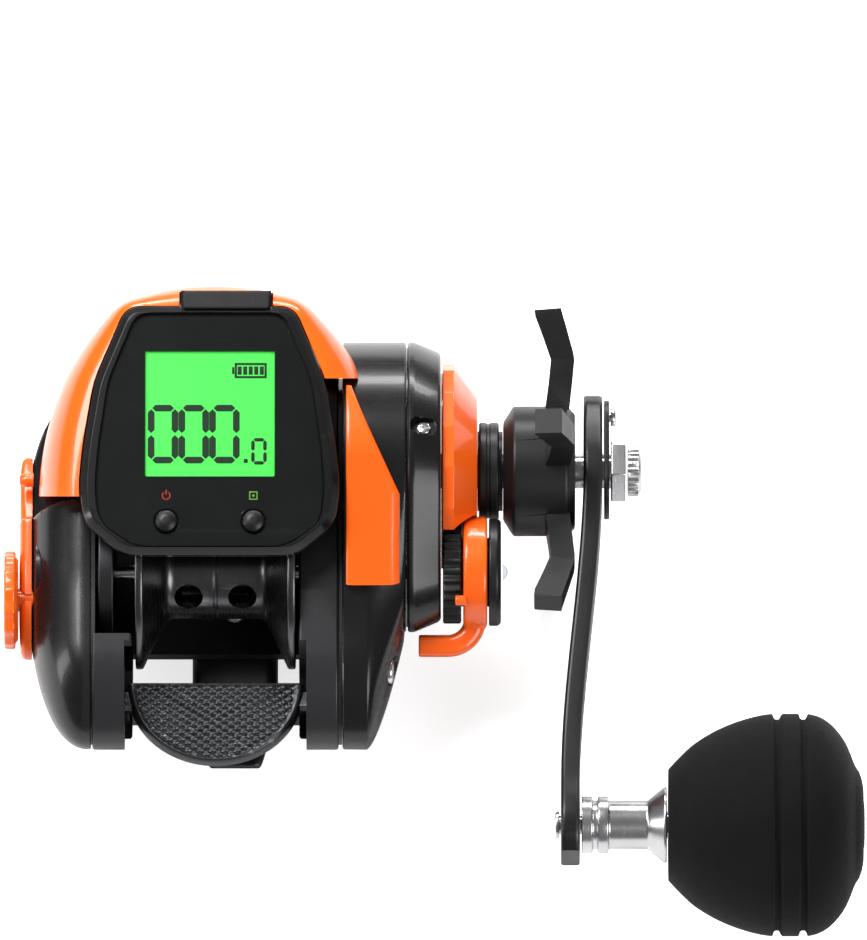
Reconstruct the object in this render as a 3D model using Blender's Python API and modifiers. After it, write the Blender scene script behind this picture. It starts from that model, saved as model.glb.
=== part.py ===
"""Digital baitcasting reel, built as an assembly of separate pieces.

The reel's own frame: +X toward the handle side, +Y toward the nose where the line leaves,
+Z up. The origin lies on the flat underside of the reel foot, below the spool's centre.
All lengths are in metres.
"""

import math

import bmesh
import bpy
import numpy as np

MM = 0.001

# Clearances and cuts
SEAT_GAP = 0.3 * MM            # between pieces that sit against each other
RUN_GAP = 0.35 * MM            # round a piece that turns or slides
CUT_OVERRUN = 3.0 * MM         # how far a cutter passes the face it opens

# Main axes, in the side view of the reel
AXIS_HEIGHT = 23.5 * MM        # spool axis above the underside of the foot
HANDLE_REACH = 19.5 * MM       # drive shaft in front of the spool axis
WORM_REACH = 27.5 * MM         # level wind screw in front of the spool axis
WORM_DROP = 2.5 * MM           # level wind screw below the spool axis
PHOTO_LEAN = math.radians(25)  # slant of the seams between the hood and the side plates

# Spool
SPOOL_FLANGE_RADIUS = 17.0 * MM
SPOOL_FLANGE_THICKNESS = 1.3 * MM
SPOOL_ARBOR_RADIUS = 8.2 * MM
SPOOL_FLARE_WIDTH = 5.4 * MM   # from the end of the arbor to the outer face of a flange
SPOOL_WALL = 1.3 * MM
SPOOL_WEB_HALF = 1.1 * MM
SPOOL_HUB_RADIUS = 4.0 * MM
SPOOL_HUB_HALF = 6.0 * MM
SPOOL_HOLE_RADIUS = 2.5 * MM
SPOOL_HOLE_OFFSET = 4.7 * MM
SPOOL_HOLE_COUNT = 5
SPOOL_HOLE_PHASE = math.radians(32.5)
SPOOL_SHAFT_RADIUS = 1.2 * MM
SPOOL_PIN_RADIUS = 0.7 * MM
SPOOL_PIN_HALF = 1.9 * MM
SPOOL_SHAFT_REACH = 5.6 * MM   # past the outer face of the handle side plate

# Display
DISPLAY_CENTRE_X = -0.9 * MM
DISPLAY_REAR_Y = -5.7 * MM     # lower edge of the face
DISPLAY_REAR_RISE = 20.0 * MM  # lower edge of the face above the spool axis
DISPLAY_TILT = math.radians(15)
DISPLAY_LENGTH = 44.0 * MM
DISPLAY_OVERHANG = 1.2 * MM    # of its sides over the walls of the frame
DISPLAY_THICKNESS = 9.0 * MM
DISPLAY_RIM_BEVEL = 1.3 * MM
DISPLAY_CORNER = 2.6 * MM
DISPLAY_WALL = 2.0 * MM
SPOOL_ARCH_GAP = 0.8 * MM
# Half outline of the face, in shares of its half width and of its length
DISPLAY_OUTLINE_SHARES = ((0.66, 0.0), (0.965, 0.13), (1.0, 0.27), (0.97, 0.44), (0.885, 0.7), (0.64, 1.0))
LENS_SIDE_RIM = 2.8 * MM
LENS_END_RIM = 1.5 * MM
LENS_THICKNESS = 1.2 * MM
LENS_SINK = 0.25 * MM
LCD_WIDTH = 22.6 * MM
LCD_LENGTH = 22.2 * MM
LCD_THICKNESS = 1.2 * MM
LCD_CENTRE = 25.0 * MM         # centre of the LCD above the lower edge of the face
BOARD_WIDTH = 27.0 * MM
BOARD_LENGTH = 22.0 * MM
BOARD_THICKNESS = 0.8 * MM
BATTERY_WIDTH = 16.0 * MM
BATTERY_LENGTH = 14.0 * MM
BATTERY_THICKNESS = 1.9 * MM
BUTTON_RADIUS = 1.9 * MM
BUTTON_HEIGHT = 1.6 * MM
BUTTON_DOME = 0.45 * MM
BUTTON_SINK = 0.1 * MM         # rim of a button below the face
BUTTON_WELL = 2.7 * MM
BUTTON_SPACING = 7.6 * MM      # each side of the centre line
BUTTON_REAR = 5.9 * MM         # from the lower edge of the face
TONGUE_REACH = 2.9 * MM        # port block, past the front end of the face
TONGUE_WIDTH = 15.8 * MM
TONGUE_TOP_DROP = 1.5 * MM
TONGUE_DEPTH = 8.0 * MM
PORT_CENTRE_X = 2.8 * MM       # from the centre line of the display
SOCKET_WIDTH = 7.6 * MM
SOCKET_HEIGHT = 2.6 * MM
SOCKET_DEPTH = 5.0 * MM
SOCKET_WALL = 0.45 * MM
USB_COVER_WIDTH = 15.0 * MM
USB_COVER_LENGTH = 3.1 * MM
USB_COVER_THICKNESS = 1.1 * MM
USB_COVER_EDGE = 0.3 * MM
USB_COVER_SETBACK = 0.5 * MM   # its hinge edge, behind the front end of the face
USB_PLUG_DEPTH = 0.6 * MM

# Frame
FRAME_FLANGE_GAP = 0.6 * MM    # between a spool flange and the frame's wall
FRAME_HALF_WIDTH = 21.5 * MM
FRAME_WALL = 6.9 * MM          # each side wall, with its pocket
FRAME_WEB = 3.0 * MM
FRAME_RIM = 2.2 * MM
FRAME_TOP_FRONT = 27.0 * MM    # where the walls' top turns down to the nose
FRAME_NOSE_RISE = 8.0 * MM
BODY_REAR = 33.0 * MM
BODY_FRONT = 35.0 * MM
BODY_DEPTH = 20.3 * MM
BODY_SHOULDER_RISE = 6.0 * MM
BODY_CORNER = 8.0 * MM
FLOOR_TOP_DROP = 18.0 * MM     # floor under the spool, below the spool axis
FLOOR_THICKNESS = 2.1 * MM
FLOOR_REAR = 7.6 * MM
FLOOR_FRONT = 28.0 * MM
BRIDGE_DEPTH = 5.0 * MM
BRIDGE_HEIGHT = 4.0 * MM
FRONT_BRIDGE_SETBACK = 6.0 * MM     # centre of the bridge, behind the front of the body
FRONT_BRIDGE_REACH = BODY_FRONT - FRONT_BRIDGE_SETBACK
FRONT_BRIDGE_DROP = 16.3 * MM
REAR_BRIDGE_REACH = 18.5 * MM
REAR_BRIDGE_DROP = 16.6 * MM
# Lower edge and rear of the body, in shares of its reach front or rear and of its depth
BODY_LOWER_SHARES = ((1.0, -0.42), (0.84, -0.9), (-0.36, -1.0), (-0.82, -0.71), (-1.0, -0.17))
SHOULDER_REACH_SHARE = 0.73
FRAME_OPENING_CLEARANCE = 0.4 * MM
PINION_OPENING = 3.9 * MM
THUMB_POCKET_GAP = 0.5 * MM    # beside the thumb bar
THUMB_POCKET_FRONT = 16.6 * MM

# Foot
FOOT_CENTRE_X = 3.3 * MM
FOOT_WIDTH = 15.0 * MM
FOOT_REAR = 27.0 * MM
FOOT_FRONT = 35.0 * MM
FOOT_TIP_WIDTH = 9.0 * MM
FOOT_TIP_THICKNESS = 1.3 * MM
FOOT_TAPER = 13.0 * MM
RIVET_RADIUS = 1.5 * MM
RIVET_HEAD_RADIUS = 2.6 * MM
RIVET_HEAD_HEIGHT = 0.5 * MM
RIVET_SPACING = 16.0 * MM
RIVET_CENTRE_Y = 9.0 * MM

# Side plates
PALM_DEPTH = 11.6 * MM
PALM_WALL = 2.0 * MM
PALM_CENTRE_Y = 8.0 * MM
PALM_CENTRE_DROP = 5.0 * MM
PALM_ROUNDNESS = 2.3
PALM_TURNS = 5
PALM_TOP_TURN = math.radians(78)
HANDLE_PLATE_GAP = 0.7 * MM    # between the frame and the side plate
HANDLE_PLATE_WIDTH = 11.1 * MM
HANDLE_PLATE_FULL_SHARE = 0.38  # share of its width that keeps the full outline
HANDLE_PLATE_WALL = 2.0 * MM
HOUSING_RADIUS = 21.75 * MM
HOUSING_ARC_START = math.radians(112)
HOUSING_ARC_END = math.radians(-88)
HOUSING_CENTRE_Y = 20.2 * MM
HOUSING_CENTRE_RISE = 0.6 * MM
HOUSING_TAIL_RADIUS = 10.5 * MM
HOUSING_DEPTH = 5.8 * MM
HOUSING_CHAMFER = 2.1 * MM
HOUSING_CHAMFER_DEPTH = 4.7 * MM
HOUSING_WALL = 2.0 * MM
TRIM_THICKNESS = 1.8 * MM
TRIM_WIDTH = 9.4 * MM
TRIM_FRONT_ANGLE = 49         # in degrees about the middle of the side plate
TRIM_REAR_ANGLE = 137
TRIM_START = 0.6 * MM          # from the inner face of the handle side plate
INLAY_THICKNESS = 0.9 * MM
INLAY_LEVELS = 2               # topmost levels of the dome that the inlay covers
SCREW_RADIUS = 1.2 * MM
SCREW_HEAD_RADIUS = 2.3 * MM
SCREW_HEAD_HEIGHT = 1.3 * MM
SCREW_LENGTH = 5.0 * MM
SCREW_REACH = 19.0 * MM        # behind the spool axis
SCREW_SETBACK = 2.1 * MM       # under the outer face of the side plate

# Hood
HOOD_HALF_WIDTH = 31.0 * MM
HOOD_CENTRE_Y = 10.0 * MM
HOOD_NOSE_REACH = 7.4 * MM     # nose of the hood, ahead of the port block
HOOD_LENGTH = (
    DISPLAY_REAR_Y + (DISPLAY_LENGTH + TONGUE_REACH) * math.cos(DISPLAY_TILT) + HOOD_NOSE_REACH - HOOD_CENTRE_Y
)
HOOD_PLAN_ROUNDNESS = 2.2
HOOD_SHOULDER_ROUNDNESS = 2.4
HOOD_BASE_RISE = 3.0 * MM      # where the upright skirt turns into the shoulder
HOOD_RIM_DROP = 8.0 * MM       # lowest edge, under the nose
HOOD_WALL = 1.8 * MM
HOOD_LIP_DROP = 1.6 * MM       # top edge of the hood below the display's face
HOOD_SIDE_RISE = 1.2 * MM      # lower edge of the left wing, above the spool axis
HOOD_SIDE_FRONT = 35.8 * MM    # where the lower edge drops to the nose rim
HOOD_LEVEL_SHARES = (0.0, 0.25, 0.48, 0.68, 0.85, 1.0)
HOOD_LEFT_SEAM = 13.3 * MM     # slanted seams, measured along the lean from the spool axis
HOOD_RIGHT_SEAM = 33.9 * MM
HOOD_START_TURN = math.radians(-28)
HOOD_END_TURN = math.radians(208)
WINDOW_HALF_WIDTH = 11.0 * MM
WINDOW_BASE = 1.0 * MM
WINDOW_HEIGHT = 11.0 * MM

# Thumb bar
THUMB_OVERLAP = 0.8 * MM       # of the bar with each wall of the frame
THUMB_FRONT = 18.5 * MM
THUMB_REACH = 14.5 * MM
THUMB_TOP_DROP = 5.6 * MM
THUMB_THICKNESS = 4.2 * MM
THUMB_FALL = 1.6 * MM          # how far the crowned top drops toward the rear
THUMB_EDGE = 0.9 * MM
THUMB_TRAVEL = 3.5 * MM
THUMB_LUG_DEPTH = 2.6 * MM
THUMB_LUG_HEIGHT = 2.2 * MM
THUMB_LUG_REACH = 1.5 * MM
THUMB_LUG_REAR = 21.4 * MM

# Gears
MAIN_TEETH = 72
PINION_TEETH = 10
COG_TEETH = 22
TOOTH_ADDENDUM_SHARE = 0.8     # of the module
TOOTH_DEDENDUM_SHARE = 0.95
TOOTH_ROOT_SHARE = 0.5         # of the pitch
TOOTH_TIP_SHARE = 0.2
MAIN_GEAR_REACH = 2.8 * MM     # past the wall of the frame
MAIN_GEAR_WIDTH = 2.4 * MM
PINION_REACH = 0.4 * MM        # past the wall of the frame
PINION_TOOTH_LENGTH = 6.2 * MM
PINION_SLOT_DEPTH = 1.7 * MM
PINION_GROOVE_LENGTH = 1.4 * MM
PINION_GROOVE_RADIUS = 2.5 * MM
PINION_HEAD_RADIUS = 3.6 * MM
PINION_HEAD_LENGTH = 1.4 * MM
COG_SINK = 3.3 * MM            # in the pocket of the wall
COG_WIDTH = 2.0 * MM
RATCHET_REACH = 1.0 * MM       # past the wall of the frame
RATCHET_WIDTH = 1.0 * MM
RATCHET_TEETH = 16
RATCHET_RADIUS = 9.0 * MM
RATCHET_TOOTH = 1.4 * MM

# Drive
DRIVE_SHAFT_RADIUS = 3.0 * MM
DRIVE_SHAFT_SETBACK = 0.4 * MM  # from the inner face of the wall
DRIVE_COLLAR_RADIUS = 4.4 * MM
SHAFT_BEARING_RADIUS = 5.0 * MM
SHAFT_BEARING_WIDTH = 2.4 * MM
WASHER_RADIUS = 13.5 * MM
WASHER_THICKNESS = 1.0 * MM
PRESSURE_PLATE_RADIUS = 13.0 * MM
PRESSURE_PLATE_THICKNESS = 1.5 * MM
ONE_WAY_RADIUS = 7.5 * MM
ONE_WAY_WIDTH = 3.4 * MM
YOKE_THICKNESS = 0.8 * MM
YOKE_HALF_HEIGHT = 7.8 * MM
YOKE_REAR = 5.5 * MM
YOKE_CORNER_CUT = 2.0 * MM
YOKE_FRONT = 2.0 * MM
YOKE_POST_Y = -2.4 * MM
YOKE_POST_RISE = 5.6 * MM
YOKE_POST_RADIUS = 1.2 * MM

# Level wind
WORM_RADIUS = 2.3 * MM
WORM_JOURNAL_RADIUS = 1.4 * MM
WORM_END_GAP = 1.2 * MM        # between the thread and the wall of the frame
GUARD_RADIUS = 4.0 * MM
GUARD_BORE = 3.0 * MM
GUARD_SLOT = 4.4 * MM
GUARD_SLOT_SETBACK = 2.2 * MM  # from the wall of the frame
GUIDE_ROD_RADIUS = 1.4 * MM
GUIDE_ROD_DROP = 8.2 * MM      # below the level wind screw
GUIDE_BODY_WIDTH = 8.6 * MM
GUIDE_BODY_RADIUS = 5.8 * MM
GUIDE_STEM_DEPTH = 4.0 * MM
GUIDE_STEM_WALL = 1.2 * MM
EYE_RISE = 9.6 * MM            # centre of the eye above the level wind screw
EYE_RADIUS = 3.0 * MM
EYE_BORE = 1.9 * MM
EYE_RIM = 0.5 * MM
PAWL_RADIUS = 1.2 * MM

# Drag cover, collar and star
HOUSING_GAP = 0.35 * MM        # between the gear housing and what turns or sits on it
DRAG_COVER_DEPTH = 6.0 * MM
DRAG_COVER_RADIUS = 18.8 * MM
DRAG_COVER_TOP_RADIUS = 13.0 * MM
DRAG_COVER_SHOULDER = 1.9 * MM
DRAG_COVER_SIDES = 16
COLLAR_RADIUS = 8.55 * MM
COLLAR_LENGTH = 3.5 * MM
STAR_GAP = 0.75 * MM           # between the collar and the hub
STAR_HUB_LENGTH = 12.6 * MM
STAR_HUB_RADIUS = 11.4 * MM
STAR_HUB_FOOT_RADIUS = 8.6 * MM
STAR_ARM_COUNT = 5
STAR_ARM_REACH = 29.2 * MM
STAR_ARM_ROOT = 7.0 * MM
STAR_ARM_SETBACK = 3.1 * MM    # root of an arm, under the outer face of the hub
STAR_ARM_RISE = 1.3 * MM       # how far the middle of an arm stands out
STAR_ARM_FALL = 2.6 * MM       # how far its tip bends back to the reel
STAR_ARM_THICK = 2.7 * MM
STAR_ARM_THIN = 2.1 * MM
STAR_FOOT_LENGTH = 1.8 * MM

# Tension knob and its guard
TENSION_RIDGED_LENGTH = 3.2 * MM
TENSION_RIDGED_RADIUS = 9.0 * MM
TENSION_RIDGE = 0.5 * MM
TENSION_RIDGE_COUNT = 16
TENSION_NECK_RADIUS = 6.0 * MM
TENSION_NECK_LENGTH = 4.85 * MM
TENSION_DISC_LENGTH = 2.1 * MM
TENSION_DISC_RADIUS = 9.4 * MM
TENSION_EDGE = 0.5 * MM
TENSION_CAP_RADIUS = 1.4 * MM
TENSION_CAP_LENGTH = 0.9 * MM
GUARD_RING_GAP = 0.35 * MM     # between the ridged rim and the ring
GUARD_RING_LENGTH = 4.2 * MM
GUARD_RING_RADIUS = 9.7 * MM
GUARD_RING_BORE = 6.5 * MM
GUARD_LEG_RADIUS = 2.0 * MM
GUARD_LEG_REACH = 12.9 * MM
GUARD_FOOT_REACH = 3.0 * MM    # from the inner face of the gear housing

# Crank
ARM_THICKNESS = 3.3 * MM
ARM_GAP = 1.5 * MM             # between the star and the crank arm
ARM_REACH = 68.0 * MM          # drive shaft to knob spindle
ARM_BACK_REACH = 13.5 * MM
ARM_HUB_WIDTH = 14.0 * MM
ARM_WAIST_WIDTH = 9.0 * MM
ARM_WAIST_START_SHARE = 0.4
ARM_WAIST_END_SHARE = 0.75
ARM_TIP_WIDTH = 13.0 * MM
ARM_BACK_WIDTH = 9.0 * MM
ARM_OFFSET = 4.1 * MM          # how far the knob end stands in toward the reel
ARM_TIP_REACH = 6.3 * MM
ARM_STATIONS = 12
OUTER_PLATE_THICKNESS = 0.9 * MM
OUTER_PLATE_FRONT = 12.8 * MM
OUTER_PLATE_REAR = 8.4 * MM
OUTER_PLATE_WIDTH = 11.6 * MM
NUT_ACROSS = 10.2 * MM
NUT_SIDES = 6
NUT_LENGTH = 2.6 * MM
NUT_CAP_RADIUS = 4.4 * MM
NUT_CAP_LENGTH = 2.5 * MM
LOCK_SCREW_REACH = 10.4 * MM
LOCK_SCREW_RADIUS = 1.6 * MM
LOCK_SCREW_HEIGHT = 1.1 * MM

# Knob, stations measured from the outer face of the arm's knob end
SPINDLE_RADIUS = 1.6 * MM
SPINDLE_HEAD_RADIUS = 2.4 * MM
SPINDLE_HEAD = 0.7 * MM
FERRULE_RING_RADIUS = 5.0 * MM
FERRULE_RING_LENGTH = 4.6 * MM
FERRULE_STEM_RADIUS = 4.2 * MM
FERRULE_STEM_LENGTH = 7.0 * MM
FERRULE_FLARE_RADIUS = 6.6 * MM
FERRULE_FLARE_LENGTH = 3.2 * MM
FERRULE_GROOVE = 0.5 * MM
FERRULE_SLEEVE_RADIUS = 2.3 * MM
FERRULE_SLEEVE_LENGTH = 22.0 * MM
GRIP_LENGTH = 32.6 * MM
GRIP_RADIUS = 19.4 * MM
GRIP_GROOVE_DEPTH = 1.0 * MM
GRIP_GROOVE_SLOPE = 0.2 * MM
# Grip outline: shares of its length from the ferrule, and of its largest radius
GRIP_OUTLINE_SHARES = (
    (0.0, 0.5), (0.05, 0.59), (0.14, 0.73), (0.27, 0.86), (0.42, 0.955), (0.56, 1.0), (0.74, 1.0),
    (0.85, 0.93), (0.94, 0.76), (1.0, 0.53),
)
GRIP_GROOVE_SHARES = ((0.56, 0.6), (0.7, 0.74))
KNOB_CAP_RADIUS = 5.8 * MM
KNOB_CAP_LENGTH = 1.3 * MM
KNOB_CAP_PLUG = 4.0 * MM

# Bearings and brake
SPOOL_BEARING_RADIUS = 4.5 * MM
SPOOL_BEARING_WIDTH = 2.5 * MM
PALM_BEARING_REACH = 4.8 * MM  # past the inner face of the palm side plate
PALM_BOSS_RADIUS = 6.2 * MM
BRAKE_RING_RADIUS = 13.0 * MM
BRAKE_RING_WIDTH = 2.6 * MM
BRAKE_RING_SINK = 1.1 * MM     # in the pocket of the wall
BRAKE_DIAL_RADIUS = 8.6 * MM
BRAKE_DIAL_WIDTH = 2.0 * MM
BRAKE_DIAL_Y = -5.4 * MM
BRAKE_DIAL_RIBS = 14
BRAKE_DIAL_RIB = 0.45 * MM
BRAKE_STEM_RADIUS = 2.0 * MM
BRAKE_STEM_LENGTH = 1.6 * MM

# Derived sizes and places that more than one piece uses
GEAR_MODULE = 2 * HANDLE_REACH / (MAIN_TEETH + PINION_TEETH)
COG_MODULE = math.hypot(WORM_REACH - HANDLE_REACH, WORM_DROP) / COG_TEETH
SPOOL_BORE = SPOOL_SHAFT_RADIUS + SEAT_GAP
DRIVE_BORE = DRIVE_SHAFT_RADIUS + SEAT_GAP
BOARD_TOP = -(LENS_SINK + LENS_THICKNESS + LCD_THICKNESS + 2 * SEAT_GAP)
BATTERY_TOP = BOARD_TOP - BOARD_THICKNESS - SEAT_GAP
FOOT_TOP = AXIS_HEIGHT - FLOOR_TOP_DROP - FLOOR_THICKNESS - SEAT_GAP
FRAME_WALL_START = FRAME_HALF_WIDTH - FRAME_WALL
DISPLAY_HALF_WIDTH = FRAME_HALF_WIDTH + DISPLAY_OVERHANG
SPOOL_HALF_WIDTH = FRAME_WALL_START - FRAME_FLANGE_GAP
SPOOL_ARBOR_HALF = SPOOL_HALF_WIDTH - SPOOL_FLARE_WIDTH
THUMB_HALF_WIDTH = FRAME_WALL_START + THUMB_OVERLAP
THUMB_POCKET_HALF = THUMB_HALF_WIDTH + THUMB_POCKET_GAP
WORM_BODY_HALF = FRAME_WALL_START - WORM_END_GAP
GUARD_SLOT_HALF = FRAME_WALL_START - GUARD_SLOT_SETBACK
DISPLAY_SLOPE = math.tan(DISPLAY_TILT)
PALM_FACE = FRAME_HALF_WIDTH + SEAT_GAP
PALM_BEARING_START = -(PALM_FACE + PALM_BEARING_REACH)
BRAKE_RING_START = -(FRAME_HALF_WIDTH - BRAKE_RING_SINK)
DRIVE_SHAFT_START = FRAME_WALL_START + DRIVE_SHAFT_SETBACK
COG_START = FRAME_HALF_WIDTH - COG_SINK
PINION_START = FRAME_HALF_WIDTH + PINION_REACH
RATCHET_START = FRAME_HALF_WIDTH + RATCHET_REACH
MAIN_GEAR_START = FRAME_HALF_WIDTH + MAIN_GEAR_REACH
HANDLE_PLATE_START = FRAME_HALF_WIDTH + HANDLE_PLATE_GAP
HANDLE_PLATE_END = HANDLE_PLATE_START + HANDLE_PLATE_WIDTH
SCREW_FACE = HANDLE_PLATE_END - SCREW_SETBACK
SPOOL_SHAFT_END = HANDLE_PLATE_END + SPOOL_SHAFT_REACH
GEAR_HOUSING_START = HANDLE_PLATE_END + SEAT_GAP
GUARD_FOOT_X = GEAR_HOUSING_START + GUARD_FOOT_REACH
DRAG_COVER_START = GEAR_HOUSING_START + HOUSING_DEPTH + HOUSING_GAP
TENSION_START = DRAG_COVER_START
GUARD_RING_START = TENSION_START + TENSION_RIDGED_LENGTH + GUARD_RING_GAP
TENSION_DISC_START = TENSION_START + TENSION_RIDGED_LENGTH + TENSION_NECK_LENGTH
STAR_START = DRAG_COVER_START + DRAG_COVER_DEPTH + SEAT_GAP + COLLAR_LENGTH + STAR_GAP
STAR_END = STAR_START + STAR_HUB_LENGTH
STAR_ARM_STATION = STAR_END - STAR_ARM_SETBACK
ARM_START = STAR_END + ARM_GAP  # inner face of the crank arm at the drive shaft
ARM_KNOB_FACE = ARM_START + ARM_THICKNESS - ARM_OFFSET
FERRULE_START = ARM_KNOB_FACE + SEAT_GAP
GRIP_START = FERRULE_START + FERRULE_RING_LENGTH + FERRULE_STEM_LENGTH + FERRULE_FLARE_LENGTH + SEAT_GAP

# Smoothness
FINE_SIDES = 26
ROUND_SIDES = 16
SMALL_SIDES = 8
POLAR_COUNT = 26
OUTLINE_FILL = 16              # points laid between two corners before an outline is resampled
HULL_FRONT_STEPS = 30
HULL_TAIL_STEPS = 14
HANDLE_PLATE_STAGES = 5
HANDLE_PLATE_EASE = 1.5        # how slowly the side plate leaves its full outline
DOME_STEPS = 5
THUMB_STEPS = 17
FORK_STEPS = 9
STAR_ARM_STEPS = 7
GUARD_LEG_STEPS = 7
CORNER_STEPS = 3
SHARP_ANGLE = math.radians(32)
MERGE_DISTANCE = 0.00001

ORIGIN = (0.0, 0.0, 0.0)
UPRIGHT = (0.0, 0.0, 0.0)
# Turns a shape drawn in X and Y with thickness along Z into the reel's side view (Y, Z, X)
ALONG_X = (math.pi / 2, 0.0, math.pi / 2)
# Turns a shape so that its thickness runs along Y
ALONG_Y = (-math.pi / 2, 0.0, 0.0)

# The pawl's bore is turned so that none of its corners meets a corner of the bores it crosses
PAWL_TURN = (0.0, 0.0, math.pi / SMALL_SIDES / 2)

# Finishes: base colour, metallic, roughness
FINISHES = {
    "graphite_metal": ((0.035, 0.037, 0.042), 0.8, 0.35),
    "black_gloss": ((0.012, 0.012, 0.014), 0.0, 0.22),
    "black_satin": ((0.02, 0.02, 0.022), 0.0, 0.45),
    "orange": ((0.95, 0.14, 0.006), 0.0, 0.3),
    "orange_metal": ((0.9, 0.16, 0.02), 0.7, 0.3),
    "steel": ((0.6, 0.6, 0.6), 1.0, 0.25),
    "dark_steel": ((0.2, 0.2, 0.21), 1.0, 0.3),
    "brass": ((0.72, 0.5, 0.2), 1.0, 0.3),
    "foam": ((0.018, 0.018, 0.019), 0.0, 0.85),
    "rubber": ((0.02, 0.02, 0.02), 0.0, 0.7),
    "lens": ((0.01, 0.01, 0.012), 0.0, 0.06),
    "lcd_green": ((0.1, 0.75, 0.12), 0.0, 0.35),
    "board_green": ((0.02, 0.2, 0.06), 0.0, 0.5),
    "ceramic": ((0.75, 0.75, 0.72), 0.0, 0.2),
    "clear_tint": ((0.75, 0.78, 0.8), 0.0, 0.1),
    "carbon": ((0.05, 0.05, 0.05), 0.0, 0.6),
}


def clear_scene():
    """Remove whatever objects the open file holds."""
    for obj in list(bpy.data.objects):
        bpy.data.objects.remove(obj, do_unlink=True)


def collection(name):
    """A new collection in the scene."""
    group = bpy.data.collections.new(name)
    bpy.context.scene.collection.children.link(group)
    return group


clear_scene()
REEL = collection("digital_baitcasting_reel")
CUTTERS = collection("cutters")


def empty(name, location, rotation=UPRIGHT, parent=None):
    """A marker that carries pieces, on an axis or a plane of the reel."""
    marker = bpy.data.objects.new(name, None)
    REEL.objects.link(marker)
    marker.parent = parent
    marker.location = location
    marker.rotation_euler = rotation
    marker.empty_display_size = SPOOL_ARBOR_RADIUS
    return marker


def material(name):
    """The finish of that name as a Principled BSDF material."""
    found = bpy.data.materials.get(name)
    if found:
        return found
    colour, metallic, roughness = FINISHES[name]
    made = bpy.data.materials.new(name)
    made.use_nodes = True
    shader = made.node_tree.nodes["Principled BSDF"]
    shader.inputs["Base Color"].default_value = (*colour, 1.0)
    shader.inputs["Metallic"].default_value = metallic
    shader.inputs["Roughness"].default_value = roughness
    made.diffuse_color = (*colour, 1.0)
    return made


def place(mesh, name, finish, parent, location=ORIGIN, rotation=UPRIGHT):
    """Put a mesh in the scene: a piece if it has a finish, otherwise a cutter."""
    obj = bpy.data.objects.new(name, mesh)
    obj.parent = parent
    obj.location = location
    obj.rotation_euler = rotation
    if finish:
        REEL.objects.link(obj)
        mesh.materials.append(material(finish))
        mesh.shade_smooth()
        mesh.set_sharp_from_angle(angle=SHARP_ANGLE)
    else:
        CUTTERS.objects.link(obj)
        obj.hide_render = True
        obj.display_type = "WIRE"
    return obj


def turned(name, profile, finish, parent, sides=ROUND_SIDES, location=ORIGIN, rotation=ALONG_X, closed=False):
    """Turn (station, radius) points about the piece's own axis.

    The profile runs down the outer side from the far station to the near one. A ring's profile
    goes on back along its bore and is closed.
    """
    mesh = bpy.data.meshes.new(name)
    points = [(radius, 0.0, station) for station, radius in profile]
    edges = [(i, i + 1) for i in range(len(points) - 1)]
    if closed:
        edges.append((len(points) - 1, 0))
    mesh.from_pydata(points, edges, [])
    obj = place(mesh, name, finish, parent, location, rotation)
    screw = obj.modifiers.new("turn", "SCREW")
    screw.axis = "Z"
    screw.angle = math.tau
    screw.steps = sides
    screw.render_steps = sides
    screw.use_merge_vertices = True
    screw.merge_threshold = MERGE_DISTANCE
    screw.use_smooth_shade = False
    return obj


def ring_profile(start, end, radius, bore):
    """Profile of a plain ring between two stations."""
    return [(end, radius), (start, radius), (start, bore), (end, bore)]


def rod_profile(start, end, radius):
    """Profile of a plain solid cylinder between two stations."""
    return [(end, 0.0), (end, radius), (start, radius), (start, 0.0)]


def plate(name, outlines, start, end, finish, parent, location=ORIGIN, rotation=ALONG_X):
    """A flat piece between two stations: the first outline less the others."""
    curve = bpy.data.curves.new(name, "CURVE")
    curve.dimensions = "2D"
    curve.fill_mode = "BOTH"
    curve.extrude = (end - start) / 2
    for outline in outlines:
        spline = curve.splines.new("POLY")
        spline.points.add(len(outline) - 1)
        for point, (a, b) in zip(spline.points, outline):
            point.co = (a, b, 0.0, 1.0)
        spline.use_cyclic_u = True
    drawn = bpy.data.objects.new(name + "_drawn", curve)
    CUTTERS.objects.link(drawn)
    mesh = bpy.data.meshes.new_from_object(drawn.evaluated_get(bpy.context.evaluated_depsgraph_get()))
    bpy.data.objects.remove(drawn)
    work = bmesh.new()
    work.from_mesh(mesh)
    bmesh.ops.remove_doubles(work, verts=work.verts, dist=MERGE_DISTANCE)
    bmesh.ops.translate(work, verts=work.verts, vec=(0.0, 0.0, (start + end) / 2))
    bmesh.ops.recalc_face_normals(work, faces=work.faces)
    work.to_mesh(mesh)
    work.free()
    return place(mesh, name, finish, parent, location, rotation)


def loft(name, rings, finish, parent, location=ORIGIN, rotation=UPRIGHT):
    """A closed solid through rings of equally many points, capped at both ends."""
    count = len(rings[0])
    points = np.concatenate([np.asarray(ring, dtype=float) for ring in rings])
    step = np.arange(count)
    following = (step + 1) % count
    faces = []
    for level in range(len(rings) - 1):
        low = level * count
        high = low + count
        faces += np.stack([low + step, low + following, high + following, high + step], axis=1).tolist()
    faces.append(list(range(count))[::-1])
    faces.append(list(range(len(points) - count, len(points))))
    mesh = bpy.data.meshes.new(name)
    mesh.from_pydata(points.tolist(), [], faces)
    work = bmesh.new()
    work.from_mesh(mesh)
    bmesh.ops.triangulate(work, faces=work.faces, quad_method="FIXED")
    bmesh.ops.recalc_face_normals(work, faces=work.faces)
    work.to_mesh(mesh)
    work.free()
    return place(mesh, name, finish, parent, location, rotation)


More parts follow.
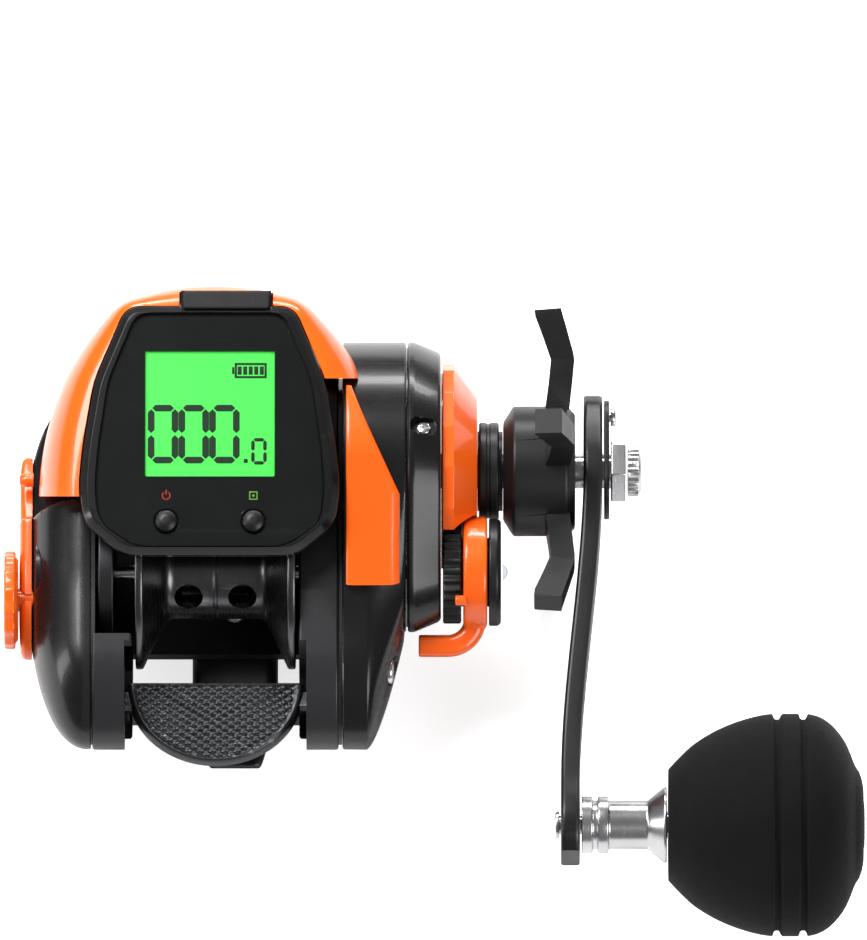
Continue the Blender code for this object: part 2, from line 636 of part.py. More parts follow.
def box(name, low, high, finish, parent, location=ORIGIN, rotation=UPRIGHT):
    """A box between two corners."""
    low = np.array(low)
    high = np.array(high)
    mesh = bpy.data.meshes.new(name)
    work = bmesh.new()
    bmesh.ops.create_cube(work, size=1.0)
    bmesh.ops.scale(work, verts=work.verts, vec=tuple(high - low))
    bmesh.ops.translate(work, verts=work.verts, vec=tuple((high + low) / 2))
    work.to_mesh(mesh)
    work.free()
    return place(mesh, name, finish, parent, location, rotation)


def tube(name, path, radii, finish, parent, location=ORIGIN, rotation=UPRIGHT, resolution=2):
    """A round bar along a path, with its own radius at each point."""
    curve = bpy.data.curves.new(name, "CURVE")
    curve.dimensions = "3D"
    curve.bevel_depth = 1.0
    curve.bevel_resolution = resolution
    curve.use_fill_caps = True
    spline = curve.splines.new("POLY")
    spline.points.add(len(path) - 1)
    for point, place_on_path, radius in zip(spline.points, path, radii):
        point.co = (*place_on_path, 1.0)
        point.radius = radius
    drawn = bpy.data.objects.new(name + "_drawn", curve)
    CUTTERS.objects.link(drawn)
    mesh = bpy.data.meshes.new_from_object(drawn.evaluated_get(bpy.context.evaluated_depsgraph_get()))
    bpy.data.objects.remove(drawn)
    work = bmesh.new()
    work.from_mesh(mesh)
    bmesh.ops.remove_doubles(work, verts=work.verts, dist=MERGE_DISTANCE)
    bmesh.ops.recalc_face_normals(work, faces=work.faces)
    work.to_mesh(mesh)
    work.free()
    return place(mesh, name, finish, parent, location, rotation)


def boolean(obj, tool, operation):
    """One Boolean step of a piece."""
    step = obj.modifiers.new(tool.name, "BOOLEAN")
    step.operation = operation
    step.object = tool
    step.solver = "EXACT"


def cut(obj, *tools):
    """Take the tools out of a piece."""
    for tool in tools:
        boolean(obj, tool, "DIFFERENCE")


def fuse(obj, *tools):
    """Make the tools one body with a piece."""
    for tool in tools:
        boolean(obj, tool, "UNION")


def round_edges(obj, width, segments=2, angle=math.radians(40)):
    """Bevel the sharp edges of a piece."""
    bevel = obj.modifiers.new("edges", "BEVEL")
    bevel.width = width
    bevel.segments = segments
    bevel.limit_method = "ANGLE"
    bevel.angle_limit = angle


def circle(centre, radius, sides=ROUND_SIDES, phase=0.0):
    """Points of a circle."""
    angles = phase + np.arange(sides) * math.tau / sides
    return np.stack([centre[0] + radius * np.cos(angles), centre[1] + radius * np.sin(angles)], axis=1)


def rounded(corners, steps=CORNER_STEPS):
    """Outline through (a, b, corner) points, each corner rounded over its own length."""
    spots = np.array([corner[:2] for corner in corners])
    outline = []
    for index, (_, _, reach) in enumerate(corners):
        here = spots[index]
        back = spots[index - 1] - here
        ahead = spots[(index + 1) % len(spots)] - here
        back_length = np.linalg.norm(back)
        ahead_length = np.linalg.norm(ahead)
        reach = min(reach, 0.48 * back_length, 0.48 * ahead_length)
        if reach == 0:
            outline.append(here)
            continue
        start = here + back / back_length * reach
        end = here + ahead / ahead_length * reach
        for t in np.linspace(0.0, 1.0, steps + 1):
            outline.append((1 - t) ** 2 * start + 2 * t * (1 - t) * here + t ** 2 * end)
    return np.array(outline)


def around(outline, centre, count=POLAR_COUNT):
    """The outline as points at even angles about a centre that sees all of it."""
    outline = np.asarray(outline)
    ends = np.roll(outline, -1, axis=0)
    shares = np.linspace(0.0, 1.0, OUTLINE_FILL, endpoint=False)[None, :, None]
    dense = (outline[:, None, :] * (1 - shares) + ends[:, None, :] * shares).reshape(-1, 2) - centre
    angles = np.arctan2(dense[:, 1], dense[:, 0]) % math.tau
    reach = np.hypot(dense[:, 0], dense[:, 1])
    order = np.argsort(angles)
    wanted = np.arange(count) * math.tau / count
    found = np.interp(wanted, angles[order], reach[order], period=math.tau)
    return np.stack([centre[0] + found * np.cos(wanted), centre[1] + found * np.sin(wanted)], axis=1)


def inset(ring, centre, amount):
    """A ring drawn in toward its centre by a length."""
    offsets = np.asarray(ring) - centre
    reach = np.linalg.norm(offsets, axis=1, keepdims=True)
    return centre + offsets * (1 - amount / reach)


def side_ring(outline, x):
    """A (y, z) outline as a ring of 3D points at one x."""
    outline = np.asarray(outline)
    return np.column_stack([np.full(len(outline), x), outline])


def under_display(y):
    """Height of the underside of the display housing above the spool axis."""
    return DISPLAY_REAR_RISE + (y - DISPLAY_REAR_Y) * DISPLAY_SLOPE - DISPLAY_THICKNESS / math.cos(DISPLAY_TILT)


def tooth_outline(teeth, module, phase=0.0):
    """Outline of a spur gear with straight-sided teeth, a tooth centred on the phase angle."""
    pitch_radius = teeth * module / 2
    tip = pitch_radius + TOOTH_ADDENDUM_SHARE * module
    root = pitch_radius - TOOTH_DEDENDUM_SHARE * module
    step = math.tau / teeth
    offsets = np.array([-TOOTH_ROOT_SHARE, -TOOTH_TIP_SHARE, TOOTH_TIP_SHARE, TOOTH_ROOT_SHARE]) / 2 * step
    angles = phase + (np.arange(teeth)[:, None] * step + offsets[None, :]).ravel()
    radii = np.tile([root, tip, tip, root], teeth)
    return np.stack([radii * np.cos(angles), radii * np.sin(angles)], axis=1)


AXIS = empty("spool_axis", (0.0, 0.0, AXIS_HEIGHT))
HANDLE_AXIS = empty("handle_axis", (0.0, HANDLE_REACH, 0.0), parent=AXIS)
WORM_AXIS = empty("worm_axis", (0.0, WORM_REACH, -WORM_DROP), parent=AXIS)
DISPLAY_PLANE = empty(
    "display_plane", (DISPLAY_CENTRE_X, DISPLAY_REAR_Y, DISPLAY_REAR_RISE), (DISPLAY_TILT, 0.0, 0.0), AXIS
)
KNOB_AXIS = empty("knob_axis", (0.0, -ARM_REACH, 0.0), parent=HANDLE_AXIS)


def lower_corners():
    """Front, bottom and rear corners of the body in the side view, front to rear."""
    corners = []
    for along, down in BODY_LOWER_SHARES:
        reach = BODY_FRONT if along > 0 else BODY_REAR
        corners.append((along * reach, down * BODY_DEPTH, BODY_CORNER))
    return corners


def frame_outline():
    """Side view of the frame's walls, whose top runs under the display housing."""
    rear = DISPLAY_REAR_Y - SEAT_GAP
    return rounded([
        (rear, under_display(rear) - SEAT_GAP, FRAME_RIM),
        (FRAME_TOP_FRONT, under_display(FRAME_TOP_FRONT) - SEAT_GAP, FRAME_RIM),
        (BODY_FRONT, FRAME_NOSE_RISE, FRAME_RIM),
        *lower_corners(),
        (-SHOULDER_REACH_SHARE * BODY_REAR, BODY_SHOULDER_RISE, BODY_CORNER),
    ])


def palm_outline():
    """Side view of the palm side plate, cut back along the hood's slanted seam."""
    along, up = math.cos(PHOTO_LEAN), math.sin(PHOTO_LEAN)
    seam = HOOD_LEFT_SEAM - 2 * SEAT_GAP
    level = under_display(0.0) - 2 * SEAT_GAP
    top = (seam - up * level) / (along + up * DISPLAY_SLOPE)
    low = HOOD_SIDE_RISE - 2 * SEAT_GAP
    rear = DISPLAY_REAR_Y - SEAT_GAP
    return rounded([
        (rear, level + rear * DISPLAY_SLOPE, FRAME_RIM),
        (top, level + top * DISPLAY_SLOPE, 0.0),
        ((seam - up * low) / along, low, 0.0),
        (BODY_FRONT, low, FRAME_RIM),
        *lower_corners(),
        (-SHOULDER_REACH_SHARE * BODY_REAR, BODY_SHOULDER_RISE, BODY_CORNER),
    ])


def housing_arc(start, end, steps):
    """Points of the gear housing's round front in the side view, between two angles."""
    return [
        (HOUSING_CENTRE_Y + HOUSING_RADIUS * math.cos(a), HOUSING_CENTRE_RISE + HOUSING_RADIUS * math.sin(a), 0.0)
        for a in np.linspace(start, end, steps)
    ]


def handle_outline():
    """Side view of the handle side plate: the gear housing's round front and the body's tail."""
    shoulder = HOUSING_RADIUS / 2
    return rounded([
        *housing_arc(HOUSING_ARC_START, HOUSING_ARC_END, POLAR_COUNT),
        *lower_corners()[2:],
        (-SHOULDER_REACH_SHARE * BODY_REAR, BODY_SHOULDER_RISE, BODY_CORNER),
        (DISPLAY_REAR_Y - SEAT_GAP, shoulder, BODY_CORNER),
    ])


def housing_outline():
    """Side view of the gear housing: a hull round its front circle and its tail circle."""
    centre = np.array([HOUSING_CENTRE_Y, HOUSING_CENTRE_RISE])
    gap = math.hypot(HOUSING_CENTRE_Y, HOUSING_CENTRE_RISE)
    toward = math.atan2(-HOUSING_CENTRE_RISE, -HOUSING_CENTRE_Y)
    spread = math.acos((HOUSING_RADIUS - HOUSING_TAIL_RADIUS) / gap)
    front = np.linspace(toward + spread, toward + math.tau - spread, HULL_FRONT_STEPS)
    tail = np.linspace(toward - spread, toward + spread, HULL_TAIL_STEPS)
    front_points = centre + HOUSING_RADIUS * np.stack([np.cos(front), np.sin(front)], axis=1)
    tail_points = HOUSING_TAIL_RADIUS * np.stack([np.cos(tail), np.sin(tail)], axis=1)
    return np.concatenate([front_points, tail_points])


SIDE_CENTRE = np.array([HOUSING_CENTRE_Y / 4, 0.0])


def main_frame():
    """One-piece frame: two walls with pockets, the floor and two bridges."""
    outline = frame_outline()
    middle = np.array([0.0, -BODY_DEPTH / 4])
    left = plate("main_frame", [outline], -FRAME_HALF_WIDTH, -FRAME_WALL_START, "graphite_metal", AXIS)
    right = plate("frame_right_wall", [outline], FRAME_WALL_START, FRAME_HALF_WIDTH, None, AXIS)
    join = FRAME_WALL_START + FRAME_WEB / 2
    floor = box(
        "frame_floor",
        (-join, -FLOOR_REAR, -FLOOR_TOP_DROP - FLOOR_THICKNESS),
        (join, FLOOR_FRONT, -FLOOR_TOP_DROP), None, AXIS,
    )
    bridges = []
    for name, y, drop in (
        ("frame_front_bridge", FRONT_BRIDGE_REACH, FRONT_BRIDGE_DROP),
        ("frame_rear_bridge", -REAR_BRIDGE_REACH, REAR_BRIDGE_DROP),
    ):
        bridges.append(box(
            name,
            (-join, y - BRIDGE_DEPTH / 2, -drop - BRIDGE_HEIGHT / 2),
            (join, y + BRIDGE_DEPTH / 2, -drop + BRIDGE_HEIGHT / 2), None, AXIS,
        ))
    fuse(left, right, floor, *bridges)
    pocket = [inset(around(outline, middle), middle, FRAME_RIM)]
    web = FRAME_WALL_START + FRAME_WEB
    outside = FRAME_HALF_WIDTH + CUT_OVERRUN
    cut(
        left,
        plate("frame_left_pocket", pocket, -outside, -web, None, AXIS),
        plate("frame_right_pocket", pocket, web, outside, None, AXIS),
        turned("frame_spool_opening", rod_profile(
            -outside, -FRAME_WALL_START + CUT_OVERRUN, SPOOL_FLANGE_RADIUS + FRAME_OPENING_CLEARANCE,
        ), None, AXIS, FINE_SIDES),
        turned("frame_pinion_opening", rod_profile(
            FRAME_WALL_START - CUT_OVERRUN, outside, PINION_OPENING,
        ), None, AXIS),
        turned("frame_bearing_seat", rod_profile(
            FRAME_WALL_START - CUT_OVERRUN, outside, SHAFT_BEARING_RADIUS + SEAT_GAP,
        ), None, HANDLE_AXIS),
        turned("frame_worm_bore", rod_profile(
            -web - CUT_OVERRUN, web + CUT_OVERRUN, WORM_JOURNAL_RADIUS + SEAT_GAP,
        ), None, WORM_AXIS, SMALL_SIDES),
        turned("frame_rod_bore", rod_profile(
            -web - CUT_OVERRUN, web + CUT_OVERRUN, GUIDE_ROD_RADIUS + SEAT_GAP,
        ), None, WORM_AXIS, SMALL_SIDES, (0.0, 0.0, -GUIDE_ROD_DROP)),
        box(
            "frame_thumb_pocket",
            (-THUMB_POCKET_HALF, -BODY_REAR - CUT_OVERRUN, -REAR_BRIDGE_DROP + BRIDGE_HEIGHT / 2 + SEAT_GAP),
            (THUMB_POCKET_HALF, -THUMB_POCKET_FRONT, DISPLAY_REAR_RISE), None, AXIS,
        ),
    )
    lug_top = -THUMB_TOP_DROP - THUMB_EDGE
    for side in (-1, 1):
        near, far = THUMB_HALF_WIDTH * side, web * side + CUT_OVERRUN * side
        cut(left, box(
            f"frame_lug_slot_{'left' if side < 0 else 'right'}",
            (min(near, far), -THUMB_LUG_REAR - THUMB_LUG_DEPTH / 2 - RUN_GAP,
             lug_top - THUMB_LUG_HEIGHT - THUMB_TRAVEL - RUN_GAP),
            (max(near, far), -THUMB_LUG_REAR + THUMB_LUG_DEPTH / 2 + RUN_GAP, lug_top + RUN_GAP), None, AXIS,
        ))
    for index, y in enumerate(rivet_places()):
        cut(left, turned(f"frame_rivet_hole_{index}", rod_profile(
            -FLOOR_TOP_DROP - CUT_OVERRUN, -FLOOR_TOP_DROP + CUT_OVERRUN, RIVET_RADIUS + SEAT_GAP,
        ), None, AXIS, SMALL_SIDES, (FOOT_CENTRE_X, y, 0.0), UPRIGHT))
    return left


def rivet_places():
    """Places of the foot rivets along the reel."""
    return (RIVET_CENTRE_Y - RIVET_SPACING / 2, RIVET_CENTRE_Y + RIVET_SPACING / 2)


def foot():
    """Reel foot with a flat underside and tips that taper in width and height."""
    rings = []
    for y, width, height in (
        (-FOOT_REAR, FOOT_TIP_WIDTH, FOOT_TIP_THICKNESS),
        (-FOOT_REAR + FOOT_TAPER, FOOT_WIDTH, (FOOT_TOP + FOOT_TIP_THICKNESS) / 2),
        (-FOOT_REAR + FOOT_TAPER + FOOT_TAPER / 2, FOOT_WIDTH, FOOT_TOP),
        (FOOT_FRONT - FOOT_TAPER - FOOT_TAPER / 2, FOOT_WIDTH, FOOT_TOP),
        (FOOT_FRONT - FOOT_TAPER, FOOT_WIDTH, (FOOT_TOP + FOOT_TIP_THICKNESS) / 2),
        (FOOT_FRONT, FOOT_TIP_WIDTH, FOOT_TIP_THICKNESS),
    ):
        half = width / 2
        edge = height / 3
        rings.append([
            (FOOT_CENTRE_X + x, y, z)
            for x, z in ((-half, 0.0), (half, 0.0), (half, height - edge), (half - edge, height),
                         (-half + edge, height), (-half, height - edge))
        ])
    base = loft("reel_foot", rings, "dark_steel", None)
    for index, y in enumerate(rivet_places()):
        cut(base, turned(f"foot_rivet_hole_{index}", rod_profile(
            SEAT_GAP + RIVET_HEAD_HEIGHT, FOOT_TOP + CUT_OVERRUN, RIVET_RADIUS + SEAT_GAP,
        ), None, None, SMALL_SIDES, (FOOT_CENTRE_X, y, 0.0), UPRIGHT))
    head = AXIS_HEIGHT - FLOOR_TOP_DROP + SEAT_GAP
    for name, y in zip(("foot_rivet_rear", "foot_rivet_front"), rivet_places()):
        turned(name, [
            (head + RIVET_HEAD_HEIGHT, 0.0),
            (head + RIVET_HEAD_HEIGHT, RIVET_HEAD_RADIUS - RIVET_HEAD_HEIGHT),
            (head, RIVET_HEAD_RADIUS),
            (head, RIVET_RADIUS),
            (2 * SEAT_GAP + RIVET_HEAD_HEIGHT, RIVET_RADIUS),
            (2 * SEAT_GAP + RIVET_HEAD_HEIGHT, 0.0),
        ], "steel", None, SMALL_SIDES, (FOOT_CENTRE_X, y, 0.0), UPRIGHT)


def palm_side():
    """Domed palm side plate with a bearing boss, its inlay, screw and brake."""
    outline = palm_outline()
    centre = np.array([PALM_CENTRE_Y, -PALM_CENTRE_DROP])
    base = around(outline, centre)

    def level(turn, wall, lift):
        size = math.cos(turn) ** (2 / PALM_ROUNDNESS)
        depth = math.sin(turn) ** (2 / PALM_ROUNDNESS) * (PALM_DEPTH - wall)
        return side_ring(centre + (inset(base, centre, wall) - centre) * size, -PALM_FACE - depth - lift)

    def dome(name, finish, wall, overrun):
        rings = [side_ring(inset(base, centre, wall), -PALM_FACE + overrun)] if overrun else []
        rings += [level(turn, wall, 0.0) for turn in np.linspace(0.0, PALM_TOP_TURN, PALM_TURNS)]
        return loft(name, rings, finish, AXIS)

    shell = dome("palm_side_plate", "black_gloss", 0.0, 0.0)
    cut(shell, dome("palm_hollow", None, PALM_WALL, CUT_OVERRUN))
    boss_start = -PALM_FACE - PALM_DEPTH + PALM_WALL
    fuse(shell, turned("palm_boss", rod_profile(
        boss_start, BRAKE_RING_START + BRAKE_RING_WIDTH, PALM_BOSS_RADIUS,
    ), None, AXIS))
    cut(shell, turned("palm_bearing_seat", rod_profile(
        PALM_BEARING_START - SEAT_GAP, 0.0, SPOOL_BEARING_RADIUS + SEAT_GAP,
    ), None, AXIS))
    face = -PALM_FACE - PALM_DEPTH
    cut(shell, turned("palm_dial_bore", rod_profile(
        face - CUT_OVERRUN, face + BRAKE_STEM_LENGTH + SEAT_GAP, BRAKE_STEM_RADIUS + RUN_GAP,
    ), None, AXIS, SMALL_SIDES, (0.0, BRAKE_DIAL_Y, 0.0)))
    turned("spool_bearing_left", ring_profile(
        PALM_BEARING_START, PALM_BEARING_START + SPOOL_BEARING_WIDTH, SPOOL_BEARING_RADIUS, SPOOL_BORE,
    ), "steel", AXIS, closed=True)
    turned("brake_magnet_ring", ring_profile(
        BRAKE_RING_START, BRAKE_RING_START + BRAKE_RING_WIDTH, BRAKE_RING_RADIUS, PALM_BOSS_RADIUS + SEAT_GAP,
    ), "dark_steel", AXIS, closed=True)
    turns = np.linspace(0.0, PALM_TOP_TURN, PALM_TURNS)[-INLAY_LEVELS:]
    under = [level(turn, 0.0, SEAT_GAP) for turn in turns]
    over = [level(turn, 0.0, SEAT_GAP + INLAY_THICKNESS) for turn in turns[::-1]]
    inlay = loft("palm_side_inlay", over + under, "orange", AXIS)
    cut(inlay, turned("inlay_dial_bore", rod_profile(
        face - CUT_OVERRUN, face + CUT_OVERRUN, BRAKE_STEM_RADIUS + RUN_GAP,
    ), None, AXIS, SMALL_SIDES, (0.0, BRAKE_DIAL_Y, 0.0)))
    return shell


def brake_dial():
    """Ribbed brake dial on the palm side, with its stem."""
    face = -PALM_FACE - PALM_DEPTH - INLAY_THICKNESS - SEAT_GAP - RUN_GAP
    ribs = np.arange(BRAKE_DIAL_RIBS * 2)
    angles = ribs * math.pi / BRAKE_DIAL_RIBS
    radii = BRAKE_DIAL_RADIUS - BRAKE_DIAL_RIB * (ribs % 2)
    rim = np.stack([radii * np.cos(angles), radii * np.sin(angles)], axis=1)
    dial = plate("brake_dial", [rim], face - BRAKE_DIAL_WIDTH, face, "orange", AXIS, (0.0, BRAKE_DIAL_Y, 0.0))
    fuse(dial, turned("dial_stem", rod_profile(
        face - BRAKE_DIAL_WIDTH / 2, -PALM_FACE - PALM_DEPTH + BRAKE_STEM_LENGTH, BRAKE_STEM_RADIUS,
    ), None, AXIS, SMALL_SIDES, (0.0, BRAKE_DIAL_Y, 0.0)))


def handle_side():
    """Handle side plate: a shell that grows from the full body outline into the gear housing's."""
    full = around(handle_outline(), SIDE_CENTRE)
    hull = around(housing_outline(), SIDE_CENTRE)
    span = HANDLE_PLATE_END - HANDLE_PLATE_START
    stages = np.linspace(HANDLE_PLATE_FULL_SHARE, 1.0, HANDLE_PLATE_STAGES)

    def shell(name, finish, wall, overrun):
        rings = [side_ring(inset(full, SIDE_CENTRE, wall), HANDLE_PLATE_START - overrun)]
        for stage in stages:
            blend = ((stage - stages[0]) / (1 - stages[0])) ** HANDLE_PLATE_EASE
            ring = full * (1 - blend) + hull * blend
            rings.append(side_ring(inset(ring, SIDE_CENTRE, wall), HANDLE_PLATE_START + stage * (span - wall)))
        return loft(name, rings, finish, AXIS)

    plate_shell = shell("handle_side_plate", "black_gloss", 0.0, 0.0)
    cut(plate_shell, shell("handle_hollow", None, HANDLE_PLATE_WALL, CUT_OVERRUN))
    inner = HANDLE_PLATE_END - HANDLE_PLATE_WALL
    for index, side in enumerate((-1, 1)):
        fuse(plate_shell, turned(f"yoke_post_{index}", rod_profile(
            PINION_START + PINION_TOOTH_LENGTH, inner + HANDLE_PLATE_WALL / 2, YOKE_POST_RADIUS,
        ), None, AXIS, SMALL_SIDES, (0.0, YOKE_POST_Y, side * YOKE_POST_RISE)))
    cut(
        plate_shell,
        turned("plate_pinion_bore", rod_profile(
            inner - CUT_OVERRUN / 4, HANDLE_PLATE_END + CUT_OVERRUN, PINION_HEAD_RADIUS + RUN_GAP,
        ), None, AXIS),
        turned("plate_drive_bore", rod_profile(
            inner - CUT_OVERRUN, HANDLE_PLATE_END + CUT_OVERRUN, ONE_WAY_RADIUS + SEAT_GAP,
        ), None, HANDLE_AXIS),
    )
    return plate_shell


def side_trim():
    """Orange strip along the top of the handle side plate."""
    ring = around(handle_outline(), SIDE_CENTRE, 2 * POLAR_COUNT)
    offsets = ring - SIDE_CENTRE
    angles = np.degrees(np.arctan2(offsets[:, 1], offsets[:, 0]))
    run = ring[(angles > TRIM_FRONT_ANGLE) & (angles < TRIM_REAR_ANGLE)]
    low = inset(run, SIDE_CENTRE, -SEAT_GAP)
    high = inset(run, SIDE_CENTRE, -SEAT_GAP - TRIM_THICKNESS)
    start = HANDLE_PLATE_START + TRIM_START
    strip = plate(
        "side_trim", [np.concatenate([low, high[::-1]])], start, start + TRIM_WIDTH, "orange", AXIS,
    )
    round_edges(strip, TRIM_THICKNESS / 3)


def gear_housing():
    """Cap over the gears with a chamfered outer edge, bored for the drive shaft and the spool shaft."""
    hull = around(housing_outline(), SIDE_CENTRE, POLAR_COUNT)
    end = GEAR_HOUSING_START + HOUSING_DEPTH
    cap = loft("gear_housing", [
        side_ring(hull, GEAR_HOUSING_START),
        side_ring(hull, end - HOUSING_CHAMFER_DEPTH),
        side_ring(inset(hull, SIDE_CENTRE, HOUSING_CHAMFER), end),
    ], "black_gloss", AXIS)
    cut(
        cap,
        turned("housing_one_way_seat", rod_profile(
            GEAR_HOUSING_START - CUT_OVERRUN, end - HOUSING_WALL, ONE_WAY_RADIUS + SEAT_GAP,
        ), None, HANDLE_AXIS),
        turned("housing_drive_bore", rod_profile(
            GEAR_HOUSING_START - CUT_OVERRUN, end + CUT_OVERRUN, DRIVE_COLLAR_RADIUS,
        ), None, HANDLE_AXIS),
        turned("housing_bearing_seat", rod_profile(
            GEAR_HOUSING_START - CUT_OVERRUN, end + CUT_OVERRUN, SPOOL_BEARING_RADIUS + SEAT_GAP,
        ), None, AXIS),
    )
    turned("spool_bearing_right", ring_profile(
        end - SPOOL_BEARING_WIDTH, end, SPOOL_BEARING_RADIUS, SPOOL_BORE,
    ), "steel", AXIS, closed=True)
    turned("one_way_bearing", ring_profile(
        GEAR_HOUSING_START + SEAT_GAP, GEAR_HOUSING_START + SEAT_GAP + ONE_WAY_WIDTH, ONE_WAY_RADIUS, DRIVE_BORE,
    ), "steel", HANDLE_AXIS, closed=True)


def side_screw(name, x, y, rise, outward, carrier):
    """A slotted screw with its well and bore in the side plate that it holds."""
    head = x - outward * SCREW_HEAD_HEIGHT
    tip = head - outward * SCREW_LENGTH
    spot = (0.0, y, rise)
    fuse(carrier, turned(name + "_boss", rod_profile(
        min(tip, head - outward * SEAT_GAP), max(tip, head - outward * SEAT_GAP), SCREW_HEAD_RADIUS + SEAT_GAP,
    ), None, AXIS, SMALL_SIDES, spot))
    cut(
        carrier,
        turned(name + "_well", rod_profile(
            min(head - outward * SEAT_GAP, x + outward * CUT_OVERRUN * 2),
            max(head - outward * SEAT_GAP, x + outward * CUT_OVERRUN * 2), SCREW_HEAD_RADIUS + SEAT_GAP,
        ), None, AXIS, SMALL_SIDES, spot),
        turned(name + "_bore", rod_profile(
            min(tip - outward * CUT_OVERRUN, x), max(tip - outward * CUT_OVERRUN, x), SCREW_RADIUS + SEAT_GAP,
        ), None, AXIS, SMALL_SIDES, spot),
    )
    stations = [x, head, tip]
    profile = [
        (stations[0], 0.0), (stations[0], SCREW_HEAD_RADIUS), (stations[1], SCREW_HEAD_RADIUS),
        (stations[1], SCREW_RADIUS), (stations[2], SCREW_RADIUS), (stations[2], 0.0),
    ]
    if outward < 0:
        profile.reverse()
    turned(name, profile, "steel", AXIS, SMALL_SIDES, spot)


def hood_ring(rise_share, half_width, length, wall):
    """One level of the hood: 0 is the base of the shoulder and 1 its top at the display.

    The plan is a superellipse that turns into the outline of the display housing. The ring is
    closed by a straight chord behind the hood.
    """
    count = 30
    turns = np.linspace(HOOD_START_TURN, HOOD_END_TURN, count)
    power = 2 / HOOD_PLAN_ROUNDNESS
    outer_x = half_width * np.sign(np.cos(turns)) * np.abs(np.cos(turns)) ** power
    outer_y = HOOD_CENTRE_Y + length * np.sign(np.sin(turns)) * np.abs(np.sin(turns)) ** power
    centre = np.array([DISPLAY_CENTRE_X, HOOD_CENTRE_Y])
    rim = display_outline(0.0)
    rim_plan = np.column_stack([
        rim[:, 0] + DISPLAY_CENTRE_X, DISPLAY_REAR_Y + rim[:, 1] * math.cos(DISPLAY_TILT),
    ])
    dense = around(rim_plan, centre, 180)
    dense_angles = np.arange(180) * math.tau / 180
    outer_angles = np.arctan2(outer_y - centre[1], outer_x - centre[0]) % math.tau
    reach = np.interp(outer_angles, dense_angles, np.linalg.norm(dense - centre, axis=1), period=math.tau) - wall
    top_x = centre[0] + reach * np.cos(outer_angles)
    top_y = centre[1] + reach * np.sin(outer_angles)
    top_z = DISPLAY_REAR_RISE + (top_y - DISPLAY_REAR_Y) * DISPLAY_SLOPE - HOOD_LIP_DROP - wall
    turn = rise_share * math.pi / 2
    shoulder = 2 / HOOD_SHOULDER_ROUNDNESS
    inward = 1 - math.cos(turn) ** shoulder
    upward = math.sin(turn) ** shoulder
    x = outer_x + (top_x - outer_x) * inward
    y = outer_y + (top_y - outer_y) * inward
    z = HOOD_BASE_RISE + (top_z - HOOD_BASE_RISE) * upward
    return np.column_stack([x, y, z])


def hood_solid(name, finish, half_width, length, wall, bottom):
    """The hood's outer or inner form as a closed solid."""
    base = hood_ring(0.0, half_width, length, wall)
    skirt = base.copy()
    skirt[:, 2] = bottom
    rings = [skirt] + [hood_ring(share, half_width, length, wall) for share in HOOD_LEVEL_SHARES]
    return loft(name, rings, finish, AXIS)


def nose_cover():
    """Orange hood round the front of the display, with the line window in its nose."""
    hood = hood_solid("nose_cover", "orange", HOOD_HALF_WIDTH, HOOD_LENGTH, 0.0, -HOOD_RIM_DROP)
    clear = FRAME_HALF_WIDTH + SEAT_GAP
    cut(hood, hood_solid(
        "hood_hollow", None, clear, HOOD_LENGTH - HOOD_WALL, HOOD_WALL, -HOOD_RIM_DROP - CUT_OVERRUN,
    ))
    cut(hood, plate(
        "hood_display_opening", [display_outline(-SEAT_GAP)], -DISPLAY_THICKNESS - SEAT_GAP, CUT_OVERRUN * 2,
        None, DISPLAY_PLANE, rotation=UPRIGHT,
    ))
    far = 2 * HOOD_LENGTH
    nose_end = BODY_FRONT + SEAT_GAP
    cut(hood, plate("hood_frame_clearance", [[
        (0.0, -far), (nose_end, -far), (nose_end, FRAME_NOSE_RISE + SEAT_GAP),
        (FRAME_TOP_FRONT + SEAT_GAP, under_display(FRAME_TOP_FRONT)), (0.0, under_display(0.0)),
    ]], -clear, clear, None, AXIS))
    low_seam = rear_box("hood_left_seam", -far, -HOOD_HALF_WIDTH / 2, HOOD_LEFT_SEAM)
    high_seam = rear_box("hood_right_seam", DISPLAY_HALF_WIDTH / 2, far, HOOD_RIGHT_SEAM)
    wing = box(
        "hood_wing_clearance", (-far, -far, -far), (-FRAME_HALF_WIDTH, HOOD_SIDE_FRONT, HOOD_SIDE_RISE),
        None, AXIS,
    )
    case = turned("hood_case_clearance", rod_profile(
        FRAME_HALF_WIDTH, far, HOUSING_RADIUS + SEAT_GAP,
    ), None, AXIS, FINE_SIDES, (0.0, HOUSING_CENTRE_Y, HOUSING_CENTRE_RISE))
    window = box(
        "line_window", (-WINDOW_HALF_WIDTH, HOOD_CENTRE_Y, WINDOW_BASE),
        (WINDOW_HALF_WIDTH, HOOD_CENTRE_Y + HOOD_LENGTH + CUT_OVERRUN, WINDOW_BASE + WINDOW_HEIGHT), None, AXIS,
    )
    behind = box("hood_rear_clearance", (-clear, -far, -far), (far, HOOD_CENTRE_Y, far), None, AXIS)
    notch = TONGUE_WIDTH / 2 + SEAT_GAP
    port = box(
        "hood_port_notch",
        (PORT_CENTRE_X - notch, DISPLAY_LENGTH - CUT_OVERRUN, -TONGUE_DEPTH - SEAT_GAP),
        (PORT_CENTRE_X + notch, DISPLAY_LENGTH + TONGUE_REACH + SEAT_GAP, CUT_OVERRUN * 2), None, DISPLAY_PLANE,
    )
    cut(hood, behind, low_seam, high_seam, wing, case, window, port)


def rear_box(name, low_x, high_x, seam):
    """A cutter for all that lies behind a slanted seam."""
    far = 2 * HOOD_LENGTH
    return box(name, (low_x, -far, -far), (high_x, seam, far), None, AXIS, ORIGIN, (PHOTO_LEAN, 0.0, 0.0))


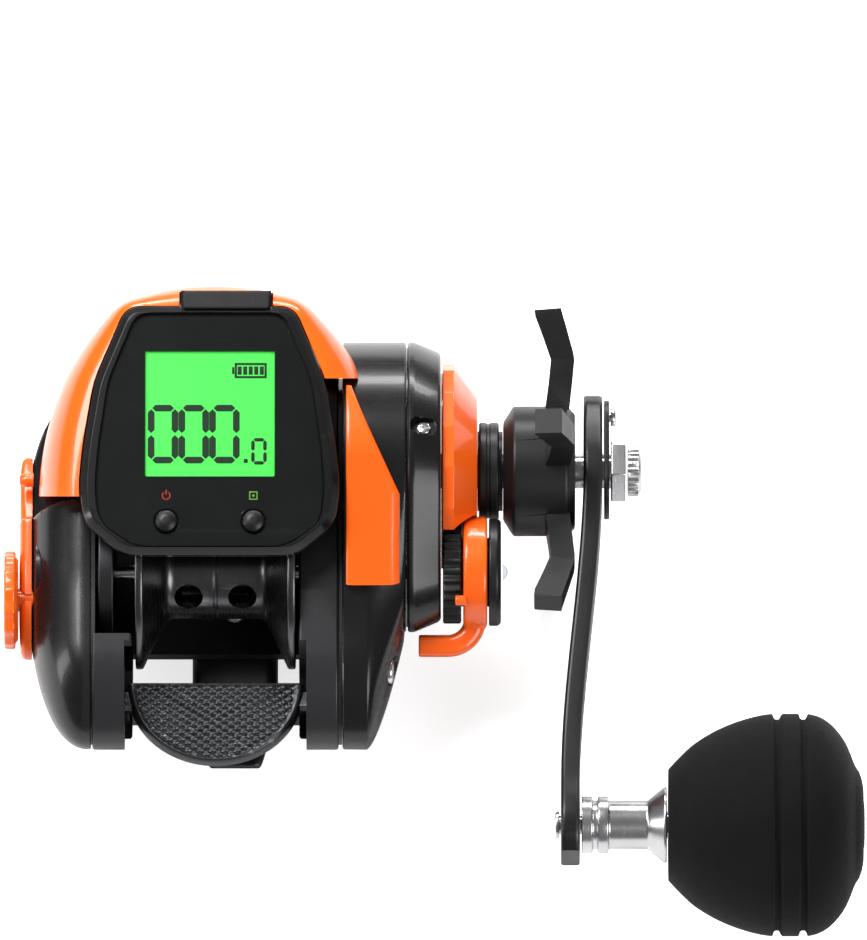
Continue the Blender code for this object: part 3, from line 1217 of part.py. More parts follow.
def display_outline(margin):
    """Outline of the display housing in its own plane, drawn in by a margin."""
    right = []
    for across, along in DISPLAY_OUTLINE_SHARES:
        right.append((across * DISPLAY_HALF_WIDTH, along * DISPLAY_LENGTH, DISPLAY_CORNER))
    left = [(-x, y, corner) for x, y, corner in reversed(right)]
    outline = rounded(right + left, 3)
    if margin:
        centre = np.array([0.0, DISPLAY_LENGTH / 2])
        outline = inset(outline, centre, margin)
    return outline


def lens_outline(margin):
    """Outline of the display's lens, drawn in by a margin."""
    right = []
    for across, along in DISPLAY_OUTLINE_SHARES:
        rim = LENS_END_RIM + margin
        y = min(max(along * DISPLAY_LENGTH, rim), DISPLAY_LENGTH - rim)
        x = across * (DISPLAY_HALF_WIDTH - LENS_SIDE_RIM - margin)
        right.append((x, y, DISPLAY_CORNER))
    left = [(-x, y, corner) for x, y, corner in reversed(right)]
    return rounded(right + left, 3)


def display():
    """Display housing with its lens, LCD, board, battery, buttons and charging port."""
    plane = DISPLAY_PLANE
    housing = plate(
        "display_housing", [display_outline(0.0)], -DISPLAY_THICKNESS, 0.0, "black_gloss", plane,
        rotation=UPRIGHT,
    )
    round_edges(housing, DISPLAY_RIM_BEVEL, 1)
    half_tongue = TONGUE_WIDTH / 2
    fuse(housing, box(
        "port_tongue", (PORT_CENTRE_X - half_tongue, DISPLAY_LENGTH - DISPLAY_WALL, -TONGUE_DEPTH),
        (PORT_CENTRE_X + half_tongue, DISPLAY_LENGTH + TONGUE_REACH, -TONGUE_TOP_DROP), None, plane,
    ))
    floor = BATTERY_TOP - BATTERY_THICKNESS - SEAT_GAP
    hinge_y = DISPLAY_LENGTH - USB_COVER_SETBACK
    half_cover = USB_COVER_WIDTH / 2 + SEAT_GAP
    socket_y = DISPLAY_LENGTH + TONGUE_REACH / 2 - USB_COVER_SETBACK / 2
    cut(
        housing,
        plate("lens_recess", [lens_outline(-SEAT_GAP)], -LENS_SINK - LENS_THICKNESS - SEAT_GAP, CUT_OVERRUN,
              None, plane, rotation=UPRIGHT),
        box("board_bay",
            (-BOARD_WIDTH / 2 - SEAT_GAP, LCD_CENTRE - BOARD_LENGTH / 2 - SEAT_GAP, floor),
            (BOARD_WIDTH / 2 + SEAT_GAP, LCD_CENTRE + BOARD_LENGTH / 2 + SEAT_GAP, 0.0), None, plane),
        turned("spool_arch", rod_profile(
            -2 * DISPLAY_HALF_WIDTH, 2 * DISPLAY_HALF_WIDTH, SPOOL_FLANGE_RADIUS + SPOOL_ARCH_GAP,
        ), None, AXIS, FINE_SIDES),
        box("port_recess",
            (PORT_CENTRE_X - half_cover, hinge_y - SEAT_GAP, -TONGUE_TOP_DROP),
            (PORT_CENTRE_X + half_cover, DISPLAY_LENGTH + CUT_OVERRUN, CUT_OVERRUN), None, plane),
        box("port_pocket",
            (PORT_CENTRE_X - SOCKET_WIDTH / 2 - SEAT_GAP, socket_y - SOCKET_HEIGHT / 2 - SEAT_GAP,
             -TONGUE_TOP_DROP - SOCKET_DEPTH - SEAT_GAP),
            (PORT_CENTRE_X + SOCKET_WIDTH / 2 + SEAT_GAP, socket_y + SOCKET_HEIGHT / 2 + SEAT_GAP, 0.0),
            None, plane),
    )
    well = BUTTON_RADIUS + RUN_GAP
    for name, side in (("power", -1), ("set", 1)):
        spot = (side * BUTTON_SPACING, BUTTON_REAR, 0.0)
        cut(housing, turned(
            name + "_well", rod_profile(-BUTTON_WELL, CUT_OVERRUN, well), None, plane, ROUND_SIDES, spot, UPRIGHT,
        ))
    lens_low = -LENS_SINK - LENS_THICKNESS
    lens = plate("display_lens", [
        lens_outline(0.0),
        circle((-BUTTON_SPACING, BUTTON_REAR), well),
        circle((BUTTON_SPACING, BUTTON_REAR), well),
    ], lens_low, -LENS_SINK, "lens", plane, rotation=UPRIGHT)
    lens_bottom = lens_low - SEAT_GAP
    box("lcd_panel",
        (-LCD_WIDTH / 2, LCD_CENTRE - LCD_LENGTH / 2, lens_bottom - LCD_THICKNESS),
        (LCD_WIDTH / 2, LCD_CENTRE + LCD_LENGTH / 2, lens_bottom), "lcd_green", plane)
    box("circuit_board",
        (-BOARD_WIDTH / 2, LCD_CENTRE - BOARD_LENGTH / 2, BOARD_TOP - BOARD_THICKNESS),
        (BOARD_WIDTH / 2, LCD_CENTRE + BOARD_LENGTH / 2, BOARD_TOP), "board_green", plane)
    battery = box("battery_cell",
        (-BATTERY_WIDTH / 2, LCD_CENTRE - BATTERY_LENGTH / 2, BATTERY_TOP - BATTERY_THICKNESS),
        (BATTERY_WIDTH / 2, LCD_CENTRE + BATTERY_LENGTH / 2, BATTERY_TOP), "steel", plane)
    round_edges(battery, BATTERY_THICKNESS / 4)
    for name, side in (("power_button", -1), ("set_button", 1)):
        rim = -BUTTON_SINK
        low = BUTTON_DOME + rim - BUTTON_HEIGHT - BUTTON_DOME
        profile = [
            (rim + BUTTON_DOME * math.cos(turn), BUTTON_RADIUS * math.sin(turn))
            for turn in np.linspace(0.0, math.pi / 2, DOME_STEPS)
        ]
        turned(name, [*profile, (low, BUTTON_RADIUS), (low, 0.0)], "black_gloss", plane, ROUND_SIDES,
               (side * BUTTON_SPACING, BUTTON_REAR, 0.0), UPRIGHT)
    top = -TONGUE_TOP_DROP - SEAT_GAP / 3
    socket = box("usb_socket",
        (PORT_CENTRE_X - SOCKET_WIDTH / 2, socket_y - SOCKET_HEIGHT / 2, top - SOCKET_DEPTH),
        (PORT_CENTRE_X + SOCKET_WIDTH / 2, socket_y + SOCKET_HEIGHT / 2, top), "steel", plane)
    cut(socket, box("socket_mouth",
        (PORT_CENTRE_X - SOCKET_WIDTH / 2 + SOCKET_WALL, socket_y - SOCKET_HEIGHT / 2 + SOCKET_WALL,
         top - SOCKET_DEPTH + SOCKET_WALL),
        (PORT_CENTRE_X + SOCKET_WIDTH / 2 - SOCKET_WALL, socket_y + SOCKET_HEIGHT / 2 - SOCKET_WALL,
         top + CUT_OVERRUN), None, plane))
    cover_low = -TONGUE_TOP_DROP + SEAT_GAP
    hinge = empty("usb_cover_hinge", (PORT_CENTRE_X, hinge_y, cover_low + USB_COVER_THICKNESS), parent=plane)
    cover = box("usb_cover",
        (-USB_COVER_WIDTH / 2, 0.0, -USB_COVER_THICKNESS), (USB_COVER_WIDTH / 2, USB_COVER_LENGTH, 0.0),
        "rubber", hinge)
    round_edges(cover, USB_COVER_EDGE)
    plug_x = SOCKET_WIDTH / 2 - SOCKET_WALL - SEAT_GAP
    plug_y = SOCKET_HEIGHT / 2 - SOCKET_WALL - SEAT_GAP
    fuse(cover, box("cover_plug",
        (-plug_x, socket_y - hinge_y - plug_y, -USB_COVER_THICKNESS - USB_PLUG_DEPTH),
        (plug_x, socket_y - hinge_y + plug_y, -USB_COVER_THICKNESS / 2), None, hinge))
    return lens


def thumb_bar():
    """Half-moon clutch bar between the frame's walls, with a lug at each end."""
    turns = np.linspace(0.0, math.pi, THUMB_STEPS)
    plan = np.column_stack([THUMB_HALF_WIDTH * np.cos(turns), -THUMB_FRONT - THUMB_REACH * np.sin(turns)])
    middle = np.array([0.0, -THUMB_FRONT - THUMB_REACH / 2])
    fall = THUMB_FALL * (plan[:, 1] + THUMB_FRONT) / THUMB_REACH
    top = np.full(len(plan), -THUMB_TOP_DROP) + fall
    low = np.full(len(plan), -THUMB_TOP_DROP - THUMB_THICKNESS)
    bar = loft("thumb_bar", [
        np.column_stack([plan, low]),
        np.column_stack([plan, top - THUMB_EDGE]),
        np.column_stack([inset(plan, middle, THUMB_EDGE / 3), top - THUMB_EDGE / 3]),
        np.column_stack([inset(plan, middle, THUMB_EDGE), top]),
    ], "graphite_metal", AXIS)
    lug_top = -THUMB_TOP_DROP - THUMB_EDGE
    for side, name in ((-1, "thumb_lug_left"), (1, "thumb_lug_right")):
        near = (THUMB_HALF_WIDTH - 2 * THUMB_LUG_REACH) * side
        far = (THUMB_HALF_WIDTH + THUMB_LUG_REACH) * side
        fuse(bar, box(
            name, (min(near, far), -THUMB_LUG_REAR - THUMB_LUG_DEPTH / 2, lug_top - THUMB_LUG_HEIGHT),
            (max(near, far), -THUMB_LUG_REAR + THUMB_LUG_DEPTH / 2, lug_top), None, AXIS,
        ))


def spool():
    """Thin-walled spool with sloping flanges, a drilled arbor and a web, and its shaft."""
    half, wall = SPOOL_HALF_WIDTH, SPOOL_WALL
    inner = SPOOL_ARBOR_RADIUS - wall
    flare = SPOOL_ARBOR_HALF + wall / 2
    lip = SPOOL_FLANGE_RADIUS - wall
    outside = [
        (half, SPOOL_FLANGE_RADIUS), (half - SPOOL_FLANGE_THICKNESS, SPOOL_FLANGE_RADIUS),
        (SPOOL_ARBOR_HALF, SPOOL_ARBOR_RADIUS), (-SPOOL_ARBOR_HALF, SPOOL_ARBOR_RADIUS),
        (-half + SPOOL_FLANGE_THICKNESS, SPOOL_FLANGE_RADIUS), (-half, SPOOL_FLANGE_RADIUS),
    ]
    inside = [
        (-half, lip), (-flare, inner), (-SPOOL_WEB_HALF, inner), (-SPOOL_WEB_HALF, SPOOL_HUB_RADIUS),
        (-SPOOL_HUB_HALF, SPOOL_HUB_RADIUS), (-SPOOL_HUB_HALF, SPOOL_BORE), (SPOOL_HUB_HALF, SPOOL_BORE),
        (SPOOL_HUB_HALF, SPOOL_HUB_RADIUS), (SPOOL_WEB_HALF, SPOOL_HUB_RADIUS), (SPOOL_WEB_HALF, inner),
        (flare, inner), (half, lip),
    ]
    body = turned("spool", outside + inside, "dark_steel", AXIS, FINE_SIDES, closed=True)
    for side in (-1, 1):
        for index in range(SPOOL_HOLE_COUNT):
            turn = SPOOL_HOLE_PHASE + index * math.tau / SPOOL_HOLE_COUNT
            cut(body, turned(
                f"arbor_hole_{'left' if side < 0 else 'right'}_{index}",
                rod_profile(SPOOL_HUB_RADIUS + wall, SPOOL_FLANGE_RADIUS, SPOOL_HOLE_RADIUS), None, AXIS,
                SMALL_SIDES, (side * SPOOL_HOLE_OFFSET, 0.0, 0.0), (math.pi / 2 + turn, 0.0, 0.0),
            ))
    shaft = turned("spool_shaft", rod_profile(
        PALM_BEARING_START, SPOOL_SHAFT_END, SPOOL_SHAFT_RADIUS,
    ), "steel", AXIS, SMALL_SIDES)
    fuse(shaft, turned("spool_pin", rod_profile(
        -SPOOL_PIN_HALF, SPOOL_PIN_HALF, SPOOL_PIN_RADIUS,
    ), None, AXIS, SMALL_SIDES, (PINION_START + PINION_SLOT_DEPTH / 2, 0.0, 0.0), UPRIGHT))


def gear(name, teeth, module, start, width, bore, finish, parent, phase=0.0):
    """A spur gear with its bore."""
    return plate(
        name, [tooth_outline(teeth, module, phase), circle((0.0, 0.0), bore)], start, start + width,
        finish, parent,
    )


def gear_train():
    """Main gear, pinion, cogs of the level wind, ratchet and drag stack on the drive shaft."""
    gear("main_gear", MAIN_TEETH, GEAR_MODULE, MAIN_GEAR_START, MAIN_GEAR_WIDTH, DRIVE_BORE, "brass", HANDLE_AXIS,
         math.pi + math.pi / MAIN_TEETH)
    pinion = gear("pinion_gear", PINION_TEETH, GEAR_MODULE, PINION_START, PINION_TOOTH_LENGTH, SPOOL_BORE, "brass",
                  AXIS)
    groove = PINION_START + PINION_TOOTH_LENGTH
    head = groove + PINION_GROOVE_LENGTH
    overlap = PINION_GROOVE_LENGTH / 4
    fuse(pinion, turned("pinion_head", [
        (head + PINION_HEAD_LENGTH, PINION_HEAD_RADIUS), (head, PINION_HEAD_RADIUS),
        (head, PINION_GROOVE_RADIUS), (groove - overlap, PINION_GROOVE_RADIUS),
        (groove - overlap, SPOOL_BORE), (head + PINION_HEAD_LENGTH, SPOOL_BORE),
    ], None, AXIS, ROUND_SIDES, closed=True))
    slot = SPOOL_PIN_RADIUS + RUN_GAP
    cut(pinion, box(
        "pinion_slot", (PINION_START - CUT_OVERRUN, -slot, -2 * PINION_HEAD_RADIUS),
        (PINION_START + PINION_SLOT_DEPTH, slot, 2 * PINION_HEAD_RADIUS), None, AXIS,
    ))
    toward = math.atan2(-WORM_DROP, WORM_REACH - HANDLE_REACH)
    gear("idler_gear", COG_TEETH, COG_MODULE, COG_START, COG_WIDTH, DRIVE_BORE, "black_satin", HANDLE_AXIS, toward)
    gear("worm_gear", COG_TEETH, COG_MODULE, COG_START, COG_WIDTH, WORM_JOURNAL_RADIUS + SEAT_GAP, "black_satin",
         WORM_AXIS, toward + math.pi + math.pi / COG_TEETH)
    steps = np.arange(RATCHET_TEETH * 2)
    angles = (steps // 2) * math.tau / RATCHET_TEETH + (steps % 2) * math.tau / RATCHET_TEETH / 8
    radii = np.where(steps % 2 == 0, RATCHET_RADIUS - RATCHET_TOOTH, RATCHET_RADIUS)
    outline = np.stack([radii * np.cos(angles), radii * np.sin(angles)], axis=1)
    plate("ratchet_wheel", [outline, circle((0.0, 0.0), DRIVE_BORE)], RATCHET_START, RATCHET_START + RATCHET_WIDTH,
          "steel", HANDLE_AXIS)
    station = MAIN_GEAR_START + MAIN_GEAR_WIDTH + SEAT_GAP
    for name, radius, thickness, finish in (
        ("drag_washer", WASHER_RADIUS, WASHER_THICKNESS, "carbon"),
        ("pressure_plate", PRESSURE_PLATE_RADIUS, PRESSURE_PLATE_THICKNESS, "steel"),
    ):
        turned(name, ring_profile(station, station + thickness, radius, DRIVE_BORE), finish, HANDLE_AXIS,
               closed=True)
        station += thickness + SEAT_GAP
    end = ARM_START + ARM_THICKNESS + OUTER_PLATE_THICKNESS + 2 * SEAT_GAP + NUT_LENGTH
    turned("drive_shaft", rod_profile(DRIVE_SHAFT_START, end, DRIVE_SHAFT_RADIUS), "steel", HANDLE_AXIS)
    turned("shaft_bearing", ring_profile(
        DRIVE_SHAFT_START, DRIVE_SHAFT_START + SHAFT_BEARING_WIDTH, SHAFT_BEARING_RADIUS, DRIVE_BORE,
    ), "steel", HANDLE_AXIS, closed=True)


def clutch_yoke():
    """Fork in the pinion's groove, sliding on two posts of the side plate."""
    middle = PINION_START + PINION_TOOTH_LENGTH + PINION_GROOVE_LENGTH / 2
    mouth = PINION_GROOVE_RADIUS + RUN_GAP
    fork = [(YOKE_FRONT, -mouth), *circle_arc(mouth, -math.pi / 2, -3 * math.pi / 2, FORK_STEPS), (YOKE_FRONT, mouth)]
    outline = [
        *fork, (YOKE_FRONT, YOKE_HALF_HEIGHT), (YOKE_CORNER_CUT - YOKE_REAR, YOKE_HALF_HEIGHT),
        (-YOKE_REAR, YOKE_HALF_HEIGHT - YOKE_CORNER_CUT), (-YOKE_REAR, YOKE_CORNER_CUT - YOKE_HALF_HEIGHT),
        (YOKE_CORNER_CUT - YOKE_REAR, -YOKE_HALF_HEIGHT), (YOKE_FRONT, -YOKE_HALF_HEIGHT),
    ]
    hole = YOKE_POST_RADIUS + SEAT_GAP
    plate("clutch_yoke", [
        outline,
        circle((YOKE_POST_Y, YOKE_POST_RISE), hole, SMALL_SIDES),
        circle((YOKE_POST_Y, -YOKE_POST_RISE), hole, SMALL_SIDES),
    ], middle - YOKE_THICKNESS / 2, middle + YOKE_THICKNESS / 2, "orange_metal", AXIS)


def circle_arc(radius, start, end, steps):
    """Points of an arc about the axis."""
    return [(radius * math.cos(a), radius * math.sin(a)) for a in np.linspace(start, end, steps)]


def level_wind():
    """Worm shaft in its slotted guard, guide rod, and the line guide with its eye and pawl."""
    wall = FRAME_WALL_START + FRAME_WEB
    turned("worm_shaft", [
        (COG_START + COG_WIDTH + SEAT_GAP, 0.0), (COG_START + COG_WIDTH + SEAT_GAP, WORM_JOURNAL_RADIUS),
        (WORM_BODY_HALF, WORM_JOURNAL_RADIUS), (WORM_BODY_HALF, WORM_RADIUS),
        (-WORM_BODY_HALF, WORM_RADIUS), (-WORM_BODY_HALF, WORM_JOURNAL_RADIUS),
        (-wall, WORM_JOURNAL_RADIUS), (-wall, 0.0),
    ], "steel", WORM_AXIS, SMALL_SIDES)
    turned("guide_rod", rod_profile(-wall, wall, GUIDE_ROD_RADIUS), "steel", WORM_AXIS, SMALL_SIDES,
           (0.0, 0.0, -GUIDE_ROD_DROP))
    guard_half = FRAME_WALL_START - SEAT_GAP
    guard = turned("worm_guard", ring_profile(-guard_half, guard_half, GUARD_RADIUS, GUARD_BORE), "graphite_metal",
                   WORM_AXIS, closed=True)
    cut(guard, box("guard_slot", (-GUARD_SLOT_HALF, -GUARD_SLOT / 2, -2 * GUARD_RADIUS),
                   (GUARD_SLOT_HALF, GUARD_SLOT / 2, 0.0), None, WORM_AXIS))
    half = GUIDE_BODY_WIDTH / 2
    rod_clear = GUIDE_ROD_RADIUS + GUIDE_STEM_WALL
    guide = turned("line_guide", rod_profile(-half, half, GUIDE_BODY_RADIUS), "black_satin", WORM_AXIS)
    eye_seat = EYE_RADIUS + SEAT_GAP
    fuse(
        guide,
        box("guide_stem", (-half + EYE_RIM, -rod_clear, -GUIDE_ROD_DROP - rod_clear),
            (half - EYE_RIM, rod_clear, -GUARD_RADIUS), None, WORM_AXIS),
        box("guide_neck", (-EYE_RADIUS, EYE_RIM - GUIDE_STEM_DEPTH / 2, GUARD_RADIUS),
            (EYE_RADIUS, GUIDE_STEM_DEPTH / 2 - EYE_RIM, EYE_RISE), None, WORM_AXIS),
        turned("eye_seat", rod_profile(-GUIDE_STEM_DEPTH / 2, GUIDE_STEM_DEPTH / 2, eye_seat + GUIDE_STEM_WALL),
               None, WORM_AXIS, ROUND_SIDES, (0.0, 0.0, EYE_RISE), ALONG_Y),
    )
    cut(
        guide,
        turned("pawl_bore", rod_profile(-GUIDE_ROD_DROP, -WORM_RADIUS, PAWL_RADIUS + RUN_GAP),
               None, WORM_AXIS, SMALL_SIDES, ORIGIN, PAWL_TURN),
        turned("guide_rod_bore", rod_profile(-half - CUT_OVERRUN, half + CUT_OVERRUN, GUIDE_ROD_RADIUS + RUN_GAP),
               None, WORM_AXIS, SMALL_SIDES, (0.0, 0.0, -GUIDE_ROD_DROP)),
        turned("guide_bore", rod_profile(-half - CUT_OVERRUN, half + CUT_OVERRUN, GUARD_RADIUS + RUN_GAP),
               None, WORM_AXIS, SMALL_SIDES),
        turned("eye_bore", rod_profile(-GUIDE_STEM_DEPTH, GUIDE_STEM_DEPTH, eye_seat),
               None, WORM_AXIS, ROUND_SIDES, (0.0, 0.0, EYE_RISE), ALONG_Y),
    )
    eye_half = GUIDE_STEM_DEPTH / 2 + EYE_RIM
    turned("guide_eye", [
        (eye_half, EYE_RADIUS - EYE_RIM), (eye_half - EYE_RIM, EYE_RADIUS), (-eye_half + EYE_RIM, EYE_RADIUS),
        (-eye_half, EYE_RADIUS - EYE_RIM), (-eye_half + EYE_RIM, EYE_BORE), (eye_half - EYE_RIM, EYE_BORE),
    ], "ceramic", WORM_AXIS, ROUND_SIDES, (0.0, 0.0, EYE_RISE), ALONG_Y, closed=True)
    tip = -WORM_RADIUS - SEAT_GAP
    turned("guide_pawl", rod_profile(-GUIDE_ROD_DROP + GUIDE_ROD_RADIUS + 2 * SEAT_GAP, tip, PAWL_RADIUS),
           "brass", WORM_AXIS, SMALL_SIDES, ORIGIN, UPRIGHT)


def drag():
    """Orange drag cover with a bite for the tension knob, the collar and the star drag."""
    end = DRAG_COVER_START + DRAG_COVER_DEPTH
    cover = turned("drag_cover", [
        (end, DRIVE_COLLAR_RADIUS), (end, DRAG_COVER_TOP_RADIUS),
        (DRAG_COVER_START + DRAG_COVER_SHOULDER, DRAG_COVER_RADIUS),
        (DRAG_COVER_START, DRAG_COVER_RADIUS), (DRAG_COVER_START, DRIVE_COLLAR_RADIUS),
    ], "orange", HANDLE_AXIS, DRAG_COVER_SIDES, closed=True)
    cut(cover, turned("drag_cover_bite", rod_profile(
        DRAG_COVER_START - CUT_OVERRUN, end + CUT_OVERRUN, GUARD_RING_RADIUS + SEAT_GAP * 2,
    ), None, AXIS, FINE_SIDES))
    start = end + SEAT_GAP
    turned("drag_collar", ring_profile(start, start + COLLAR_LENGTH, COLLAR_RADIUS, DRIVE_BORE), "black_satin",
           HANDLE_AXIS, closed=True)
    foot_end = STAR_START + STAR_FOOT_LENGTH
    shoulder = STAR_ARM_THICK / 2
    hub = turned("star_drag", [
        (STAR_END, DRIVE_BORE), (STAR_END, STAR_HUB_RADIUS - shoulder), (STAR_END - shoulder, STAR_HUB_RADIUS),
        (foot_end, STAR_HUB_RADIUS), (STAR_START, STAR_HUB_FOOT_RADIUS), (STAR_START, DRIVE_BORE),
    ], "graphite_metal", HANDLE_AXIS, FINE_SIDES, closed=True)
    t = np.linspace(0.0, 1.0, STAR_ARM_STEPS)
    reach = STAR_ARM_ROOT + (STAR_ARM_REACH - STAR_ARM_ROOT) * t
    station = STAR_ARM_STATION + STAR_ARM_RISE * np.sin(math.pi * t) - STAR_ARM_FALL * t ** 2
    thick = STAR_ARM_THIN + (STAR_ARM_THICK - STAR_ARM_THIN) * (1 - np.sin(math.pi * t))
    thick[-1] = STAR_ARM_THIN / 2
    for index in range(STAR_ARM_COUNT):
        turn = PHOTO_LEAN + index * math.tau / STAR_ARM_COUNT
        path = np.column_stack([reach * math.cos(turn), reach * math.sin(turn), station])
        fuse(hub, tube(f"star_arm_{index}", path.tolist(), thick.tolist(), None, HANDLE_AXIS, rotation=ALONG_X))


def tension():
    """Spool tension knob with a ridged rim, its clear cap, and the orange guard round its neck."""
    ridges = np.arange(TENSION_RIDGE_COUNT * 2)
    angles = ridges * math.pi / TENSION_RIDGE_COUNT
    radii = TENSION_RIDGED_RADIUS - TENSION_RIDGE * (ridges % 2)
    rim = np.stack([radii * np.cos(angles), radii * np.sin(angles)], axis=1)
    ridged_end = TENSION_START + TENSION_RIDGED_LENGTH
    knob = plate("tension_knob", [rim], TENSION_START, ridged_end, "black_satin", AXIS)
    disc_end = TENSION_DISC_START + TENSION_DISC_LENGTH
    fuse(knob, turned("tension_disc", [
        (disc_end, 0.0), (disc_end, TENSION_DISC_RADIUS - TENSION_EDGE),
        (disc_end - TENSION_EDGE, TENSION_DISC_RADIUS), (TENSION_DISC_START, TENSION_DISC_RADIUS),
        (TENSION_DISC_START, TENSION_NECK_RADIUS), (ridged_end - TENSION_EDGE, TENSION_NECK_RADIUS),
        (ridged_end - TENSION_EDGE, 0.0),
    ], None, AXIS, FINE_SIDES))
    turned("tension_cap", [
        (disc_end + SEAT_GAP + TENSION_CAP_LENGTH * math.cos(turn), TENSION_CAP_RADIUS * math.sin(turn))
        for turn in np.linspace(0.0, math.pi / 2, DOME_STEPS)
    ] + [(disc_end + SEAT_GAP, 0.0)], "clear_tint", AXIS, SMALL_SIDES)
    ring_end = GUARD_RING_START + GUARD_RING_LENGTH
    guard = turned("tension_guard", ring_profile(
        GUARD_RING_START, ring_end, GUARD_RING_RADIUS, GUARD_RING_BORE,
    ), "orange", AXIS, FINE_SIDES, closed=True)
    start = (GUARD_RING_RADIUS + GUARD_RING_BORE) / 2
    turn = np.linspace(0.0, math.pi / 2, GUARD_LEG_STEPS)
    middle = (GUARD_RING_START + ring_end) / 2
    corner = GUARD_LEG_REACH - start
    stations = list(middle - corner * (1 - np.cos(turn))) + [GUARD_FOOT_X]
    reaches = list(start + corner * np.sin(turn)) + [GUARD_LEG_REACH]
    lean = (math.cos(PHOTO_LEAN), math.sin(PHOTO_LEAN))
    path = [(-reach * lean[0], -reach * lean[1], station) for station, reach in zip(stations, reaches)]
    fuse(guard, tube("guard_leg", path, [GUARD_LEG_RADIUS] * len(path), None, AXIS, rotation=ALONG_X))


def crank():
    """Crank arm that sweeps in toward the reel at its knob end, with its plate, nut, cap and screw."""
    along = np.linspace(ARM_BACK_REACH, -ARM_REACH - ARM_TIP_REACH, ARM_STATIONS)
    places = [ARM_BACK_REACH, ARM_BACK_REACH - ARM_BACK_WIDTH / 4, 0.0, -ARM_REACH * ARM_WAIST_START_SHARE,
              -ARM_REACH * ARM_WAIST_END_SHARE, -ARM_REACH, -ARM_REACH - ARM_TIP_REACH]
    widths = [ARM_BACK_WIDTH / 2, ARM_BACK_WIDTH, ARM_HUB_WIDTH, ARM_WAIST_WIDTH, ARM_WAIST_WIDTH,
              ARM_TIP_WIDTH, ARM_TIP_WIDTH / 2]
    width = np.interp(along[::-1], places[::-1], widths[::-1])[::-1]
    sweep = np.clip(-along / (ARM_REACH - ARM_TIP_REACH), 0.0, 1.0)
    inward = ARM_OFFSET * sweep ** 2 * (3 - 2 * sweep)
    edge = ARM_THICKNESS / 4
    rings = []
    for y, wide, shift in zip(along, width, inward):
        low = ARM_START - shift
        high = low + ARM_THICKNESS
        half = wide / 2
        rings.append([
            (low + edge, y, -half), (high - edge, y, -half), (high, y, -half + edge), (high, y, half - edge),
            (high - edge, y, half), (low + edge, y, half), (low, y, half - edge), (low, y, -half + edge),
        ])
    arm = loft("handle_arm", rings, "graphite_metal", HANDLE_AXIS)
    cut(
        arm,
        turned("arm_shaft_bore", rod_profile(0.0, 2 * ARM_START, DRIVE_BORE), None, HANDLE_AXIS),
        turned("arm_spindle_bore", rod_profile(0.0, 2 * ARM_START, SPINDLE_RADIUS + SEAT_GAP), None, KNOB_AXIS,
               SMALL_SIDES),
    )
    plate_start = ARM_START + ARM_THICKNESS + SEAT_GAP
    half = OUTER_PLATE_WIDTH / 2
    lock_bore = LOCK_SCREW_RADIUS / 2 + SEAT_GAP
    plate_end = plate_start + OUTER_PLATE_THICKNESS
    plate("handle_plate", [
        rounded([
            (OUTER_PLATE_FRONT, -half, half), (OUTER_PLATE_FRONT, half, half),
            (-OUTER_PLATE_REAR, half, half), (-OUTER_PLATE_REAR, -half, half),
        ]),
        circle((0.0, 0.0), DRIVE_BORE),
        circle((LOCK_SCREW_REACH, 0.0), lock_bore, SMALL_SIDES),
    ], plate_start, plate_end, "black_satin", HANDLE_AXIS)
    screw_start = plate_end + SEAT_GAP
    turned("lock_screw", [
        (screw_start + LOCK_SCREW_HEIGHT, 0.0), (screw_start + LOCK_SCREW_HEIGHT, LOCK_SCREW_RADIUS),
        (screw_start, LOCK_SCREW_RADIUS), (screw_start, LOCK_SCREW_RADIUS / 2),
        (plate_start, LOCK_SCREW_RADIUS / 2), (plate_start, 0.0),
    ], "steel", HANDLE_AXIS, SMALL_SIDES, (0.0, LOCK_SCREW_REACH, 0.0))
    nut_start = plate_end + SEAT_GAP
    corner_radius = NUT_ACROSS / 2 / math.cos(math.pi / NUT_SIDES)
    plate("handle_nut", [circle((0.0, 0.0), corner_radius, NUT_SIDES), circle((0.0, 0.0), DRIVE_BORE)],
          nut_start, nut_start + NUT_LENGTH, "steel", HANDLE_AXIS)
    cap_start = nut_start + NUT_LENGTH + SEAT_GAP
    cap_end = cap_start + NUT_CAP_LENGTH
    turned("nut_cap", [
        (cap_end, 0.0), (cap_end, NUT_CAP_RADIUS - NUT_CAP_LENGTH / 4),
        (cap_end - NUT_CAP_LENGTH / 4, NUT_CAP_RADIUS), (cap_start, NUT_CAP_RADIUS), (cap_start, 0.0),
    ], "steel", HANDLE_AXIS)


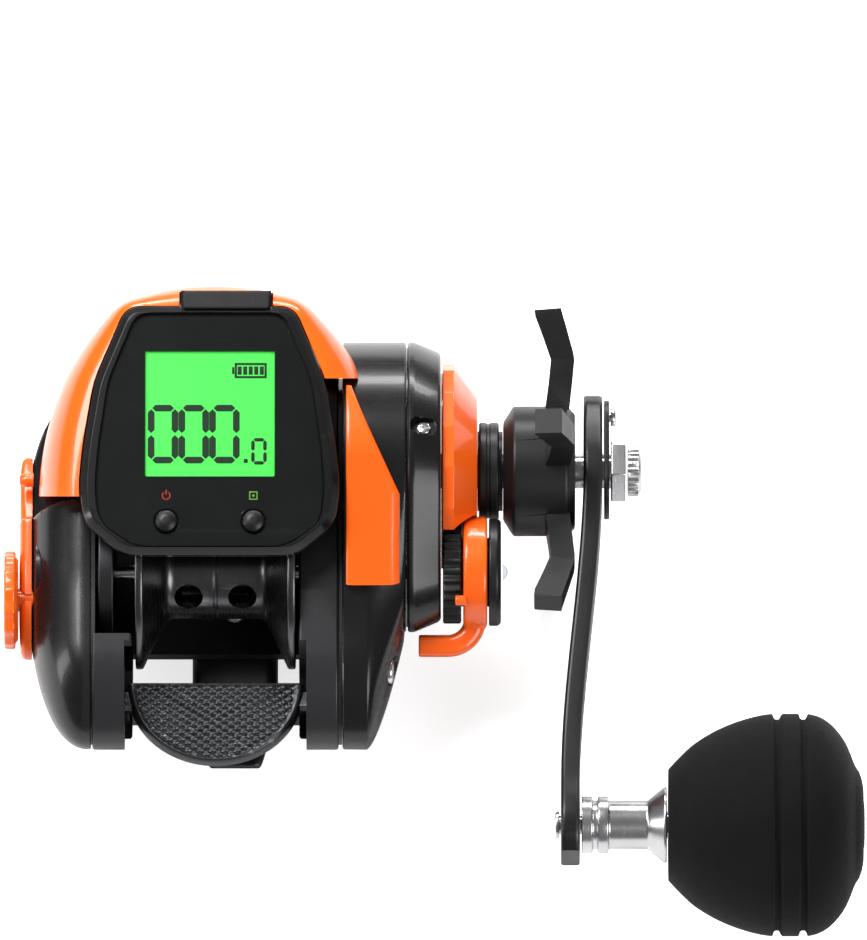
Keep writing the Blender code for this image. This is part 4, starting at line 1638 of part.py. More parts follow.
def knob():
    """Spindle in the crank arm, and the knob that turns on it: ferrule, soft grip and end cap."""
    inner_face = ARM_KNOB_FACE - ARM_THICKNESS - SEAT_GAP
    sleeve_end = GRIP_START + FERRULE_SLEEVE_LENGTH
    turned("knob_spindle", [
        (sleeve_end, 0.0), (sleeve_end, SPINDLE_RADIUS), (inner_face, SPINDLE_RADIUS),
        (inner_face, SPINDLE_HEAD_RADIUS), (inner_face - SPINDLE_HEAD, SPINDLE_HEAD_RADIUS),
        (inner_face - SPINDLE_HEAD, 0.0),
    ], "steel", KNOB_AXIS, SMALL_SIDES)
    rings_end = FERRULE_START + FERRULE_RING_LENGTH
    stem_end = rings_end + FERRULE_STEM_LENGTH
    flare_end = stem_end + FERRULE_FLARE_LENGTH
    groove = (FERRULE_START + rings_end) / 2
    bore = SPINDLE_RADIUS + RUN_GAP
    turned("knob_ferrule", [
        (sleeve_end, FERRULE_SLEEVE_RADIUS), (flare_end, FERRULE_SLEEVE_RADIUS), (flare_end, FERRULE_FLARE_RADIUS),
        (stem_end + FERRULE_GROOVE, FERRULE_STEM_RADIUS + FERRULE_GROOVE), (stem_end, FERRULE_STEM_RADIUS),
        (rings_end, FERRULE_STEM_RADIUS),
        (rings_end, FERRULE_RING_RADIUS), (groove + FERRULE_GROOVE, FERRULE_RING_RADIUS),
        (groove + FERRULE_GROOVE, FERRULE_STEM_RADIUS), (groove - FERRULE_GROOVE, FERRULE_STEM_RADIUS),
        (groove - FERRULE_GROOVE, FERRULE_RING_RADIUS), (FERRULE_START, FERRULE_RING_RADIUS),
        (FERRULE_START, bore), (sleeve_end, bore),
    ], "steel", KNOB_AXIS, closed=True)
    grip_bore = FERRULE_SLEEVE_RADIUS + SEAT_GAP
    outline = []
    for along, across in GRIP_OUTLINE_SHARES:
        outline.append((along * GRIP_LENGTH, across * GRIP_RADIUS))
    profile = smooth_profile(outline)
    cap_bore = KNOB_CAP_RADIUS - KNOB_CAP_LENGTH
    socket = GRIP_LENGTH - KNOB_CAP_PLUG
    turned("knob_grip", [
        (GRIP_START + along, radius) for along, radius in profile[::-1]
    ] + [
        (GRIP_START, grip_bore), (GRIP_START + socket - SEAT_GAP, grip_bore),
        (GRIP_START + socket - SEAT_GAP, cap_bore + SEAT_GAP), (GRIP_START + GRIP_LENGTH, cap_bore + SEAT_GAP),
    ], "foam", KNOB_AXIS, FINE_SIDES, closed=True)
    cap_start = GRIP_START + GRIP_LENGTH + SEAT_GAP
    cap_end = cap_start + KNOB_CAP_LENGTH
    turned("knob_cap", [
        (cap_end, 0.0), (cap_end, KNOB_CAP_RADIUS - KNOB_CAP_LENGTH),
        (cap_start + KNOB_CAP_LENGTH / 3, KNOB_CAP_RADIUS),
        (cap_start, KNOB_CAP_RADIUS), (cap_start, cap_bore), (GRIP_START + socket, cap_bore),
        (GRIP_START + socket, 0.0),
    ], "foam", KNOB_AXIS)


def smooth_profile(outline):
    """The grip's outline with its two sunk grooves."""
    stations = np.array([point[0] for point in outline])
    radii = np.array([point[1] for point in outline])
    places = sorted({*stations, *[
        share * GRIP_LENGTH + offset
        for pair in GRIP_GROOVE_SHARES for share, offset in (
            (pair[0], 0.0), (pair[0], GRIP_GROOVE_SLOPE), (pair[1], -GRIP_GROOVE_SLOPE), (pair[1], 0.0),
        )
    ]})
    profile = []
    for place_along in places:
        radius = float(np.interp(place_along, stations, radii))
        for start, end in GRIP_GROOVE_SHARES:
            if start * GRIP_LENGTH < place_along < end * GRIP_LENGTH:
                radius -= GRIP_GROOVE_DEPTH
        profile.append((float(place_along), radius))
    return profile


def main():
    """Build every piece of the reel."""
    main_frame()
    foot()
    palm_side()
    brake_dial()
    side_shell = handle_side()
    side_screw("handle_side_screw", SCREW_FACE, -SCREW_REACH, 0.0, 1, side_shell)
    side_trim()
    gear_housing()
    nose_cover()
    display()
    thumb_bar()
    spool()
    gear_train()
    clutch_yoke()
    level_wind()
    drag()
    tension()
    crank()
    knob()


main()
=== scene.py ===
"""Finish and fine shape of a digital baitcasting reel.

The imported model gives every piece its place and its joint. This script lays a finely shaped piece
over each one that shows, gives all of them their materials, and sets a pale studio round them.
Lengths are in millimetres until a mesh is made. A side view is drawn in Y and Z about the spool axis.
"""

from __future__ import annotations

import logging
from dataclasses import dataclass, field
from enum import Enum
from math import acos, atan2, cos, hypot, pi, radians, sin, tan, tau
from typing import Callable, Iterable, Optional, Sequence

import bmesh
import bpy
import numpy as np
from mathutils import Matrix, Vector
from mathutils.geometry import tessellate_polygon


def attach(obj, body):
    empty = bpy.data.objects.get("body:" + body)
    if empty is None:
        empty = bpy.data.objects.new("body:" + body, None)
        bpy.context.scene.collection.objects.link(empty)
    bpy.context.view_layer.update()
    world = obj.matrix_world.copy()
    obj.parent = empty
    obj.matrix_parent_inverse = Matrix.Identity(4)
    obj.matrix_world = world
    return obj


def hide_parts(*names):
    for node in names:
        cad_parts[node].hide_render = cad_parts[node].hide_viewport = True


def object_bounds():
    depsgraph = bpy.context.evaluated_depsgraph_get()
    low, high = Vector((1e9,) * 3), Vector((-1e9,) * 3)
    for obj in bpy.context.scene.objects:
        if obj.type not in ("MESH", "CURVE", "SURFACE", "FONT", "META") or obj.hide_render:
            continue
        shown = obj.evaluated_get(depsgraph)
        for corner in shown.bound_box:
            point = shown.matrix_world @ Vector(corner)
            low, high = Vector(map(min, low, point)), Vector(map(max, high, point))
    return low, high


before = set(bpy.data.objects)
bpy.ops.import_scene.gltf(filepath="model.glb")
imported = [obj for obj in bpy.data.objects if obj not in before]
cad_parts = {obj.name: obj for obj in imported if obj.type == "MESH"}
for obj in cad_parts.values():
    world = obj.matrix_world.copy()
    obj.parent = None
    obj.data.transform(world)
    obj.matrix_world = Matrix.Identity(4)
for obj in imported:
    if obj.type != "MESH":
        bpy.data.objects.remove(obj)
CAD_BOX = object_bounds()

logging.basicConfig(level=logging.INFO, format="%(message)s")
LOG = logging.getLogger("reel")

METRES = 0.001         # metres in a millimetre
MERGE = 1e-6           # points nearer than this become one, in metres
TINY = 1e-9            # least length that is divided by
SIDE_FILL = 16         # points on each side of an outline that is walked
SHARP = radians(35)    # least angle of a crease

Ring = np.ndarray
Corner = Sequence[float]               # along, across and, unless it is sharp, rounding
Profile = Sequence[Corner]
Bore = tuple[float, float, float]      # start, end, radius
Ends = tuple[float, float, float]      # start, end, rounding
Point = tuple[float, float, float]
Box = tuple[Point, Point]
Boxes = Sequence[Box]
Pair = tuple[float, float]
Pairs = Sequence[Pair]
Rod = tuple[float, float, float, float]    # start, end, radius, rounding
Flutes = tuple[float, float, int, float, int]    # radius, depth, count, sharpness, steps


# Shaders


def operator(operation: str, swapped: bool = False) -> Callable[["Value", object], "Value"]:
    """A method of arithmetic that adds one Math node.

    Args:
        operation: Blender's name of the operation.
        swapped: Whether the value is the second operand, as in 1 - value.

    Returns:
        The method.
    """

    def method(self: "Value", other: object) -> "Value":
        """The result as a value of its own."""
        first, second = (other, self) if swapped else (self, other)
        return self.graph.node("ShaderNodeMath", {"operation": operation}, {0: first, 1: second})

    return method


class Value:
    """A socket of a material's node tree that takes plain arithmetic."""

    __add__, __radd__ = operator("ADD"), operator("ADD", True)
    __sub__, __rsub__ = operator("SUBTRACT"), operator("SUBTRACT", True)
    __mul__, __rmul__ = operator("MULTIPLY"), operator("MULTIPLY", True)
    __pow__ = operator("POWER")

    def __init__(self, graph: "Graph", socket: bpy.types.NodeSocket) -> None:
        """Keep the graph and the output socket."""
        self.graph = graph
        self.socket = socket

    def ramp(self, low: float, high: float) -> "Value":
        """Smooth step from 0 at low to 1 at high."""
        inputs = {"Value": self, "From Min": low, "From Max": high}
        return self.graph.node("ShaderNodeMapRange", {"interpolation_type": "SMOOTHSTEP"}, inputs)


class Graph:
    """Node tree of a material or a world."""

    def __init__(self, name: str, kind: str = "materials") -> None:
        """Start an empty tree.

        Args:
            name: Name of the material or world.
            kind: Blender's list that it goes into.
        """
        self.owner = getattr(bpy.data, kind).new(name)
        self.owner.use_nodes = True
        self.tree = self.owner.node_tree
        self.tree.nodes.clear()

    def node(self, kind: str, settings: Optional[dict] = None, inputs: Optional[dict] = None,
             output: object = 0) -> Value:
        """Add a node.

        Args:
            kind: Blender's name of the node type.
            settings: Properties that are set first, because they can change the sockets.
            inputs: Socket name or number to a Value, which is linked, or to a constant.
            output: Name or number of the output socket.

        Returns:
            The output as a Value.
        """
        made = self.tree.nodes.new(kind)
        for key, value in (settings or {}).items():
            setattr(made, key, value)
        for key, value in (inputs or {}).items():
            if isinstance(value, Value):
                self.tree.links.new(value.socket, made.inputs[key])
            else:
                made.inputs[key].default_value = value
        return Value(self, made.outputs[output] if made.outputs else None)

    def place(self, scale: Sequence[float] = (1.0, 1.0, 1.0)) -> Value:
        """Object coordinates in millimetres, stretched by a scale for each axis."""
        inputs = {0: self.node("ShaderNodeTexCoord", output="Object"), 1: [part / METRES for part in scale]}
        return self.node("ShaderNodeVectorMath", {"operation": "MULTIPLY"}, inputs)

    def noise(self, size: float, detail: float = 2.0, scale: Sequence[float] = (1.0, 1.0, 1.0)) -> Value:
        """Noise from 0 to 1 whose features are about size millimetres across."""
        inputs = {"Vector": self.place(scale), "Scale": 1.0 / size, "Detail": detail}
        return self.node("ShaderNodeTexNoise", None, inputs, "Fac")

    def mix(self, factor: object, first: object, second: object) -> Value:
        """Blend of two colours."""
        return self.node("ShaderNodeMix", {"data_type": "RGBA"}, {0: factor, 6: first, 7: second}, 2)

    def bump(self, height: Value, depth: float, strength: float = 1.0,
             under: Optional[Value] = None) -> Value:
        """Normal of a relief.

        Args:
            height: The relief, from 0 to 1.
            depth: How tall it is, in millimetres.
            strength: Share of it that shows.
            under: Normal of a coarser relief that it lies on.

        Returns:
            The normal.
        """
        inputs = {"Height": height, "Distance": depth * METRES, "Strength": strength}
        if under is not None:
            inputs["Normal"] = under
        return self.node("ShaderNodeBump", None, inputs)

    def edges(self) -> Value:
        """Share from 0 on flats and hollows to 1 on worn outer edges."""
        return self.node("ShaderNodeNewGeometry", output="Pointiness").ramp(0.52, 0.6)

    def surface(self, inputs: dict) -> bpy.types.Material:
        """Close the tree with a Principled shader and return the material."""
        return self.close(self.node("ShaderNodeBsdfPrincipled", None, inputs))

    def close(self, shader: Value) -> bpy.types.Material:
        """Join a shader to the material's output."""
        self.node("ShaderNodeOutputMaterial", None, {"Surface": shader})
        return self.owner


def grey(level: float) -> tuple[float, float, float, float]:
    """A neutral colour."""
    return (level, level, level, 1.0)


def shade(colour: Sequence[float], factor: float) -> tuple[float, float, float, float]:
    """A colour made lighter or darker by a factor."""
    return (*(min(1.0, part * factor) for part in colour[:3]), 1.0)


@dataclass(frozen=True)
class Finish:
    """What every finish has: the name of its material slot."""

    slot: str

    def material(self) -> bpy.types.Material:
        """The finish's material, made once."""
        found = bpy.data.materials.get(self.name())
        return found or self.build(Graph(self.name()))

    def name(self) -> str:
        """Name of the material."""
        return getattr(self, "title", "") or f"finish_{self.slot}"

    def build(self, graph: Graph) -> bpy.types.Material:
        """Make the node tree.

        Args:
            graph: The material's empty graph.

        Returns:
            The material.
        """
        raise NotImplementedError


@dataclass(frozen=True)
class Moulded(Finish):
    """Moulded or lacquered plastic: a faint flow mottle, a fine skin, handling marks and paler edges."""

    colour: tuple[float, float, float]
    roughness: float
    grain: float = 0.4
    grain_depth: float = 0.004
    coat: float = 0.0
    wear: float = 1.6
    mottle: float = 0.12
    title: str = ""
    specular: float = 0.34

    def build(self, graph: Graph) -> bpy.types.Material:
        """Make the node tree.

        Args:
            graph: The material's empty graph.

        Returns:
            The material.
        """
        flow = graph.noise(14.0, 3.0, (1.0, 0.6, 1.0))
        handled = graph.noise(5.0, 4.0)
        skin = graph.noise(self.grain, 2.0)
        scratches = graph.noise(0.5, 2.0, (0.05, 1.0, 1.0)).ramp(0.62, 0.75)
        toned = graph.mix(flow, shade(self.colour, 1.0 - self.mottle), shade(self.colour, 1.0 + self.mottle))
        base = graph.mix(graph.edges() * 0.5, toned, shade(self.colour, self.wear))
        rough = self.roughness * (0.85 + handled * 0.3) + scratches * 0.03
        wave = graph.bump(graph.noise(3.5, 1.0), 0.02, 0.25)
        return graph.surface({
            "Base Color": base, "Roughness": rough, "Coat Weight": self.coat, "Coat Roughness": 0.06,
            "Specular IOR Level": self.specular,
            "Normal": graph.bump(skin, self.grain_depth, 0.6, wave),
        })


@dataclass(frozen=True)
class Metal(Finish):
    """Machined or brushed metal: tool lines, a soft tarnish and bright worn edges."""

    colour: tuple[float, float, float]
    roughness: float
    lines: tuple[float, float, float] = (1.0, 0.04, 0.04)
    pitch: float = 0.12
    metallic: float = 1.0
    wear: float = 2.0
    title: str = ""

    def build(self, graph: Graph) -> bpy.types.Material:
        """Make the node tree.

        Args:
            graph: The material's empty graph.

        Returns:
            The material.
        """
        tooling = graph.noise(self.pitch, 3.0, self.lines)
        tarnish = graph.noise(6.0, 4.0)
        flake = graph.noise(0.08, 1.0)
        toned = graph.mix(tarnish, shade(self.colour, 0.82), shade(self.colour, 1.15))
        base = graph.mix(graph.edges() * 0.7, toned, shade(self.colour, self.wear))
        rough = self.roughness * (0.7 + tooling * 0.6) + tarnish * 0.06 + flake * 0.03
        return graph.surface({
            "Base Color": base, "Metallic": self.metallic, "Roughness": rough,
            "Normal": graph.bump(tooling, 0.004, 0.5),
        })


@dataclass(frozen=True)
class Foam(Finish):
    """Closed-cell grip foam: soft, matt, pitted with fine pores."""

    colour: tuple[float, float, float]

    def build(self, graph: Graph) -> bpy.types.Material:
        """Make the node tree.

        Args:
            graph: The material's empty graph.

        Returns:
            The material.
        """
        cells = graph.node(
            "ShaderNodeTexVoronoi", {"feature": "F1"}, {"Vector": graph.place(), "Scale": 1.6}, "Distance",
        ).ramp(0.05, 0.6)
        dust = graph.noise(7.0, 5.0)
        pores = graph.noise(0.35, 3.0)
        base = graph.mix(dust * pores, shade(self.colour, 0.5), shade(self.colour, 2.4))
        lumps = graph.bump(graph.noise(2.2, 3.0), 0.12, 0.5)
        return graph.surface({
            "Base Color": base, "Roughness": 0.78 + pores * 0.2, "Sheen Weight": 0.03, "Sheen Roughness": 0.5,
            "Specular IOR Level": 0.16, "Normal": graph.bump(cells * 0.6 + pores * 0.4, 0.05, 0.8, lumps),
        })


@dataclass(frozen=True)
class Weave(Finish):
    """Twill of carbon fibre, pressed flat."""

    colour: tuple[float, float, float]
    tow: float = 1.2

    def build(self, graph: Graph) -> bpy.types.Material:
        """Make the node tree.

        Args:
            graph: The material's empty graph.

        Returns:
            The material.
        """
        checks = graph.node(
            "ShaderNodeTexChecker", None,
            {"Vector": graph.place(), "Color1": grey(0.0), "Color2": grey(1.0), "Scale": 1.0 / self.tow},
            "Fac",
        )
        fibres = graph.noise(0.1, 2.0, (1.0, 0.1, 1.0))
        base = graph.mix(checks * fibres, shade(self.colour, 0.5), shade(self.colour, 2.2))
        return graph.surface({
            "Base Color": base, "Roughness": 0.35 + fibres * 0.25, "Normal": graph.bump(checks, 0.02, 0.5),
        })


@dataclass(frozen=True)
class Board(Finish):
    """Circuit board: lacquer over copper tracks and pads."""

    colour: tuple[float, float, float]

    def build(self, graph: Graph) -> bpy.types.Material:
        """Make the node tree.

        Args:
            graph: The material's empty graph.

        Returns:
            The material.
        """
        tracks = graph.node(
            "ShaderNodeTexBrick", None,
            {"Vector": graph.place(), "Scale": 0.7, "Mortar Size": 0.06, "Color1": grey(0.0),
             "Color2": grey(0.0), "Mortar": grey(1.0)}, "Fac",
        )
        pads = graph.node(
            "ShaderNodeTexVoronoi", None, {"Vector": graph.place(), "Scale": 0.5}, "Distance",
        ).ramp(0.24, 0.2)
        lacquer = graph.mix(tracks * 0.5, shade(self.colour, 0.8), shade(self.colour, 1.9))
        base = graph.mix(pads, lacquer, (0.75, 0.55, 0.25, 1.0))
        return graph.surface({
            "Base Color": base, "Metallic": pads, "Roughness": 0.4 - tracks * 0.1,
            "Normal": graph.bump(tracks + pads, 0.03, 0.5),
        })


@dataclass(frozen=True)
class Clear(Finish):
    """Clear glossy window: reflects more at a glance and lets the rest through, a little smudged."""

    tint: tuple[float, float, float]
    roughness: float = 0.04
    title: str = ""

    def build(self, graph: Graph) -> bpy.types.Material:
        """Make the node tree.

        Args:
            graph: The material's empty graph.

        Returns:
            The material.
        """
        smudge = graph.noise(9.0, 4.0).ramp(0.45, 0.8)
        gloss = graph.node(
            "ShaderNodeBsdfPrincipled", None,
            {"Base Color": grey(0.02), "Roughness": self.roughness + smudge * 0.05, "Specular IOR Level": 0.5,
             "Normal": graph.bump(graph.noise(6.0, 1.0), 0.01, 0.2)},
        )
        through = graph.node("ShaderNodeBsdfTransparent", None, {"Color": (*self.tint, 1.0)})
        aslant = graph.node("ShaderNodeLayerWeight", None, {"Blend": 0.5}, "Facing")
        share = aslant ** 5 * 0.94 + 0.05
        return graph.close(graph.node("ShaderNodeMixShader", None, {0: share, 1: through, 2: gloss}))


@dataclass(frozen=True)
class Backlit(Finish):
    """Liquid crystal panel: an even glow, a little brighter toward one side, with a faint pixel haze."""

    colour: tuple[float, float, float]
    glow: float

    def build(self, graph: Graph) -> bpy.types.Material:
        """Make the node tree.

        Args:
            graph: The material's empty graph.

        Returns:
            The material.
        """
        spread = graph.noise(22.0, 1.0)
        haze = graph.noise(0.25, 1.0)
        lit = graph.mix(spread, shade(self.colour, 0.92), shade(self.colour, 1.1))
        tone = graph.mix(haze * 0.12, lit, shade(self.colour, 0.7))
        return graph.surface({
            "Base Color": tone, "Roughness": 0.35 + haze * 0.1, "Emission Color": tone,
            "Emission Strength": self.glow, "Normal": graph.bump(haze, 0.002, 0.3),
        })


class Kit(Enum):
    """The finishes of the reel."""

    ORANGE = Moulded("orange", (0.93, 0.115, 0.004), 0.3, 0.5, 0.003, 0.5, 1.25, 0.05)
    BLACK = Moulded("black_gloss", (0.0055, 0.0055, 0.006), 0.27, 0.22, 0.006, 0.15, 3.0, 0.2)
    BEZEL = Moulded("black_gloss", (0.0045, 0.0045, 0.005), 0.22, 0.3, 0.004, 0.3, 3.0, 0.2, "bezel_black")
    SATIN = Moulded("black_satin", (0.006, 0.006, 0.0065), 0.38, 0.2, 0.012, 0.0, 3.0, 0.2)
    RUBBER = Moulded("rubber", (0.008, 0.008, 0.008), 0.6, 0.16, 0.02, 0.0, 2.0, 0.25)
    YOKE = Moulded("yoke_plastic", (0.8, 0.25, 0.02), 0.38, 0.3, 0.008)
    CERAMIC = Moulded("ceramic", (0.78, 0.77, 0.72), 0.14, 0.2, 0.002, 0.4, 1.05, 0.04)
    GRAPHITE = Metal("graphite_metal", (0.009, 0.009, 0.0098), 0.3, (1.0, 0.3, 0.3), 0.16, 0.3, 3.5)
    THUMB = Metal("graphite_metal", (0.045, 0.046, 0.05), 0.3, (1.0, 1.0, 1.0), 0.2, 0.85, 3.0, "thumb_metal")
    TURNED = Metal("spool_metal", (0.115, 0.115, 0.12), 0.24, (1.0, 0.03, 0.03), 0.14, 1.0, 2.0)
    STEEL = Metal("steel", (0.6, 0.6, 0.61), 0.2, (1.0, 0.04, 0.04), 0.1)
    FOOT = Metal("dark_steel", (0.06, 0.06, 0.063), 0.35, (1.0, 0.08, 1.0), 0.14)
    BRASS = Metal("brass", (0.72, 0.47, 0.17), 0.24, (1.0, 0.05, 0.05), 0.12, 1.0, 1.4)
    FOAM = Foam("foam", (0.0035, 0.0035, 0.0036))
    CARBON = Weave("carbon", (0.02, 0.02, 0.022))
    BOARD = Board("board_green", (0.01, 0.13, 0.04))
    LENS = Clear("lens", (0.97, 0.985, 0.98))
    CAP = Clear("clear_tint", (0.8, 0.86, 0.9), 0.08)
    LCD = Backlit("lcd_green", (0.055, 0.64, 0.07), 0.68)
    SEGMENT = Moulded("lcd_green", (0.003, 0.02, 0.006), 0.5, 0.2, 0.001, 0.0, 1.2, 0.2, "lcd_segment")
    RED_PRINT = Moulded("black_gloss", (0.35, 0.012, 0.015), 0.5, 0.2, 0.002, 0.0, 1.2, 0.2, "print_red")
    GREEN_PRINT = Moulded("black_gloss", (0.12, 0.3, 0.03), 0.5, 0.2, 0.002, 0.0, 1.2, 0.2, "print_green")


# Shapes


@dataclass(frozen=True)
class Place:
    """A local frame in the world: right, up and out are its three axes."""

    origin: Point
    right: Point
    up: Point
    out: Point

    def world(self, points: np.ndarray) -> np.ndarray:
        """Points of the frame as points of the world."""
        return np.asarray(points, float) @ np.array([self.right, self.up, self.out]) + np.array(self.origin)

    def at(self, right: float = 0.0, up: float = 0.0, out: float = 0.0) -> "Place":
        """The same frame about another of its points."""
        return Place(tuple(self.world([right, up, out])), self.right, self.up, self.out)

    def turn(self, angle: float) -> "Place":
        """The same frame turned about its out axis.

        Args:
            angle: How far, in radians.

        Returns:
            The turned frame.
        """
        right, up = np.array(self.right), np.array(self.up)
        c, s = cos(angle), sin(angle)
        return Place(self.origin, tuple(right * c + up * s), tuple(up * c - right * s), self.out)


Drills = Sequence[tuple[Bore, Place, int]]    # the bore, its frame, points round it


def leaning(origin: Point, angle: float) -> Place:
    """An upright frame at an origin, tipped back about X by an angle in radians."""
    c, s = cos(angle), sin(angle)
    return Place(origin, (1.0, 0.0, 0.0), (0.0, c, s), (0.0, -s, c))


# Axes and angles that several assemblies share; reaches are from the spool axis toward the nose
AXIS_HEIGHT = 23.5
DRIVE_REACH = 19.5
ARM_REACH = 68.0
WORM_REACH = 27.5
WORM_DROP = 2.5
ROD_DROP = 8.2
EYE_RISE = 7.1
FACE_X, FACE_REAR, FACE_RISE = -0.9, -5.7, 20.0
FACE_THICKNESS = 9.0
TILT = radians(15)
LEAN = radians(25)
AXIS = (0.0, 0.0, AXIS_HEIGHT)
SIDE = Place(AXIS, (0.0, 1.0, 0.0), (0.0, 0.0, 1.0), (1.0, 0.0, 0.0))
DRIVE = SIDE.at(DRIVE_REACH)
WORM = SIDE.at(WORM_REACH, -WORM_DROP)
ROD = WORM.at(0, -ROD_DROP)
KNOB = SIDE.at(DRIVE_REACH - ARM_REACH)
FLAT = leaning(AXIS, 0.0)
SEAM = leaning(AXIS, LEAN)
FACE = leaning((FACE_X, FACE_REAR, AXIS_HEIGHT + FACE_RISE), TILT)
AHEAD = Place(AXIS, (1.0, 0.0, 0.0), (0.0, 0.0, 1.0), (0.0, -1.0, 0.0))
EYE = Place((0.0, WORM_REACH, AXIS_HEIGHT + EYE_RISE), (0.0, 0.0, 1.0), (1.0, 0.0, 0.0), (0.0, 1.0, 0.0))


def spline(points: Sequence[Sequence[float]], count: int) -> np.ndarray:
    """Smooth curve: each stretch is a cubic whose slope at a point is that of its two neighbours.

    Args:
        points: What the curve passes through.
        count: How many points it gets.

    Returns:
        The curve's points.
    """
    spots = np.asarray(points, float)
    padded = np.vstack([2 * spots[0] - spots[1], spots, 2 * spots[-1] - spots[-2]])
    along = np.linspace(0.0, len(spots) - 1.0, count)
    index = np.minimum(along.astype(int), len(spots) - 2)
    u = (along - index)[:, None]
    a, b, c, d = (padded[index + shift] for shift in range(4))
    square, cube = 2 * a - 5 * b + 4 * c - d, 3 * b - a - 3 * c + d
    return 0.5 * (2 * b + (c - a) * u + square * u ** 2 + cube * u ** 3)


def rounded(corners: Sequence[Corner], steps: int = 8, closed: bool = True) -> Ring:
    """Outline through corners, each rounded by a parabola over its reach.

    Args:
        corners: Corner points (a, b, reach); a sharp one may leave its reach out.
        steps: Straight pieces in each rounding.
        closed: Whether the last corner joins the first.

    Returns:
        The outline's points.
    """
    spots = np.array([corner[:2] for corner in corners], float)
    outline: list[np.ndarray] = []
    for index, corner in enumerate(corners):
        here = spots[index]
        back = spots[index - 1] - here
        ahead = spots[(index + 1) % len(spots)] - here
        ends = not closed and index in (0, len(spots) - 1)
        reach = min(*corner[2:] or (0.0,), 0.48 * np.linalg.norm(back), 0.48 * np.linalg.norm(ahead))
        if reach <= 0 or ends:
            outline.append(here)
            continue
        start = here + back / np.linalg.norm(back) * reach
        end = here + ahead / np.linalg.norm(ahead) * reach
        t = np.linspace(0.0, 1.0, steps + 1)[:, None]
        outline.extend((1 - t) ** 2 * start + 2 * t * (1 - t) * here + t ** 2 * end)
    return np.array(outline)


def circle(radius: float, sides: int = 64, centre: Sequence[float] = (0.0, 0.0)) -> Ring:
    """Points of a circle."""
    turn = np.arange(sides) * tau / sides
    return np.column_stack([centre[0] + radius * np.cos(turn), centre[1] + radius * np.sin(turn)])


def fluted(radius: float, depth: float, count: int, sharpness: float = 1.0, steps: int = 10) -> Ring:
    """Outline of a ribbed wheel: the radius dips between ribs as a raised cosine.

    Args:
        radius: Radius over the ribs.
        depth: How far it dips.
        count: Number of ribs.
        sharpness: Power of the cosine; below 1 the ribs are narrow.
        steps: Points for each rib.

    Returns:
        The outline's points.
    """
    turn = np.arange(count * steps) * tau / (count * steps)
    dip = (0.5 - 0.5 * np.cos(turn * count)) ** sharpness
    reach = radius - depth * dip
    return np.column_stack([reach * np.cos(turn), reach * np.sin(turn)])


def around(outline: Ring, centre: Sequence[float], count: int = 180) -> Ring:
    """An outline walked at even angles, by interpolating its radius over its angle.

    Args:
        outline: The outline.
        centre: A point that sees all of it.
        count: Points in the result.

    Returns:
        The same outline with its points at even angles about the centre.
    """
    outline = np.asarray(outline)
    shares = np.linspace(0.0, 1.0, SIDE_FILL, endpoint=False)[None, :, None]
    following = np.roll(outline, -1, axis=0)
    dense = (outline[:, None] * (1 - shares) + following[:, None] * shares).reshape(-1, 2) - centre
    angles = np.arctan2(dense[:, 1], dense[:, 0]) % tau
    order = np.argsort(angles)
    turn = np.arange(count) * tau / count
    reach = np.interp(turn, angles[order], np.hypot(dense[:, 0], dense[:, 1])[order], period=tau)
    return np.column_stack([centre[0] + reach * np.cos(turn), centre[1] + reach * np.sin(turn)])


def inset(ring: Ring, centre: Sequence[float], amount: float) -> Ring:
    """A ring drawn in toward a centre by a length."""
    offsets = np.asarray(ring) - centre
    return centre + offsets * (1 - amount / np.linalg.norm(offsets, axis=1, keepdims=True))


def offset(outline: Ring, amount: float) -> Ring:
    """An outline moved inward along its corners' bisectors.

    Args:
        outline: A counter-clockwise outline.
        amount: How far its sides move.

    Returns:
        The outline, with as many points.
    """
    before = outline - np.roll(outline, 1, axis=0)
    after = np.roll(outline, -1, axis=0) - outline
    before = before / np.maximum(np.linalg.norm(before, axis=1, keepdims=True), TINY)
    after = after / np.maximum(np.linalg.norm(after, axis=1, keepdims=True), TINY)
    normal_before = np.column_stack([-before[:, 1], before[:, 0]])
    normal_after = np.column_stack([-after[:, 1], after[:, 0]])
    middle = normal_before + normal_after
    length = np.maximum(np.sum(middle * normal_before, axis=1, keepdims=True), 0.5)
    return outline + middle / length * amount


def area(outline: Ring) -> float:
    """Signed area, positive for a counter-clockwise outline."""
    following = np.roll(outline, -1, axis=0)
    return float(np.sum(outline[:, 0] * following[:, 1] - following[:, 0] * outline[:, 1]) / 2)


def lift(ring: Ring, station: float) -> np.ndarray:
    """A flat ring as points at one height of its frame."""
    return np.column_stack([np.asarray(ring), np.full(len(ring), station)])


ROUND_EDGE = tuple((1 - sin(t), 1 - cos(t)) for t in np.linspace(0.0, pi / 2, 5))
CHAMFER_EDGE = ((1.0, 0.0), (0.9, 0.015), (0.06, 0.9), (0.0, 1.0))


